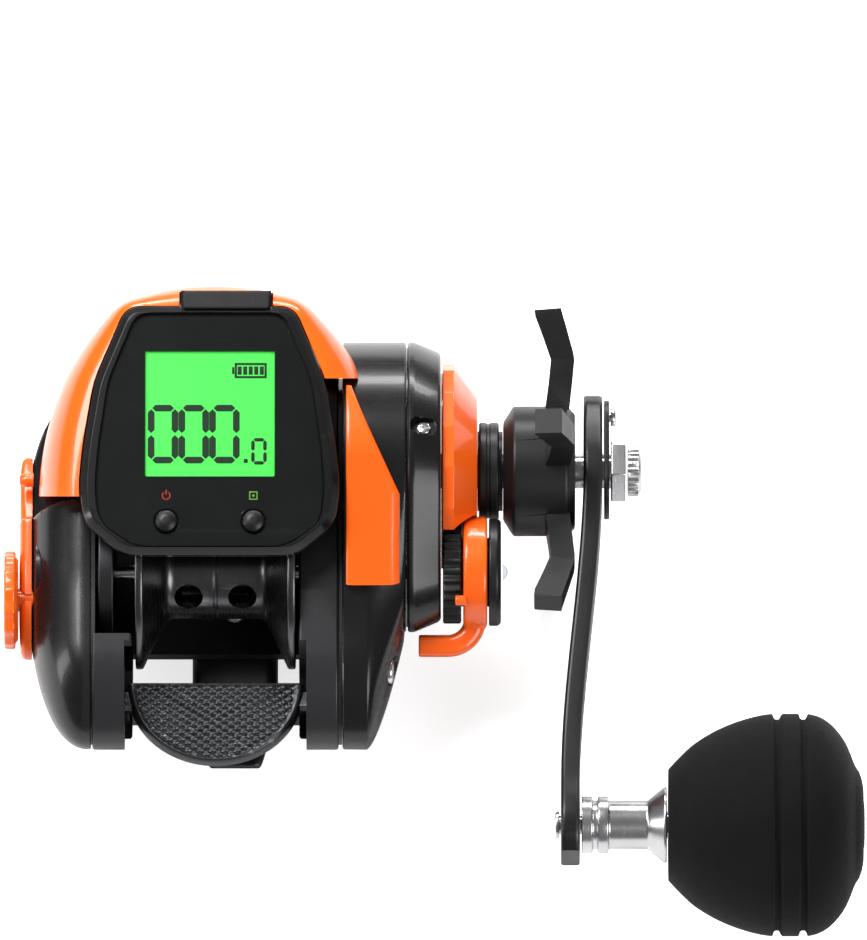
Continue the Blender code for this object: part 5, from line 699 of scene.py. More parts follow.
@dataclass
class Skin:
    """Points and faces of a closed shape, before it becomes an object."""

    points: np.ndarray
    faces: list[list[int]] = field(default_factory=list)

    def __add__(self, other: "Skin") -> "Skin":
        """Both shapes in one."""
        moved = [[corner + len(self.points) for corner in face] for face in other.faces]
        return Skin(np.vstack([self.points, other.points]), self.faces + moved)

    def at(self, place: Place) -> "Skin":
        """The shape moved from a local frame into the world."""
        return Skin(place.world(self.points), self.faces)

    @staticmethod
    def lattice(rows: int, columns: int, wrap: bool = False) -> list[list[int]]:
        """Quads of a grid of points numbered row by row.

        Args:
            rows: Number of rings.
            columns: Points in each ring, which closes on itself.
            wrap: Whether the last ring joins the first.

        Returns:
            Four point numbers for each face.
        """
        r = np.arange(rows if wrap else rows - 1)[:, None]
        c = np.arange(columns)[None, :]
        low, high = r * columns, (r + 1) % rows * columns
        following = (c + 1) % columns
        quads = np.stack([low + c, low + following, high + following, high + c], axis=-1)
        return quads.reshape(-1, 4).tolist()

    @staticmethod
    def loft(rings: Sequence[np.ndarray], closed: bool = False) -> "Skin":
        """Shape through rings.

        Args:
            rings: Rings of equally many points.
            closed: Whether the last joins the first; if not, both ends are capped flat.

        Returns:
            The closed shape.
        """
        columns = len(rings[0])
        faces = Skin.lattice(len(rings), columns, closed)
        if not closed:
            last = (len(rings) - 1) * columns
            faces.append(list(range(columns))[::-1])
            faces.append(list(range(last, last + columns)))
        return Skin(np.vstack(rings), faces)

    @staticmethod
    def turned(profile: Sequence[Corner], sides: int = 96, steps: int = 4, closed: bool = False,
               wobble: Optional[Callable[[np.ndarray, np.ndarray, np.ndarray], np.ndarray]] = None) -> "Skin":
        """Shape turned about its frame's out axis.

        Args:
            profile: (station, radius, rounding) corners, in order; a ring's profile is closed.
            sides: Points round the axis.
            steps: Straight pieces in each rounded corner.
            closed: Whether the profile is a loop that never meets the axis.
            wobble: Change of radius as a function of station, radius and angle.

        Returns:
            The closed shape.
        """
        line = rounded(profile, steps, closed)
        turn = np.arange(sides) * tau / sides
        station, radius = line[:, :1], line[:, 1:]
        if wobble is not None:
            radius = radius + wobble(station, radius, turn[None, :])
        grid = np.stack([
            radius * np.cos(turn), radius * np.sin(turn), np.broadcast_to(station, (len(line), sides)),
        ], axis=-1)
        return Skin(grid.reshape(-1, 3), Skin.lattice(len(line), sides, closed))

    @staticmethod
    def slab(outlines: Sequence[Ring], start: float, end: float, edge: float = 0.2,
             form: Sequence[Pair] = ROUND_EDGE) -> "Skin":
        """Flat piece between two stations: the first outline less the others, its edges eased.

        Args:
            outlines: The outer outline, then its holes.
            start: Lower station.
            end: Upper station.
            edge: Size of the easing.
            form: The easing as (drawn in, let down) shares of its size, from the face to the wall.

        Returns:
            The closed shape.
        """
        steps = [(drawn * edge, end - down * edge) for drawn, down in form]
        steps += [(drawn * edge, start + down * edge) for drawn, down in form[::-1]]
        whole = Skin(np.zeros((0, 3)))
        tops, lows = [], []
        for index, outline in enumerate(outlines):
            outline = np.asarray(outline, float)
            if (area(outline) > 0) != (index == 0):
                outline = outline[::-1]
            rings = [lift(offset(outline, drawn), station) for drawn, station in steps]
            tops.append((len(whole.points), rings[0]))
            lows.append((len(whole.points) + (len(rings) - 1) * len(outline), rings[-1]))
            whole = whole + Skin(np.vstack(rings), Skin.lattice(len(rings), len(outline)))
        for loops in (tops, lows):
            numbers = np.concatenate([first + np.arange(len(ring)) for first, ring in loops])
            corners = tessellate_polygon([[Vector(point) for point in ring] for _, ring in loops])
            whole.faces += [[int(numbers[i]) for i in corner] for corner in corners]
        return whole

    @staticmethod
    def block(low: Sequence[float], high: Sequence[float], edge: float = 0.0) -> "Skin":
        """Box between two corners.

        Args:
            low: Its corner with the least of all three.
            high: Its corner with the most.
            edge: Rounding of its upright edges; the level ones get seven tenths of it.

        Returns:
            The closed shape.
        """
        ring = [(low[0], low[1]), (high[0], low[1]), (high[0], high[1]), (low[0], high[1])]
        if edge <= 0:
            return Skin.loft([lift(ring, low[2]), lift(ring, high[2])])
        return Skin.slab([rounded([(x, y, edge) for x, y in ring], 4)], low[2], high[2], edge * 0.7)

    @staticmethod
    def swept(path: np.ndarray, halves: np.ndarray, across: Sequence[float], power: float = 2.0,
              sides: int = 28) -> "Skin":
        """Bar along a path with a superellipse section.

        Args:
            path: Points of the centreline.
            halves: Half width across and half height for each point.
            across: Direction of the width; the height is square to it and to the path.
            power: 2 for an ellipse, more for a squarer section.
            sides: Points round the section.

        Returns:
            The closed shape, capped at both ends.
        """
        path, halves = np.asarray(path, float), np.asarray(halves, float)
        tangent = np.gradient(path, axis=0)
        tangent /= np.linalg.norm(tangent, axis=1, keepdims=True)
        wide = np.asarray(across, float) - tangent * (tangent @ np.asarray(across, float))[:, None]
        wide /= np.linalg.norm(wide, axis=1, keepdims=True)
        tall = np.cross(tangent, wide)
        turn = (np.arange(sides) + 0.5) * tau / sides
        a = np.sign(np.cos(turn)) * np.abs(np.cos(turn)) ** (2 / power)
        b = np.sign(np.sin(turn)) * np.abs(np.sin(turn)) ** (2 / power)
        rings = (path[:, None] + wide[:, None] * (a[None, :] * halves[:, :1])[..., None]
                 + tall[:, None] * (b[None, :] * halves[:, 1:])[..., None])
        return Skin.loft(list(rings))


def solid(name: str, skin: Skin) -> bpy.types.Object:
    """An object in metres, its seams closed and its faces turned outward.

    Args:
        name: Name of the object and its mesh.
        skin: The shape in millimetres.

    Returns:
        The object, linked to the scene.
    """
    mesh = bpy.data.meshes.new(name)
    mesh.from_pydata((skin.points * METRES).tolist(), [], skin.faces)
    work = bmesh.new()
    work.from_mesh(mesh)
    bmesh.ops.remove_doubles(work, verts=work.verts, dist=MERGE)
    bmesh.ops.dissolve_degenerate(work, edges=work.edges, dist=MERGE / 10)
    bmesh.ops.recalc_face_normals(work, faces=work.faces)
    work.to_mesh(mesh)
    work.free()
    made = bpy.data.objects.new(name, mesh)
    bpy.context.scene.collection.objects.link(made)
    return made


def bake(made: bpy.types.Object) -> None:
    """Apply a piece's modifiers to its mesh.

    Args:
        made: The piece.
    """
    bpy.context.view_layer.update()
    fresh = bpy.data.meshes.new_from_object(made.evaluated_get(bpy.context.evaluated_depsgraph_get()))
    made.modifiers.clear()
    made.data = fresh


def work_on(made: bpy.types.Object, join: Iterable[Skin], cut: Iterable[Skin]) -> None:
    """Add solids to a piece and take others away from it, one after the other.

    Args:
        made: The piece.
        join: What is added.
        cut: What is taken away.
    """
    tools = []
    for operation, skins in (("UNION", join), ("DIFFERENCE", cut)):
        for skin in skins:
            tool = solid("tool", skin)
            step = made.modifiers.new("step", "BOOLEAN")
            step.operation = operation
            step.object = tool
            step.solver = "EXACT"
            tools.append(tool)
    if tools:
        bake(made)
        for tool in tools:
            bpy.data.objects.remove(tool)


def piece(name: str, skin: Skin, kit: Kit, body: str, replaces: Sequence[str] = (), join: Iterable[Skin] = (),
          cut: Iterable[Skin] = (), edge: float = 0.0, sharp: float = SHARP, fused: float = 0.0
          ) -> bpy.types.Object:
    """Make one piece of the reel and hand it to its body.

    Args:
        name: Name of the piece.
        skin: Its shape in the world, in millimetres.
        kit: Its finish.
        body: The body that carries it.
        replaces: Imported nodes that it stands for.
        join: Solids that are added to it.
        cut: Solids that are taken out of it.
        edge: Width of the bevel on sharp edges that the cuts leave.
        sharp: Angle above which an edge is a crease in the shading.
        fused: Size of the cells in which the whole is recast as one casting, or 0.

    Returns:
        The finished object.
    """
    made = solid(name, skin)
    work_on(made, join, cut)
    if fused:
        recast = made.modifiers.new("recast", "REMESH")
        recast.mode = "VOXEL"
        recast.voxel_size = fused * METRES
        settle = made.modifiers.new("settle", "SMOOTH")
        settle.iterations = 6
        settle.factor = 0.5
        bake(made)
    made.data.materials.clear()
    made.data.materials.append(kit.value.material())
    made.data.polygons.foreach_set("material_index", np.zeros(len(made.data.polygons), np.int32))
    made.data.shade_smooth()
    if not fused:
        made.data.set_sharp_from_angle(angle=sharp)
    if edge:
        bevel = made.modifiers.new("edge", "BEVEL")
        bevel.width = edge * METRES
        bevel.segments = 2
        bevel.limit_method = "ANGLE"
        bevel.angle_limit = sharp
        bevel.harden_normals = False
    if not fused:
        weight = made.modifiers.new("weight", "WEIGHTED_NORMAL")
        weight.keep_sharp = True
    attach(made, body)
    if replaces:
        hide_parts(*replaces)
    LOG.info("%s: %d points, rides on %s", name, len(made.data.vertices), body)
    return made


def dress(kit: Kit, *nodes: str) -> None:
    """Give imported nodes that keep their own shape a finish.

    Args:
        kit: The finish.
        nodes: Names of the nodes.
    """
    for name in nodes:
        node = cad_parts[name]
        node.data.materials.clear()
        node.data.materials.append(kit.value.material())


def drilled(bore: Bore, place: Place, sides: int = 48) -> Skin:
    """A plain round bar about a frame's out axis, used as a drill or a post."""
    ring = circle(bore[2], sides)
    return Skin.loft([lift(ring, station) for station in bore[:2]]).at(place)


def hollowed(outer: Skin, inner: Skin) -> Skin:
    """A shell.

    Args:
        outer: Its outer form in the world.
        inner: What is taken out of it.

    Returns:
        The shape in the world.
    """
    shell = solid("shell", outer)
    work_on(shell, [], [inner])
    corners = np.zeros(len(shell.data.vertices) * 3)
    shell.data.vertices.foreach_get("co", corners)
    left = Skin(corners.reshape(-1, 3) / METRES, [list(face.vertices) for face in shell.data.polygons])
    bpy.data.objects.remove(shell)
    return left


def rod(size: Rod, sides: int) -> Skin:
    """A round rod with eased ends, in its own frame."""
    start, end, radius, edge = size
    return Skin.turned([(start, 0), (start, radius, edge), (end, radius, edge), (end, 0)], sides)


def twins(low: Point, high: Point) -> list[Skin]:
    """A box beside the reel's middle and its mirror image, the mirror image first."""
    mirrored = Skin.block((-high[0], *low[1:]), (-low[0], *high[1:]))
    return [mirrored.at(FLAT), Skin.block(low, high).at(FLAT)]


def under_display(y: float) -> float:
    """Height of the display housing's underside above the spool axis."""
    return FACE_RISE + (y - FACE_REAR) * tan(TILT) - FACE_THICKNESS / cos(TILT)


# Side view of the body: corners that the frame and both side plates share
BODY_FRONT, BODY_REAR, BODY_DEPTH, BODY_CURVE = 35.0, 33.0, 20.3, 8.0
LOWER_SHARES = ((1.0, -0.42), (0.84, -0.9), (-0.36, -1.0), (-0.82, -0.71), (-1.0, -0.17))
SHOULDER = (-24.09, 6.0, BODY_CURVE)
HOUSING_CENTRE = (20.2, 0.6)


def lower_corners() -> list[Corner]:
    """Front, bottom and rear corners of the body in the side view, front to rear."""
    return [(along * (BODY_FRONT if along > 0 else BODY_REAR), down * BODY_DEPTH, BODY_CURVE)
            for along, down in LOWER_SHARES]


@dataclass
class Frame:
    """One-piece frame: two walls, the floor and two bridges, on the reel foot."""

    wall_start: float = 14.6
    wall_end: float = 21.5
    wall_edge: float = 0.45
    web: float = 3.0
    rim: float = 2.2
    curve: float = 2.2
    middle: Pair = (0, -5.1)
    top: Pair = (-6, 27)
    top_gap: float = 0.3
    nose_rise: float = 8.0
    floor: Pairs = ((-7.6, -20.1), (28, -18))
    bridges: Pairs = ((29, -16.3), (-18.5, -16.6))
    bridge: Pair = (2.5, 2)
    bores: Drills = (
        ((-30, -12, 17.4), SIDE, 96), ((12, 30, 3.9), SIDE, 48), ((12, 30, 5.3), DRIVE, 48),
        ((-30, 30, 1.7), WORM, 48), ((-30, 30, 1.7), ROD, 48),
    )
    thumb_slot: Box = ((-15.9, -40, -14.3), (15.9, -16.6, 20))
    lug_slot: Box = ((15.4, -23.05, -12.55), (20.6, -19.75, -6.15))
    lip_insets: Pair = (0.9, 2)
    lips: Pairs = ((-21.76, -21), (21, 22.14))
    foot_shift: float = 3.3
    foot_half: float = 7.5
    foot_top: float = 3.1
    foot_line: Profile = (    # station, width, height
        (-27, 7, 0.9), (-26.4, 9.4, 1.3), (-20, 12.6, 1.7), (-13.5, 14.8, 2.5), (-7, 15, 3.05),
        (5, 15, 3.1), (15, 15, 3.05), (21.5, 14.8, 2.5), (28, 12.6, 1.7), (34.4, 9.4, 1.3),
        (35, 7, 0.9),
    )
    foot_section: Profile = (    # share of half the width, share of the height, rounding
        (-1, 0, 0.15), (1, 0, 0.15), (1, 0.7, 0.5), (0.8, 1, 0.8), (-0.8, 1, 0.8),
        (-1, 0.7, 0.5),
    )
    rivets: tuple[tuple[str, float], ...] = (("rear", 1), ("front", 17))
    rivet_radius: float = 1.8
    rivet: Profile = (
        (-17.2, 0), (-17.2, 2.1, 0.5), (-17.7, 2.6, 0.1), (-17.7, 1.5), (-22.4, 1.5, 0.1),
        (-22.4, 0),
    )

    def outline(self) -> Ring:
        """Side view of the walls, whose top runs under the display housing."""
        top = [(y, under_display(y) - self.top_gap, self.curve) for y in self.top]
        return rounded([*top, (BODY_FRONT, self.nose_rise, self.curve), *lower_corners(), SHOULDER])

    def rivet_holes(self, start: float, end: float) -> list[Skin]:
        """Cutters for the rivets, between two heights about the spool axis."""
        return [drilled((start, end, self.rivet_radius), FLAT.at(self.foot_shift, y), 32)
                for _, y in self.rivets]

    def build(self) -> None:
        """Make the frame, its foot and the rivets."""
        outline = self.outline()
        ring = around(outline, self.middle)
        pocket = inset(ring, self.middle, self.rim)
        walls = [Skin.slab([outline], low, high, self.wall_edge).at(SIDE)
                 for low, high in ((-self.wall_end, -self.wall_start), (self.wall_start, self.wall_end))]
        join, web = self.wall_start + self.web / 2, self.wall_start + self.web
        low, high = self.floor
        joins = [walls[1], Skin.block((-join, *low), (join, *high)).at(FLAT)]
        wide, tall = self.bridge
        joins += [Skin.block((-join, y - wide, z - tall), (join, y + wide, z + tall)).at(FLAT)
                  for y, z in self.bridges]
        cuts = [Skin.slab([pocket], low, high, 0).at(SIDE) for low, high in ((-30, -web), (web, 30))]
        cuts += [drilled(bore, place, sides) for bore, place, sides in self.bores]
        cuts += [Skin.block(*self.thumb_slot).at(FLAT), *twins(*self.lug_slot)]
        cuts += self.rivet_holes(-30, -15)
        piece("frame_casting", walls[0], Kit.GRAPHITE, "reel", ["main_frame"], joins, cuts, 0.3)
        lip = [inset(ring, self.middle, drawn) for drawn in self.lip_insets]
        left, right = (Skin.slab(lip, start, end, 0).at(SIDE) for start, end in self.lips)
        piece("frame_registers", left + right, Kit.GRAPHITE, "reel")
        self.foot()

    def foot(self) -> None:
        """Reel foot with a flat underside, tips that taper both ways, and its two rivets."""
        rings = []
        for y, width, height in spline(self.foot_line, 90):
            half, top = min(width / 2, self.foot_half), min(height, self.foot_top)
            corners = [(half * across, top * up, reach) for across, up, reach in self.foot_section]
            section = rounded(corners, 3)
            rings.append(np.column_stack([
                section[:, 0] + self.foot_shift, np.full(len(section), y), section[:, 1],
            ]))
        piece("foot_plate", Skin.loft(rings), Kit.FOOT, "reel", ["reel_foot"],
              cut=self.rivet_holes(-22.7, -10), edge=0.12)
        for name, y in self.rivets:
            rivet = Skin.turned(self.rivet, 48).at(FLAT.at(self.foot_shift, y))
            piece(f"rivet_{name}", rivet, Kit.STEEL, "reel", [f"foot_rivet_{name}"])


@dataclass
class PalmSide:
    """Domed palm side plate with its orange plate, stud, brake ring and brake dial."""

    face: float = 21.8
    depth: float = 11.6
    wall: float = 2
    roundness: float = 2.3
    overrun: float = 3
    top: float = radians(78)
    centre: Pair = (8, -5)
    rear: float = -6
    seam: float = 12.7
    gap: float = 0.6
    curve: float = 2.2
    boss: Profile = ((-31.4, 0), (-31.4, 6.2), (-17.8, 6.2, 0.2), (-17.8, 0))
    bearing_bore: Bore = (-26.9, 0, 4.8)
    dial_bore: Bore = (-40, -31.5, 2.35)
    plate_bore: Bore = (-40, -25, 2.35)
    magnets: Profile = ((-20.4, 13, 0.3), (-17.8, 13, 0.3), (-17.8, 6.5, 0.3), (-20.4, 6.5, 0.3))
    plate_start: float = radians(58.5)
    plate_gap: float = 0.3
    plate_face: float = 0.981
    plate_rise: float = 1.2
    plate_edge: Pairs = (    # drawn in, let down
        (4.6, 0), (3.5, 0.02), (2.4, 0.07), (1.3, 0.2), (0.6, 0.42), (0.2, 0.75), (0, 1.2),
    )
    stud_at: Pair = (17, 1.7)
    stud: Profile = ((-34.45, 0), (-34.45, 0.9, 0.4), (-33.4, 1.2, 0.2), (-32, 1.2), (-32, 0))
    dial_at: float = -5.4
    wheel: Flutes = (8.6, 0.45, 14, 0.7, 10)
    wheel_ends: Ends = (-36.95, -34.95, 0.45)
    stem: Profile = (
        (-35.5, 0), (-35.5, 7.6), (-34.9, 7.6, 0.2), (-34.52, 7, 0.2), (-34.52, 2),
        (-31.8, 2, 0.2), (-31.8, 0),
    )
    groove: Profile = ((-38, 6.4), (-36.65, 6.4), (-36.65, 5.8), (-38, 5.8))
    mark_reach: float = 7.2
    mark_step: float = 0.6
    mark_sizes: tuple[float, ...] = (0.5, *[0.28] * 7)
    mark_ends: Pair = (-38, -36.75)

    def outline(self) -> Ring:
        """Side view, cut back along the hood's slanted seam.

        Returns:
            The outline's points.
        """
        level = under_display(0) - self.gap
        along, up, slope = cos(LEAN), sin(LEAN), tan(TILT)
        top = (self.seam - up * level) / (along + up * slope)
        return rounded([
            (self.rear, level + self.rear * slope, self.curve), (top, level + top * slope, self.gap),
            ((self.seam - up * self.gap) / along, self.gap, self.gap), (BODY_FRONT, self.gap, self.curve),
            *lower_corners(), SHOULDER,
        ])

    def level(self, base: Ring, turn: float, wall: float, lifted: float) -> np.ndarray:
        """Ring of the dome: it shrinks and stands out as the two powers of a superellipse.

        Args:
            base: Outline of the plate.
            turn: Angle from the rim, 0, to the crown, a quarter turn.
            wall: How far inside the outer form the ring lies.
            lifted: How far it is moved outward.

        Returns:
            The ring's points.
        """
        size = cos(turn) ** (2 / self.roundness)
        out = sin(turn) ** (2 / self.roundness) * (self.depth - wall)
        drawn = inset(base, self.centre, wall) if wall else base
        return lift(np.asarray(self.centre) + (drawn - self.centre) * size, -self.face - out - lifted)

    def dome(self, base: Ring, wall: float, overrun: float) -> Skin:
        """The outer or inner form of the shell.

        Args:
            base: Outline of the plate.
            wall: How far inside the outer form it lies.
            overrun: How far it starts beyond the plate's face; 0 for the outer form, whose rim is eased.

        Returns:
            The shape in the world.
        """
        eased = ((0.35, 0), (0.1, -0.1))
        starts = ((wall, overrun),) if overrun else eased
        rings = [lift(inset(base, self.centre, drawn), -self.face + out) for drawn, out in starts]
        turns = np.linspace(0 if overrun else 0.06, self.top, 26)
        rings += [self.level(base, turn, wall, 0) for turn in turns]
        return Skin.loft(rings).at(SIDE)

    def build(self) -> None:
        """Make the plate and what sits on it."""
        base = around(self.outline(), self.centre, 220)
        shell = hollowed(self.dome(base, 0, 0), self.dome(base, self.wall, self.overrun))
        dial = SIDE.at(self.dial_at)
        piece("palm_shell", shell, Kit.BLACK, "reel", ["palm_side_plate"],
              [Skin.turned(self.boss, 64).at(SIDE)],
              [drilled(self.bearing_bore, SIDE), drilled(self.dial_bore, dial)], 0.15)
        piece("brake_ring", Skin.turned(self.magnets, closed=True).at(SIDE), Kit.FOOT, "reel",
              ["brake_magnet_ring"])
        piece("palm_plate", self.plate(base), Kit.ORANGE, "reel", ["palm_side_inlay"],
              cut=[drilled(self.plate_bore, dial)], edge=0.18)
        piece("palm_stud", Skin.turned(self.stud, 32).at(SIDE.at(*self.stud_at)), Kit.ORANGE, "reel")
        self.dial(dial)

    def plate(self, base: Ring) -> Skin:
        """Orange plate: it lies on the dome's crown and ends in a rounded edge.

        Args:
            base: Outline of the side plate.

        Returns:
            The shape in the world.
        """
        turns = np.linspace(self.plate_start, self.top, 8)
        under = [self.level(base, turn, 0, self.plate_gap) for turn in turns]
        rim = under[0][:, :2]
        face = -self.face - self.depth * self.plate_face - self.plate_rise
        over = [lift(inset(rim, self.centre, drawn), face + fall) for drawn, fall in self.plate_edge]
        return Skin.loft(over + under).at(SIDE)

    def dial(self, place: Place) -> None:
        """Ribbed brake dial with a stepped face and plain setting marks.

        Args:
            place: Frame on the dial's axis.
        """
        cuts = [Skin.turned(self.groove, closed=True).at(place)]
        for index, size in enumerate(self.mark_sizes):
            turn = index * self.mark_step
            spot = circle(size, 20, (self.mark_reach * cos(turn), self.mark_reach * sin(turn)))
            cuts.append(Skin.loft([lift(spot, station) for station in self.mark_ends]).at(place))
        wheel = Skin.slab([fluted(*self.wheel)], *self.wheel_ends).at(place)
        piece("brake_wheel", wheel, Kit.ORANGE, "brake", ["brake_dial"],
              [Skin.turned(self.stem, 72).at(place)], cuts, 0.08)


@dataclass
class HandleSide:
    """Handle side plate, gear housing and the orange trim between them and the hood."""

    start: float = 22.2
    end: float = 33.3
    radius: float = 21.75
    tail: float = 10.5
    wall: float = 2
    overrun: float = 3
    hub: Pair = HOUSING_CENTRE
    centre: Pair = (5.05, 0)
    rear_corner: Corner = (-6, 10.875, BODY_CURVE)
    straight: float = 0.38
    blend: float = 1.5
    posts: Bore = (28.1, 32.3, 1.2)
    post_rises: Pair = (-5.6, 5.6)
    post_y: float = -2.4
    screw_y: float = -19
    screw_boss: Bore = (24.9, 29.6, 2.6)
    screw_bores: tuple[Bore, ...] = ((29.6, 40, 2.6), (20, 32, 1.5))
    pinion_bore: Bore = (31, 36, 3.95)
    drive_bore: Bore = (28, 36, 7.8)
    screw_line: Profile = (
        (24.9, 0), (24.9, 1.2, 0.2), (29.9, 1.2), (29.9, 2.3, 0.1), (30.9, 2.3, 0.35), (31.2, 1.4, 0.3),
        (31.2, 0),
    )
    slots: Boxes = (
        ((-1.5, -0.25, 30.5), (1.5, 0.25, 32)), ((-0.25, -1.5, 30.5), (0.25, 1.5, 32)),
    )
    case_gap: float = 0.3
    case_line: Pairs = (    # drawn in, station
        (0, 34.45), (0.1, 34.95), (1.75, 38.85), (2.1, 39.25), (2.5, 39.4),
    )
    case_seats: tuple[tuple[Bore, Place], ...] = (
        ((30, 37.4, 7.8), DRIVE), ((30, 42, 4.4), DRIVE), ((30, 42, 4.8), SIDE),
    )
    recess_at: Point = (18.2, 21.2, 36.4)
    recess: Profile = ((-2.4, -1.6, 1.5), (2.2, -1.6, 1.5), (2.2, 1.6, 1.5), (-2.4, 1.6, 1.5))
    recess_ends: Pair = (-0.9, 4)
    case_screw: Profile = ((-0.9, 0), (-0.9, 1.2), (-0.35, 1.2, 0.3), (-0.2, 0.6, 0.3), (-0.2, 0))
    case_slot: Box = ((-1.2, -0.18, -0.5), (1.2, 0.18, 1))
    bearings: tuple[tuple[str, Place, Bore, float], ...] = (
        ("spool_bearing_right", SIDE, (36.9, 39.4, 4.5), 1.5),
        ("spool_bearing_left", SIDE, (-26.6, -24.1, 4.5), 1.5),
        ("shaft_bearing", DRIVE, (15, 17.4, 5), 3.3), ("one_way_bearing", DRIVE, (33.9, 37.3, 7.5), 3.3),
    )
    race: float = 0.28
    shield: float = 0.25
    trim_ends: Pair = (0.6, 10)
    trim_angles: Pair = (49, 137)
    trim_tip: float = 33.2
    trim_taper: float = 20
    trim_gap: float = 0.3

    def arc(self, start: float, end: float, steps: int) -> list[Corner]:
        """Points of the round front.

        Args:
            start: Angle of the first, in degrees.
            end: Angle of the last.
            steps: How many there are.

        Returns:
            Corners without a rounding.
        """
        y, z = self.hub
        turns = np.radians(np.linspace(start, end, steps))
        return [(y + self.radius * cos(t), z + self.radius * sin(t), 0) for t in turns]

    def full(self) -> Ring:
        """Side view of the plate: the round front and the body's tail."""
        return rounded([*self.arc(112, -88, 60), *lower_corners()[2:], SHOULDER, self.rear_corner])

    def hull(self) -> Ring:
        """Side view of the housing: a hull round its front circle and its tail circle.

        Returns:
            The outline's points.
        """
        gap = hypot(*self.hub)
        toward = atan2(-self.hub[1], -self.hub[0])
        spread = acos((self.radius - self.tail) / gap)
        front = np.linspace(toward + spread, toward + tau - spread, 120)
        tail = np.linspace(toward - spread, toward + spread, 50)
        return np.vstack([
            np.asarray(self.hub) + self.radius * np.column_stack([np.cos(front), np.sin(front)]),
            self.tail * np.column_stack([np.cos(tail), np.sin(tail)]),
        ])

    def shell(self, wall: float, overrun: float) -> Skin:
        """Outer or inner form of the plate, which grows from the full outline into the housing's.

        Args:
            wall: How far inside the outer form it lies.
            overrun: How far it starts below the plate; 0 for the outer form, whose edges are eased.

        Returns:
            The shape in the world.
        """
        full, hull = (around(ring, self.centre, 220) for ring in (self.full(), self.hull()))
        eased = ((0.35, 0), (0.05, 0.25))
        starts = ((wall, -overrun),) if overrun else eased
        rings = [lift(inset(full, self.centre, drawn), self.start + up) for drawn, up in starts]
        span = self.end - self.start
        for stage in np.linspace(self.straight, 1, 18):
            share = ((stage - self.straight) / (1 - self.straight)) ** self.blend
            ring = full * (1 - share) + hull * share
            rings.append(lift(inset(ring, self.centre, wall), self.start + stage * (span - wall)))
        if not overrun:
            rings[-1:] = [lift(hull, self.end - 0.25), lift(inset(hull, self.centre, 0.25), self.end)]
        return Skin.loft(rings).at(SIDE)

    def build(self) -> None:
        """Make the plate, the housing, the trim and the screw."""
        screw = SIDE.at(self.screw_y, 0)
        posts = [drilled(self.posts, SIDE.at(self.post_y, rise), 32) for rise in self.post_rises]
        well, hole = self.screw_bores
        plate = hollowed(self.shell(0, 0), self.shell(self.wall, self.overrun))
        piece("handle_plate_shell", plate, Kit.BLACK, "reel", ["handle_side_plate"],
              [*posts, drilled(self.screw_boss, screw)],
              [drilled(self.pinion_bore, SIDE), drilled(self.drive_bore, DRIVE), drilled(well, screw),
               drilled(hole, screw, 32)], 0.15)
        piece("side_plate_screw", Skin.turned(self.screw_line, 48).at(screw), Kit.STEEL, "reel",
              ["handle_side_screw"], cut=[Skin.block(*slot).at(screw) for slot in self.slots], edge=0.06)
        self.housing()
        for bearing in self.bearings:
            self.bearing(*bearing)
        self.trim()

    def housing(self) -> None:
        """Gear housing with a chamfered outer edge and a side recess for a screw."""
        hull = around(self.hull(), self.centre, 220)
        start = self.end + self.case_gap
        line = ((self.case_gap, start), (0, start + self.case_gap), *self.case_line)
        case = Skin.loft([lift(inset(hull, self.centre, drawn), station) for drawn, station in line]).at(SIDE)
        inner = inset(hull, self.centre, 0.9)
        register = Skin.loft([lift(inner, station) for station in (self.end + 0.04, 34.5)]).at(SIDE)
        top = leaning(tuple(SIDE.world(self.recess_at)), 0)
        recess = Skin.slab([rounded(self.recess, 6)], *self.recess_ends, 0).at(top)
        seats = [drilled(bore, place) for bore, place in self.case_seats]
        piece("gear_case", case, Kit.BLACK, "reel", ["gear_housing"], [register], [recess, *seats], 0.15)
        piece("case_screw", Skin.turned(self.case_screw, 32).at(top), Kit.STEEL, "reel",
              cut=[Skin.block(*self.case_slot).at(top)], edge=0.05)

    def bearing(self, name: str, place: Place, size: Bore, bore: float) -> None:
        """Shielded bearing: two races with a sunk shield between them.

        Args:
            name: Name of its node.
            place: Frame on its axis.
            size: Its two ends and its outer radius.
            bore: Its inner radius.
        """
        low, high, outer = size
        wide = (outer - bore) * self.race
        race, seat = outer - wide, bore + wide
        under, over = low + self.shield, high - self.shield
        profile = [
            (high, outer, 0.15), (low, outer, 0.15), (low, race, 0), (under, race, 0), (under, seat, 0),
            (low, seat, 0), (low, bore, 0.1), (high, bore, 0.1), (high, seat, 0), (over, seat, 0),
            (over, race, 0), (high, race, 0),
        ]
        piece(f"{name}_races", Skin.turned(profile, 72, 3, True).at(place), Kit.STEEL, "reel", [name])

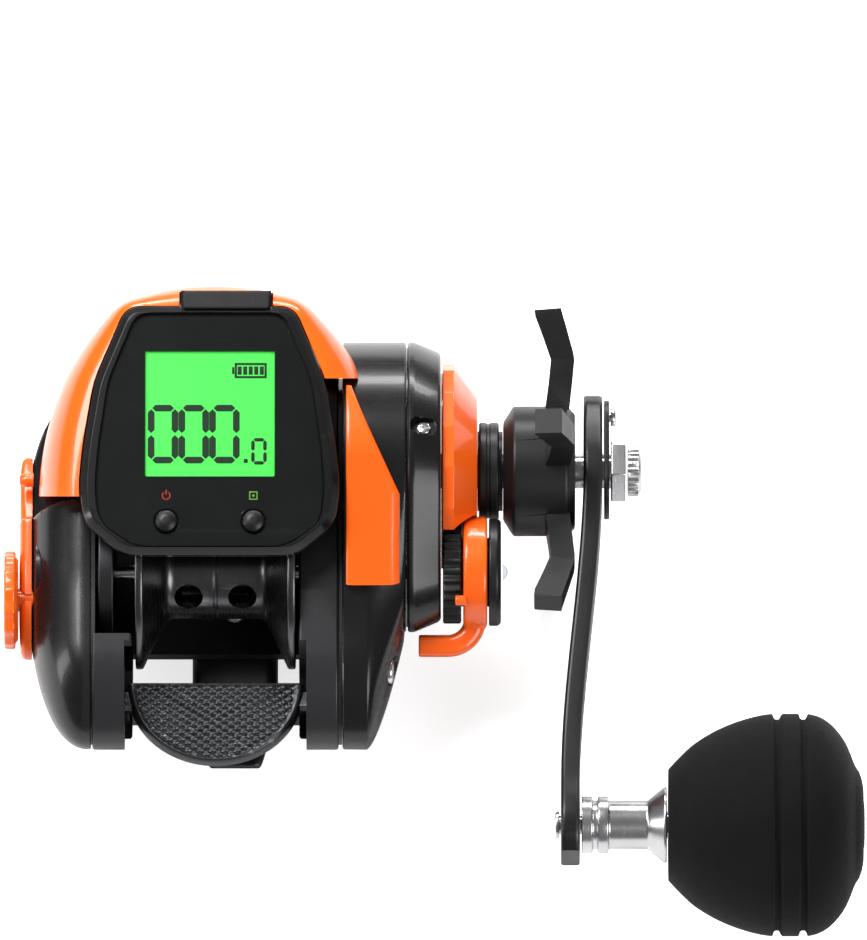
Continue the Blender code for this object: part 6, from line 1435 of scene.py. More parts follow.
    def trim(self) -> None:
        """Orange trim along the top of the plate: crowned, and narrowing to a point at its front."""
        ring = around(self.full(), self.centre, 500)
        angles = np.degrees(np.arctan2(ring[:, 1] - self.centre[1], ring[:, 0] - self.centre[0]))
        run = ring[(angles > self.trim_angles[0]) & (angles < self.trim_angles[1])]
        outward = (run - self.centre) / np.linalg.norm(run - self.centre, axis=1, keepdims=True)
        start, end = (self.start + shift for shift in self.trim_ends)
        seen = run[:, 0] * cos(LEAN) + run[:, 1] * sin(LEAN)
        width = np.clip((self.trim_tip - seen) / self.trim_taper, 0.05, 1) * (end - start)
        across = np.concatenate([[0, 0, 0.012, 0.04, 0.09], np.linspace(0.16, 0.8, 7),
                                 [0.86, 0.93, 0.975, 1, 1]])
        rise = np.concatenate([[0, 1.1, 1.5, 1.68, 1.76], np.linspace(1.8, 1.72, 7),
                               [1.64, 1.3, 0.95, 0.6, 0]])
        rings = []
        for spot, away, wide in zip(run, outward, width):
            level = spot + away * (self.trim_gap + rise[:, None])
            rings.append(np.column_stack([level, start + across * wide]))
        piece("orange_trim", Skin.loft(rings).at(SIDE), Kit.ORANGE, "reel", ["side_trim"], edge=0.2)


@dataclass
class Display:
    """Display housing with lens, screen, buttons and the covered charging socket."""

    length: float = 44
    half: float = 22.7
    thick: float = FACE_THICKNESS
    corner: float = 2.6
    chamfer: float = 1.3
    shares: Pairs = (
        (0.66, 0), (0.965, 0.13), (1, 0.27), (0.97, 0.44), (0.885, 0.7), (0.64, 1),
    )
    recess: Pair = (2.5, 1.2)
    recess_floor: float = -1.75
    tongue: Box = ((-5.1, 42, -8), (10.7, 46.9, -1.5))
    screen_well: Box = ((-13.8, 13.7, -6.25), (13.8, 36.3, 0))
    port_wells: Boxes = (
        ((-5, 43.2, -1.5), (10.6, 50, 3)), ((-1.3, 43.35, -6.8), (6.9, 46.55, 0)),
    )
    spool_clearance: Bore = (-46, 46, 17.8)
    lens_rims: Pair = (2.8, 1.5)
    lens_ends: Ends = (-1.05, -0.25, 0.3)
    mask_rims: Pair = (2.9, 1.6)
    mask_ends: Ends = (-1.45, -1.12, 0.02)
    print_ends: Ends = (-1.1, -1.07, 0.005)
    window_low: Pair = (-11.3, 13.9)
    window_high: Pair = (11.3, 36.1)
    panel_floor: float = -2.95
    screen_top: float = -1.75
    segment_ends: Ends = (0.02, 0.1, 0.02)
    button_x: float = 7.6
    button_y: float = 5.9
    button_well: Bore = (-2.7, 3, 2.25)
    button: Profile = (
        (0.35, 0), (0.33, 0.9, 0.6), (-0.1, 1.8, 0.5), (-0.4, 1.9, 0.1), (-1.7, 1.9, 0.1), (-1.7, 0),
    )
    mark_rise: float = 4.6
    flap_low: Point = (-4.7, 43.5, -1.2)
    flap_high: Point = (10.3, 46.6, -0.15)
    plug: Box = ((-0.25, 44.65, -1.8), (5.85, 45.75, -0.8))
    ribs: tuple[float, ...] = (-2.9, -2.1, 7.4, 8.2)
    rib: Box = ((0, 44.3, -0.6), (0.35, 46, -0.1))

    def outline(self, rim: float = 0, ends: float = 0) -> Ring:
        """Outline of the housing, or of the lens.

        Args:
            rim: How far its sides are drawn in.
            ends: How far its two ends are drawn in.

        Returns:
            The outline's points.
        """
        right = []
        for across, along in self.shares:
            y = min(max(along * self.length, ends), self.length - ends)
            right.append((across * (self.half - rim), y, self.corner))
        return rounded(right + [(-x, y, reach) for x, y, reach in reversed(right)], 8)

    def build(self) -> None:
        """Make the display."""
        self.housing()
        self.screen()
        self.buttons()
        self.port()

    def spots(self) -> list[Pair]:
        """Middles of the left and right button."""
        return [(side * self.button_x, self.button_y) for side in (-1, 1)]

    def housing(self) -> None:
        """Housing with a chamfered rim, the lens recess, button wells and the port block."""
        body = Skin.slab([self.outline()], -self.thick, 0, self.chamfer, CHAMFER_EDGE).at(FACE)
        tongue = Skin.block(*self.tongue).at(FACE)
        piece("display_case", body, Kit.BEZEL, "reel", ["display_housing"], [tongue], [
            Skin.slab([self.outline(*self.recess)], self.recess_floor, 3, 0).at(FACE),
            Skin.block(*self.screen_well).at(FACE), drilled(self.spool_clearance, SIDE, 128),
            *[Skin.block(*well).at(FACE) for well in self.port_wells],
            *[drilled(self.button_well, FACE.at(*spot)) for spot in self.spots()],
        ], 0.12)

    def screen(self) -> None:
        """Lens, black mask under it, green panel and its segments."""
        wells = [circle(self.button_well[2], 48, spot) for spot in self.spots()]
        lens = Skin.slab([self.outline(*self.lens_rims), *wells], *self.lens_ends)
        piece("display_window", lens.at(FACE), Kit.LENS, "reel", ["display_lens"])
        (left, low), (right, high) = self.window_low, self.window_high
        window = rounded([(left, low, 0.3), (right, low, 0.3), (right, high, 0.3), (left, high, 0.3)], 3)
        mask = Skin.slab([self.outline(*self.mask_rims), *wells, window], *self.mask_ends)
        piece("display_mask", mask.at(FACE), Kit.BEZEL, "reel")
        panel = Skin.block((left, low, self.panel_floor), (right, high, self.screen_top), 0.12).at(FACE)
        piece("screen_panel", panel, Kit.LCD, "reel", ["lcd_panel"])
        marks = Skin(np.zeros((0, 3)))
        start, end, edge = self.segment_ends
        for outline in self.segments():
            marks = marks + Skin.slab([outline], self.screen_top + start, self.screen_top + end, edge)
        piece("screen_segments", marks.at(FACE), Kit.SEGMENT, "reel")
        dress(Kit.BOARD, "circuit_board")
        dress(Kit.STEEL, "battery_cell")

    def segments(self) -> list[Ring]:
        """Outlines of the lit segments: three figures, a point, a small figure and the battery mark.

        Returns:
            The outlines, seen from the front.
        """
        shapes = []
        for index in range(3):
            shapes += self.figure(-10.25 + index * 5.35, 16.9, 4.15, 9.2, 1.15)
        shapes += self.figure(7.5, 16.4, 2.1, 4.1, 0.6)
        shapes.append(rounded([(5.9, 16.4, 0.1), (6.6, 16.4, 0.1), (6.6, 17.1, 0.1), (5.9, 17.1, 0.1)], 2))
        shapes += self.battery(4.3, 31.4, 5.6, 2.7)
        return shapes

    def figure(self, x: float, y: float, wide: float, tall: float, bar: float) -> list[Ring]:
        """A seven-segment nought: six bars with mitred ends.

        Args:
            x: Left end of its centreline.
            y: Lower end of its centreline.
            wide: Width of its centreline.
            tall: Height of its centreline.
            bar: Thickness of the bars.

        Returns:
            Outlines of the bars.
        """
        gap = bar * 0.16
        half = tall / 2

        def mitred(start: Pair, end: Pair) -> Ring:
            """A bar between two corners of the figure.

            Args:
                start: The first corner.
                end: The second corner.

            Returns:
                The bar's outline, pointed at both ends.
            """
            a, b = np.array(start), np.array(end)
            along = (b - a) / np.linalg.norm(b - a)
            side = np.array([-along[1], along[0]]) * bar / 2
            a, b = a + along * gap, b - along * gap
            inward = along * bar / 2
            below, above = inward - side, inward + side
            return np.array([a, a + below, b - above, b, b - below, a + above])

        right, top, middle = x + wide, y + tall, y + half
        corners = [(x, y), (right, y), (right, middle), (right, top), (x, top), (x, middle)]
        return [mitred(corners[i], corners[(i + 1) % 6]) for i in range(6)]

    def battery(self, x: float, y: float, wide: float, tall: float) -> list[Ring]:
        """Battery mark: a frame of four bars, a tip and five cells.

        Args:
            x: Its left end.
            y: Its lower end.
            wide: Its width.
            tall: Its height.

        Returns:
            Outlines of its parts.
        """
        bar, cells = 0.38, 5

        def patch(x0: float, y0: float, x1: float, y1: float) -> Ring:
            """A rectangle between two corners."""
            return np.array([(x0, y0), (x1, y0), (x1, y1), (x0, y1)])

        shapes = [patch(x, y, x + wide, y + bar), patch(x, y + tall - bar, x + wide, y + tall),
                  patch(x, y + bar, x + bar, y + tall - bar),
                  patch(x + wide - bar, y + bar, x + wide, y + tall - bar),
                  patch(x - 0.45, y + tall * 0.28, x - 0.08, y + tall * 0.72)]
        step = (wide - 2 * bar) / cells
        for index in range(cells):
            left = x + bar + step * index + 0.14
            shapes.append(patch(left, y + 0.62, left + step - 0.28, y + tall - 0.62))
        return shapes

    def buttons(self) -> None:
        """Domed power and set buttons with a printed mark above each."""
        marks = (self.ring_mark(), self.tick_mark())
        kits = (Kit.RED_PRINT, Kit.GREEN_PRINT)
        for name, spot, mark, kit in zip(("power", "set"), self.spots(), marks, kits):
            dome = Skin.turned(self.button, 64, 6).at(FACE.at(*spot))
            piece(f"{name}_key", dome, Kit.SATIN, name, [f"{name}_button"])
            piece(f"{name}_mark", mark.at(FACE.at(spot[0], spot[1] + self.mark_rise)), kit, "reel")

    def ring_mark(self) -> Skin:
        """Power mark: an open ring and an upright bar, printed under the lens.

        Returns:
            The closed shapes.
        """
        turns = np.radians(np.linspace(125, 415, 30))
        outer = np.column_stack([0.8 * np.cos(turns), 0.8 * np.sin(turns)])
        ring = np.vstack([outer, (outer * 0.68)[::-1]])
        bar = np.array([(-0.13, 0.15), (0.13, 0.15), (0.13, 1), (-0.13, 1)])
        return Skin.slab([ring], *self.print_ends) + Skin.slab([bar], *self.print_ends)

    def tick_mark(self) -> Skin:
        """Set mark: a plain square frame with a dot.

        Returns:
            The closed shapes.
        """
        square = np.array([(-0.75, -0.75), (0.75, -0.75), (0.75, 0.75), (-0.75, 0.75)])
        dot = Skin.slab([circle(0.25, 20)], *self.print_ends)
        return Skin.slab([square, square * 0.7], *self.print_ends) + dot

    def port(self) -> None:
        """Rubber cover with grip ribs on its hinge, over the charging socket."""
        (left, rear, low), (right, front, high) = self.flap_low, self.flap_high
        outline = rounded([(left, rear, 0.6), (right, rear, 0.6), (right, front, 0.6), (left, front, 0.6)], 5)
        joins = [Skin.block(*self.plug).at(FACE)]
        (near, rear, low_rib), (far, front, high_rib) = self.rib
        joins += [Skin.block((x + near, rear, low_rib), (x + far, front, high_rib)).at(FACE)
                  for x in self.ribs]
        cover = Skin.slab([outline], low, high, 0.3).at(FACE)
        piece("port_flap", cover, Kit.RUBBER, "port_cover", ["usb_cover"], joins, edge=0.06)
        dress(Kit.STEEL, "usb_socket")


FAR = 74


@dataclass
class Hood:
    """Orange hood round the front of the display, with the line window in its nose."""

    half: float = 31
    centre_y: float = 10
    length: float = 36.9
    plan: float = 2.2
    shoulder: float = 2.4
    base: float = 3
    drop: float = 1.6
    wall: float = 1.8
    inner_half: float = 21.8
    skirts: Pair = (-8, -11)
    display_gap: float = 0.3
    display_ends: Pair = (-9.3, 6)
    nose: Pairs = ((0, -FAR), (35.3, -FAR), (35.3, 8.3))
    under: Pairs = ((27.3, 27), (0, 0))
    seams: Boxes = (
        ((-FAR, -FAR, -FAR), (-15.5, 13.3, FAR)), ((11.35, -FAR, -FAR), (FAR, 33.9, FAR)),
    )
    palm_cut: Box = ((-FAR, -FAR, -FAR), (-21.5, 35.8, 1.2))
    housing_bore: Bore = (21.5, FAR, 22.05)
    window: Profile = ((-11, 1, 1.5), (11, 1, 1.5), (11, 12, 2.5), (-11, 12, 2.5))
    window_end: float = -60
    port_cut: Box = ((-5.4, 41, -8.3), (11, 47.2, 6))
    display: Display = field(default_factory=Display)

    def ring(self, share: float, half: float, length: float, wall: float) -> np.ndarray:
        """One level: the plan is a superellipse that turns into the display's outline as it rises.

        Args:
            share: Its height as a share of a quarter turn.
            half: Half the width at the base.
            length: Reach of the nose at the base.
            wall: How far inside the outer form it lies.

        Returns:
            The ring's points.
        """
        turns = np.radians(np.linspace(-28, 208, 150))
        power = 2 / self.plan
        outer = np.column_stack([
            half * np.sign(np.cos(turns)) * np.abs(np.cos(turns)) ** power,
            self.centre_y + length * np.sign(np.sin(turns)) * np.abs(np.sin(turns)) ** power,
        ])
        centre = np.array([FACE_X, self.centre_y])
        rim = self.display.outline()
        rim = np.column_stack([rim[:, 0] + FACE_X, FACE_REAR + rim[:, 1] * cos(TILT)])
        count = 720
        dense = around(rim, centre, count)
        angles = np.arctan2(outer[:, 1] - centre[1], outer[:, 0] - centre[0]) % tau
        reach = np.interp(angles, np.arange(count) * tau / count, np.linalg.norm(dense - centre, axis=1),
                          period=tau) - wall
        top = centre + reach[:, None] * np.column_stack([np.cos(angles), np.sin(angles)])
        top_z = FACE_RISE + (top[:, 1] - FACE_REAR) * tan(TILT) - self.drop - wall
        turn = share * pi / 2
        inward = 1 - cos(turn) ** (2 / self.shoulder)
        upward = sin(turn) ** (2 / self.shoulder)
        plan = outer + (top - outer) * inward
        return np.column_stack([plan, self.base + (top_z - self.base) * upward])

    def form(self, half: float, length: float, wall: float, bottom: float) -> Skin:
        """Outer or inner form of the hood.

        Args:
            half: Half the width at the base.
            length: Reach of the nose at the base.
            wall: How far inside the outer form it lies.
            bottom: Height of its lower end.

        Returns:
            The shape in the world.
        """
        skirt = self.ring(0, half, length, wall)
        skirt[:, 2] = bottom
        levels = [self.ring(share, half, length, wall) for share in np.linspace(0, 1, 22)]
        return Skin.loft([skirt, *levels]).at(FLAT)

    def build(self) -> None:
        """Make the hood by hollowing its form and cutting its seams."""
        clear = self.inner_half
        nose = [*self.nose, *((y, under_display(at)) for y, at in self.under)]
        piece("orange_hood", self.form(self.half, self.length, 0, self.skirts[0]), Kit.ORANGE, "reel",
              ["nose_cover"], cut=[
            self.form(clear, self.length - self.wall, self.wall, self.skirts[1]),
            Skin.slab([offset(self.display.outline(), -self.display_gap)], *self.display_ends, 0).at(FACE),
            Skin.slab([np.array(nose)], -clear, clear, 0).at(SIDE),
            *[Skin.block(*seam).at(SEAM) for seam in self.seams],
            Skin.block(*self.palm_cut).at(FLAT),
            drilled(self.housing_bore, SIDE.at(*HOUSING_CENTRE), 160),
            Skin.slab([rounded(self.window, 6)], self.window_end, -self.centre_y, 0).at(AHEAD),
            Skin.block((-clear, -FAR, -FAR), (FAR, self.centre_y, FAR)).at(FLAT),
            Skin.block(*self.port_cut).at(FACE),
        ], edge=0.3)


@dataclass
class Spool:
    """Thin-walled spool with sloping flanges and a drilled arbor, on its shaft."""

    line: Profile = (
        (14, 17, 0.4), (12.7, 17, 0.4), (8.6, 8.2, 1.6), (0.35, 8.2, 0.1), (0.2, 8, 0.05),
        (-0.2, 8, 0.05), (-0.35, 8.2, 0.1), (-8.6, 8.2, 1.6), (-12.7, 17, 0.4), (-14, 17, 0.4),
        (-14, 15.7, 0.3), (-9.25, 6.9, 0.8), (-1.1, 6.9, 0.5), (-1.1, 4, 0.5), (-6, 4, 0.3),
        (-6, 1.5, 0.1), (6, 1.5, 0.1), (6, 4, 0.3), (1.1, 4, 0.5), (1.1, 6.9, 0.5),
        (9.25, 6.9, 0.8), (14, 15.7, 0.3),
    )
    hole: Bore = (5.3, 17, 2.5)
    hole_x: float = 4.7
    hole_start: float = radians(32.5)
    holes: int = 5
    shaft: Rod = (-26.6, 38.9, 1.2, 0.2)
    pin: Bore = (-1.9, 1.9, 0.7)
    pin_x: float = 22.75

    def build(self) -> None:
        """Make the spool and its shaft."""
        cuts = []
        for side in (-1, 1):
            for index in range(self.holes):
                turn = self.hole_start + index * tau / self.holes
                place = Place((side * self.hole_x, 0, AXIS_HEIGHT), (1, 0, 0),
                              (0, sin(turn), cos(turn)), (0, -cos(turn), sin(turn)))
                cuts.append(drilled(self.hole, place, 40))
        body = Skin.turned(self.line, 144, 5, True).at(SIDE)
        piece("spool_body", body, Kit.TURNED, "spool", ["spool"], cut=cuts, edge=0.2)
        piece("spool_axle", rod(self.shaft, 32).at(SIDE), Kit.STEEL, "spool", ["spool_shaft"],
              [drilled(self.pin, FLAT.at(self.pin_x), 24)], edge=0.08)


@dataclass
class ThumbBar:
    """Half-moon clutch bar with a chequered top."""

    half: float = 15.4
    front: float = -18.5
    reach: float = 14.5
    top: float = -5.6
    fall: float = 1.6
    bottom: float = -9.8
    bottom_edge: float = 0.4
    bottom_share: float = 0.97
    pitch: float = 1.35
    slant: float = 0.62
    teeth: float = 0.26
    rim: float = 0.93
    rim_fade: float = 0.03
    shoulders: Pairs = ((1, 0.9), (0.995, 0.5), (0.975, 0.15), (0.95, 0))
    lug: Box = ((12.4, -22.7, -8.7), (16.9, -20.1, -6.5))

    def chequer(self, x: np.ndarray, y: np.ndarray, share: float) -> np.ndarray:
        """Height of the pyramids: the smaller of two slanted waves, fading out at the rim.

        Args:
            x: Where on the bar, across.
            y: Where on the bar, along.
            share: Distance from the bar's middle as a share of its outline's.

        Returns:
            Heights, from minus the depth of the teeth to 0.
        """
        a = np.abs(((x * self.slant + y) / self.pitch) % 1 - 0.5) * 2
        b = np.abs(((x * self.slant - y) / self.pitch) % 1 - 0.5) * 2
        fade = min(1, max(0, (self.rim - share) / self.rim_fade))
        return self.teeth * (np.minimum(np.minimum(a, b) * 1.6, 1) - 1) * fade

    def build(self) -> None:
        """Make the bar as rings that shrink about its middle, the inner ones chequered."""
        turns = np.linspace(0, pi, 170)
        arc = np.column_stack([self.half * np.cos(turns), self.front - self.reach * np.sin(turns)])
        chord = np.column_stack([np.linspace(-self.half, self.half, 122)[1:-1], np.full(120, self.front)])
        plan = np.vstack([arc, chord])
        middle = np.array([0, self.front - self.reach / 2])

        def level(share: float, top: float) -> np.ndarray:
            """A ring of the sloping top.

            Args:
                share: Its size as a share of the outline's.
                top: How far it lies below the top.

            Returns:
                The ring's points.
            """
            ring = middle + (plan - middle) * share
            fall = self.fall * (ring[:, 1] - self.front) / self.reach
            return np.column_stack([ring, self.top + fall - top])

        low = middle + (plan - middle) * self.bottom_share
        rings = [lift(low, self.bottom), lift(plan, self.bottom + self.bottom_edge)]
        rings += [level(share, top) for share, top in self.shoulders]
        for share in np.linspace(0.94, 0, 100):
            ring = level(share, 0)
            ring[:, 2] += self.chequer(ring[:, 0], ring[:, 1], share)
            rings.append(ring)
        bar = Skin.loft(rings)
        bar.faces = bar.faces[:-1]
        piece("clutch_bar", bar.at(FLAT), Kit.THUMB, "thumb", ["thumb_bar"], twins(*self.lug),
              sharp=radians(50))


@dataclass
class Drag:
    """Faceted drag cover, collar and five-armed star."""

    facets: int = 16
    cover: Profile = ((45.75, 4.4), (45.75, 13), (41.65, 18.8), (39.75, 18.8), (39.75, 4.4))
    register: Bore = (39.45, 40.5, 17.2)
    tension_bore: Bore = (36, 50, 10.3)
    shaft_bore: Bore = (39, 46, 4.4)
    collar: Profile = (
        (45.8, 7), (46.05, 7), (46.05, 8.3, 0.1), (46.35, 8.55, 0.1), (47.3, 8.55),
        (47.5, 8.3), (47.9, 8.3), (48.1, 8.55), (49.3, 8.55, 0.1), (49.55, 8.3, 0.1),
        (49.55, 7), (50.22, 7), (50.22, 3.3), (45.8, 3.3),
    )
    hub: Profile = (
        (62.9, 3.3), (62.9, 10, 0.3), (61.5, 11.4, 0.4), (52.1, 11.4, 0.4), (50.3, 8.6, 0.3),
        (50.3, 3.3),
    )
    star_bore: Bore = (40, 70, 3.35)
    arms: int = 5
    arm: tuple[tuple[float, float, float, float], ...] = (    # reach, station, half width, half height
        (7, 59.6, 2.9, 2.3), (11, 59.8, 2.6, 2.15), (15, 60.3, 2.2, 2.1), (19.6, 60.75, 1.95, 2.1),
        (20, 60.7, 1.95, 2.1), (24.2, 59.4, 2.05, 2.25), (27.8, 58.2, 2.25, 2.4), (28.45, 58.15, 2.25, 2.4),
    )
    arm_power: float = 40

    def build(self) -> None:
        """Make the three pieces."""
        cuts = [drilled(self.tension_bore, SIDE, 120), drilled(self.shaft_bore, DRIVE)]
        cover = Skin.turned(self.cover, self.facets, closed=True).at(DRIVE)
        piece("orange_drag_cover", cover, Kit.ORANGE, "reel", ["drag_cover"],
              [drilled(self.register, DRIVE, 120)], cuts, 0.4, radians(15))
        collar = Skin.turned(self.collar, closed=True).at(DRIVE)
        piece("collar_ring", collar, Kit.SATIN, "reel", ["drag_collar"])
        self.star()

    def star(self) -> None:
        """Stepped hub with five bent, square-edged arms."""
        table = np.array(self.arm)
        path = np.column_stack([np.zeros(len(table)), table[:, :2]])
        arms = []
        for index in range(self.arms):
            place = DRIVE.turn(LEAN + index * tau / self.arms - pi / 2)
            arms.append(Skin.swept(path, table[:, 2:], (1, 0, 0), self.arm_power, 4).at(place))
        hub = Skin.turned(self.hub, 120, closed=True).at(DRIVE)
        piece("star_casting", hub, Kit.SATIN, "star", ["star_drag"], arms,
              [drilled(self.star_bore, DRIVE, 64)], 0.3, radians(20))


@dataclass
class Tension:
    """Spool tension knob with its clear cap, and the orange guard round its neck."""

    rim: Flutes = (9, 0.6, 32, 0.8, 8)
    rim_ends: Ends = (39.75, 42.95, 0.35)
    disc: Profile = (
        (49.9, 0), (49.9, 2.2, 0.2), (49.6, 2.6, 0.2), (49.6, 7.6, 0.2), (49.9, 8, 0.2),
        (49.9, 8.9, 0.3), (49.3, 9.4, 0.3), (47.8, 9.4, 0.3), (47.8, 6, 0.2), (42.5, 6),
        (42.5, 0),
    )
    cap: Profile = ((51.1, 0), (50.9, 0.8, 0.5), (50.3, 1.35, 0.2), (50.2, 1.4), (50.2, 0))
    ring: Profile = ((47.5, 9.7, 0.6), (43.3, 9.7, 0.6), (43.3, 6.5, 0.4), (47.5, 6.5, 0.4))
    leg_half: float = 1.95
    leg_power: float = 3
    leg_start: Pair = (45.4, 8.1)
    leg_bend: float = 4.8
    leg_foot: tuple[float, ...] = (39, 37.2, 35.5)
    leg_reach: float = 12.9
    peg: Profile = ((43.8, 0), (43.8, 0.9, 0.1), (41.9, 0.9, 0.25), (41.9, 0))
    peg_reach: float = 9.75
    peg_turn: float = radians(205 - 60)

    def build(self) -> None:
        """Make the knob, the cap and the guard."""
        rim = Skin.slab([fluted(*self.rim)], *self.rim_ends).at(SIDE)
        piece("tension_wheel", rim, Kit.SATIN, "tension", ["tension_knob"],
              [Skin.turned(self.disc, 120).at(SIDE)], edge=0.1)
        piece("tension_lens", Skin.turned(self.cap, 48, 6).at(SIDE), Kit.CAP, "tension", ["tension_cap"])
        ring = Skin.turned(self.ring, 120, 5, True).at(SIDE)
        piece("orange_guard", ring, Kit.ORANGE, "reel", ["tension_guard"], [self.leg()], fused=0.22)
        place = SIDE.turn(self.peg_turn).at(self.peg_reach)
        piece("guard_peg", Skin.turned(self.peg, 32).at(place), Kit.ORANGE, "reel")

    def leg(self) -> Skin:
        """Leg of the guard: out from the ring, round a quarter bend and into the housing.

        Returns:
            The shape in the world.
        """
        turn = np.linspace(0, pi / 2, 24)
        station, reach = self.leg_start
        stations = np.append(station - self.leg_bend * (1 - np.cos(turn)), self.leg_foot)
        reaches = np.append(reach + self.leg_bend * np.sin(turn), [self.leg_reach] * len(self.leg_foot))
        path = np.column_stack([-reaches * cos(LEAN), -reaches * sin(LEAN), stations])
        halves = np.full((len(path), 2), self.leg_half)
        return Skin.swept(path, halves, (sin(LEAN), -cos(LEAN), 0), self.leg_power).at(SIDE)


@dataclass
class Crank:
    """Crank arm that sweeps in toward the reel, with its plate, nut, cap and lock screw."""

    arm_line: Pairs = (    # station along the arm, width
        (-74.3, 6.5), (-72.5, 10.6), (-68, 13), (-60, 10.6), (-51, 9), (-27.2, 9), (-10, 11.8),
        (0, 14), (6, 12.2), (11.25, 9), (13.5, 4.8),
    )
    arm_width: float = 14
    arm_base: float = 64.4
    arm_thickness: float = 3.3
    arm_edge: float = 0.8
    sweep: float = 4.1
    sweep_length: float = 61.7
    shaft_bore: Bore = (50, 80, 3.3)
    spindle_bore: Bore = (50, 80, 1.9)
    plate: Profile = ((12.8, -5.8, 5.8), (12.8, 5.8, 5.8), (-8.4, 5.8, 5.8), (-8.4, -5.8, 5.8))
    plate_ends: Ends = (68, 68.9, 0.2)
    lock_reach: float = 10.4
    lock_hole: float = 1.1
    nut_corner: float = 5.889
    nut_ends: Ends = (69.2, 71.8, 0.25)
    nut_bevel: Profile = ((60, 7.5), (70.9, 7.5), (73, 5), (73, 9), (60, 9))
    cap: Flutes = (4.4, 0.28, 26, 0.8, 6)
    cap_ends: Ends = (72.1, 74.1, 0.15)
    cap_top: Profile = ((73.5, 0), (73.5, 3.9), (74.1, 3.9, 0.2), (74.6, 3.3, 0.2), (74.6, 0))
    lock: Profile = (
        (68, 0), (68, 0.8), (69.2, 0.8), (69.2, 1.6, 0.1), (69.9, 1.6, 0.3), (70.3, 0.8, 0.3),
        (70.3, 0),
    )
    lock_slot: Box = ((-1.8, -0.22, 69.8), (1.8, 0.22, 71))
    shaft: Rod = (15, 71.8, 3, 0.3)

    def arm(self) -> Skin:
        """Arm: its width follows a smooth curve, and it sweeps in by a smooth step.

        Returns:
            The shape in the world.
        """
        table = np.array(self.arm_line)
        steps = np.arange(len(table))
        along = np.linspace(table[-1, 0], table[0, 0], 90)
        order = np.interp(along, table[:, 0], steps)
        curve = spline(np.column_stack([steps, table[:, 1]]), 600)
        width = np.minimum(np.interp(order, curve[:, 0], curve[:, 1]), self.arm_width)
        sweep = np.clip(-along / self.sweep_length, 0, 1)
        inward = self.sweep * sweep ** 2 * (3 - 2 * sweep)
        rings = []
        for y, wide, shift in zip(along, width, inward):
            low, half = self.arm_base - shift, wide / 2
            high = low + self.arm_thickness
            corners = ((low, -half), (high, -half), (high, half), (low, half))
            section = rounded([(x, z, self.arm_edge) for x, z in corners], 5)
            rings.append(np.column_stack([np.full(len(section), y), section[:, 1], section[:, 0]]))
        return Skin.loft(rings).at(DRIVE)

    def build(self) -> None:
        """Make the crank."""
        shaft_hole = self.shaft_bore[2]
        piece("crank_arm", self.arm(), Kit.GRAPHITE, "handle", ["handle_arm"],
              cut=[drilled(self.shaft_bore, DRIVE, 64), drilled(self.spindle_bore, KNOB)], edge=0.2)
        holes = [circle(shaft_hole), circle(self.lock_hole, 32, (self.lock_reach, 0))]
        plate = Skin.slab([rounded(self.plate, 14), *holes], *self.plate_ends).at(DRIVE)
        piece("crank_plate", plate, Kit.SATIN, "handle", ["handle_plate"])
        corners = [(self.nut_corner * cos(a), self.nut_corner * sin(a), 0.25)
                   for a in np.arange(6) * pi / 3]
        nut = Skin.slab([rounded(corners, 3), circle(shaft_hole)], *self.nut_ends)
        bevel = Skin.turned(self.nut_bevel, 64, closed=True)
        piece("crank_nut", nut.at(DRIVE), Kit.STEEL, "handle", ["handle_nut"], cut=[bevel.at(DRIVE)],
              edge=0.08)
        cap = Skin.slab([fluted(*self.cap)], *self.cap_ends).at(DRIVE)
        piece("crank_cap", cap, Kit.STEEL, "handle", ["nut_cap"], [Skin.turned(self.cap_top, 64).at(DRIVE)],
              edge=0.08)
        place = DRIVE.at(self.lock_reach)
        piece("crank_lock", Skin.turned(self.lock, 40).at(place), Kit.STEEL, "handle", ["lock_screw"],
              cut=[Skin.block(*self.lock_slot).at(place)], edge=0.06)
        piece("drive_axle", rod(self.shaft, 64).at(DRIVE), Kit.STEEL, "handle", ["drive_shaft"])


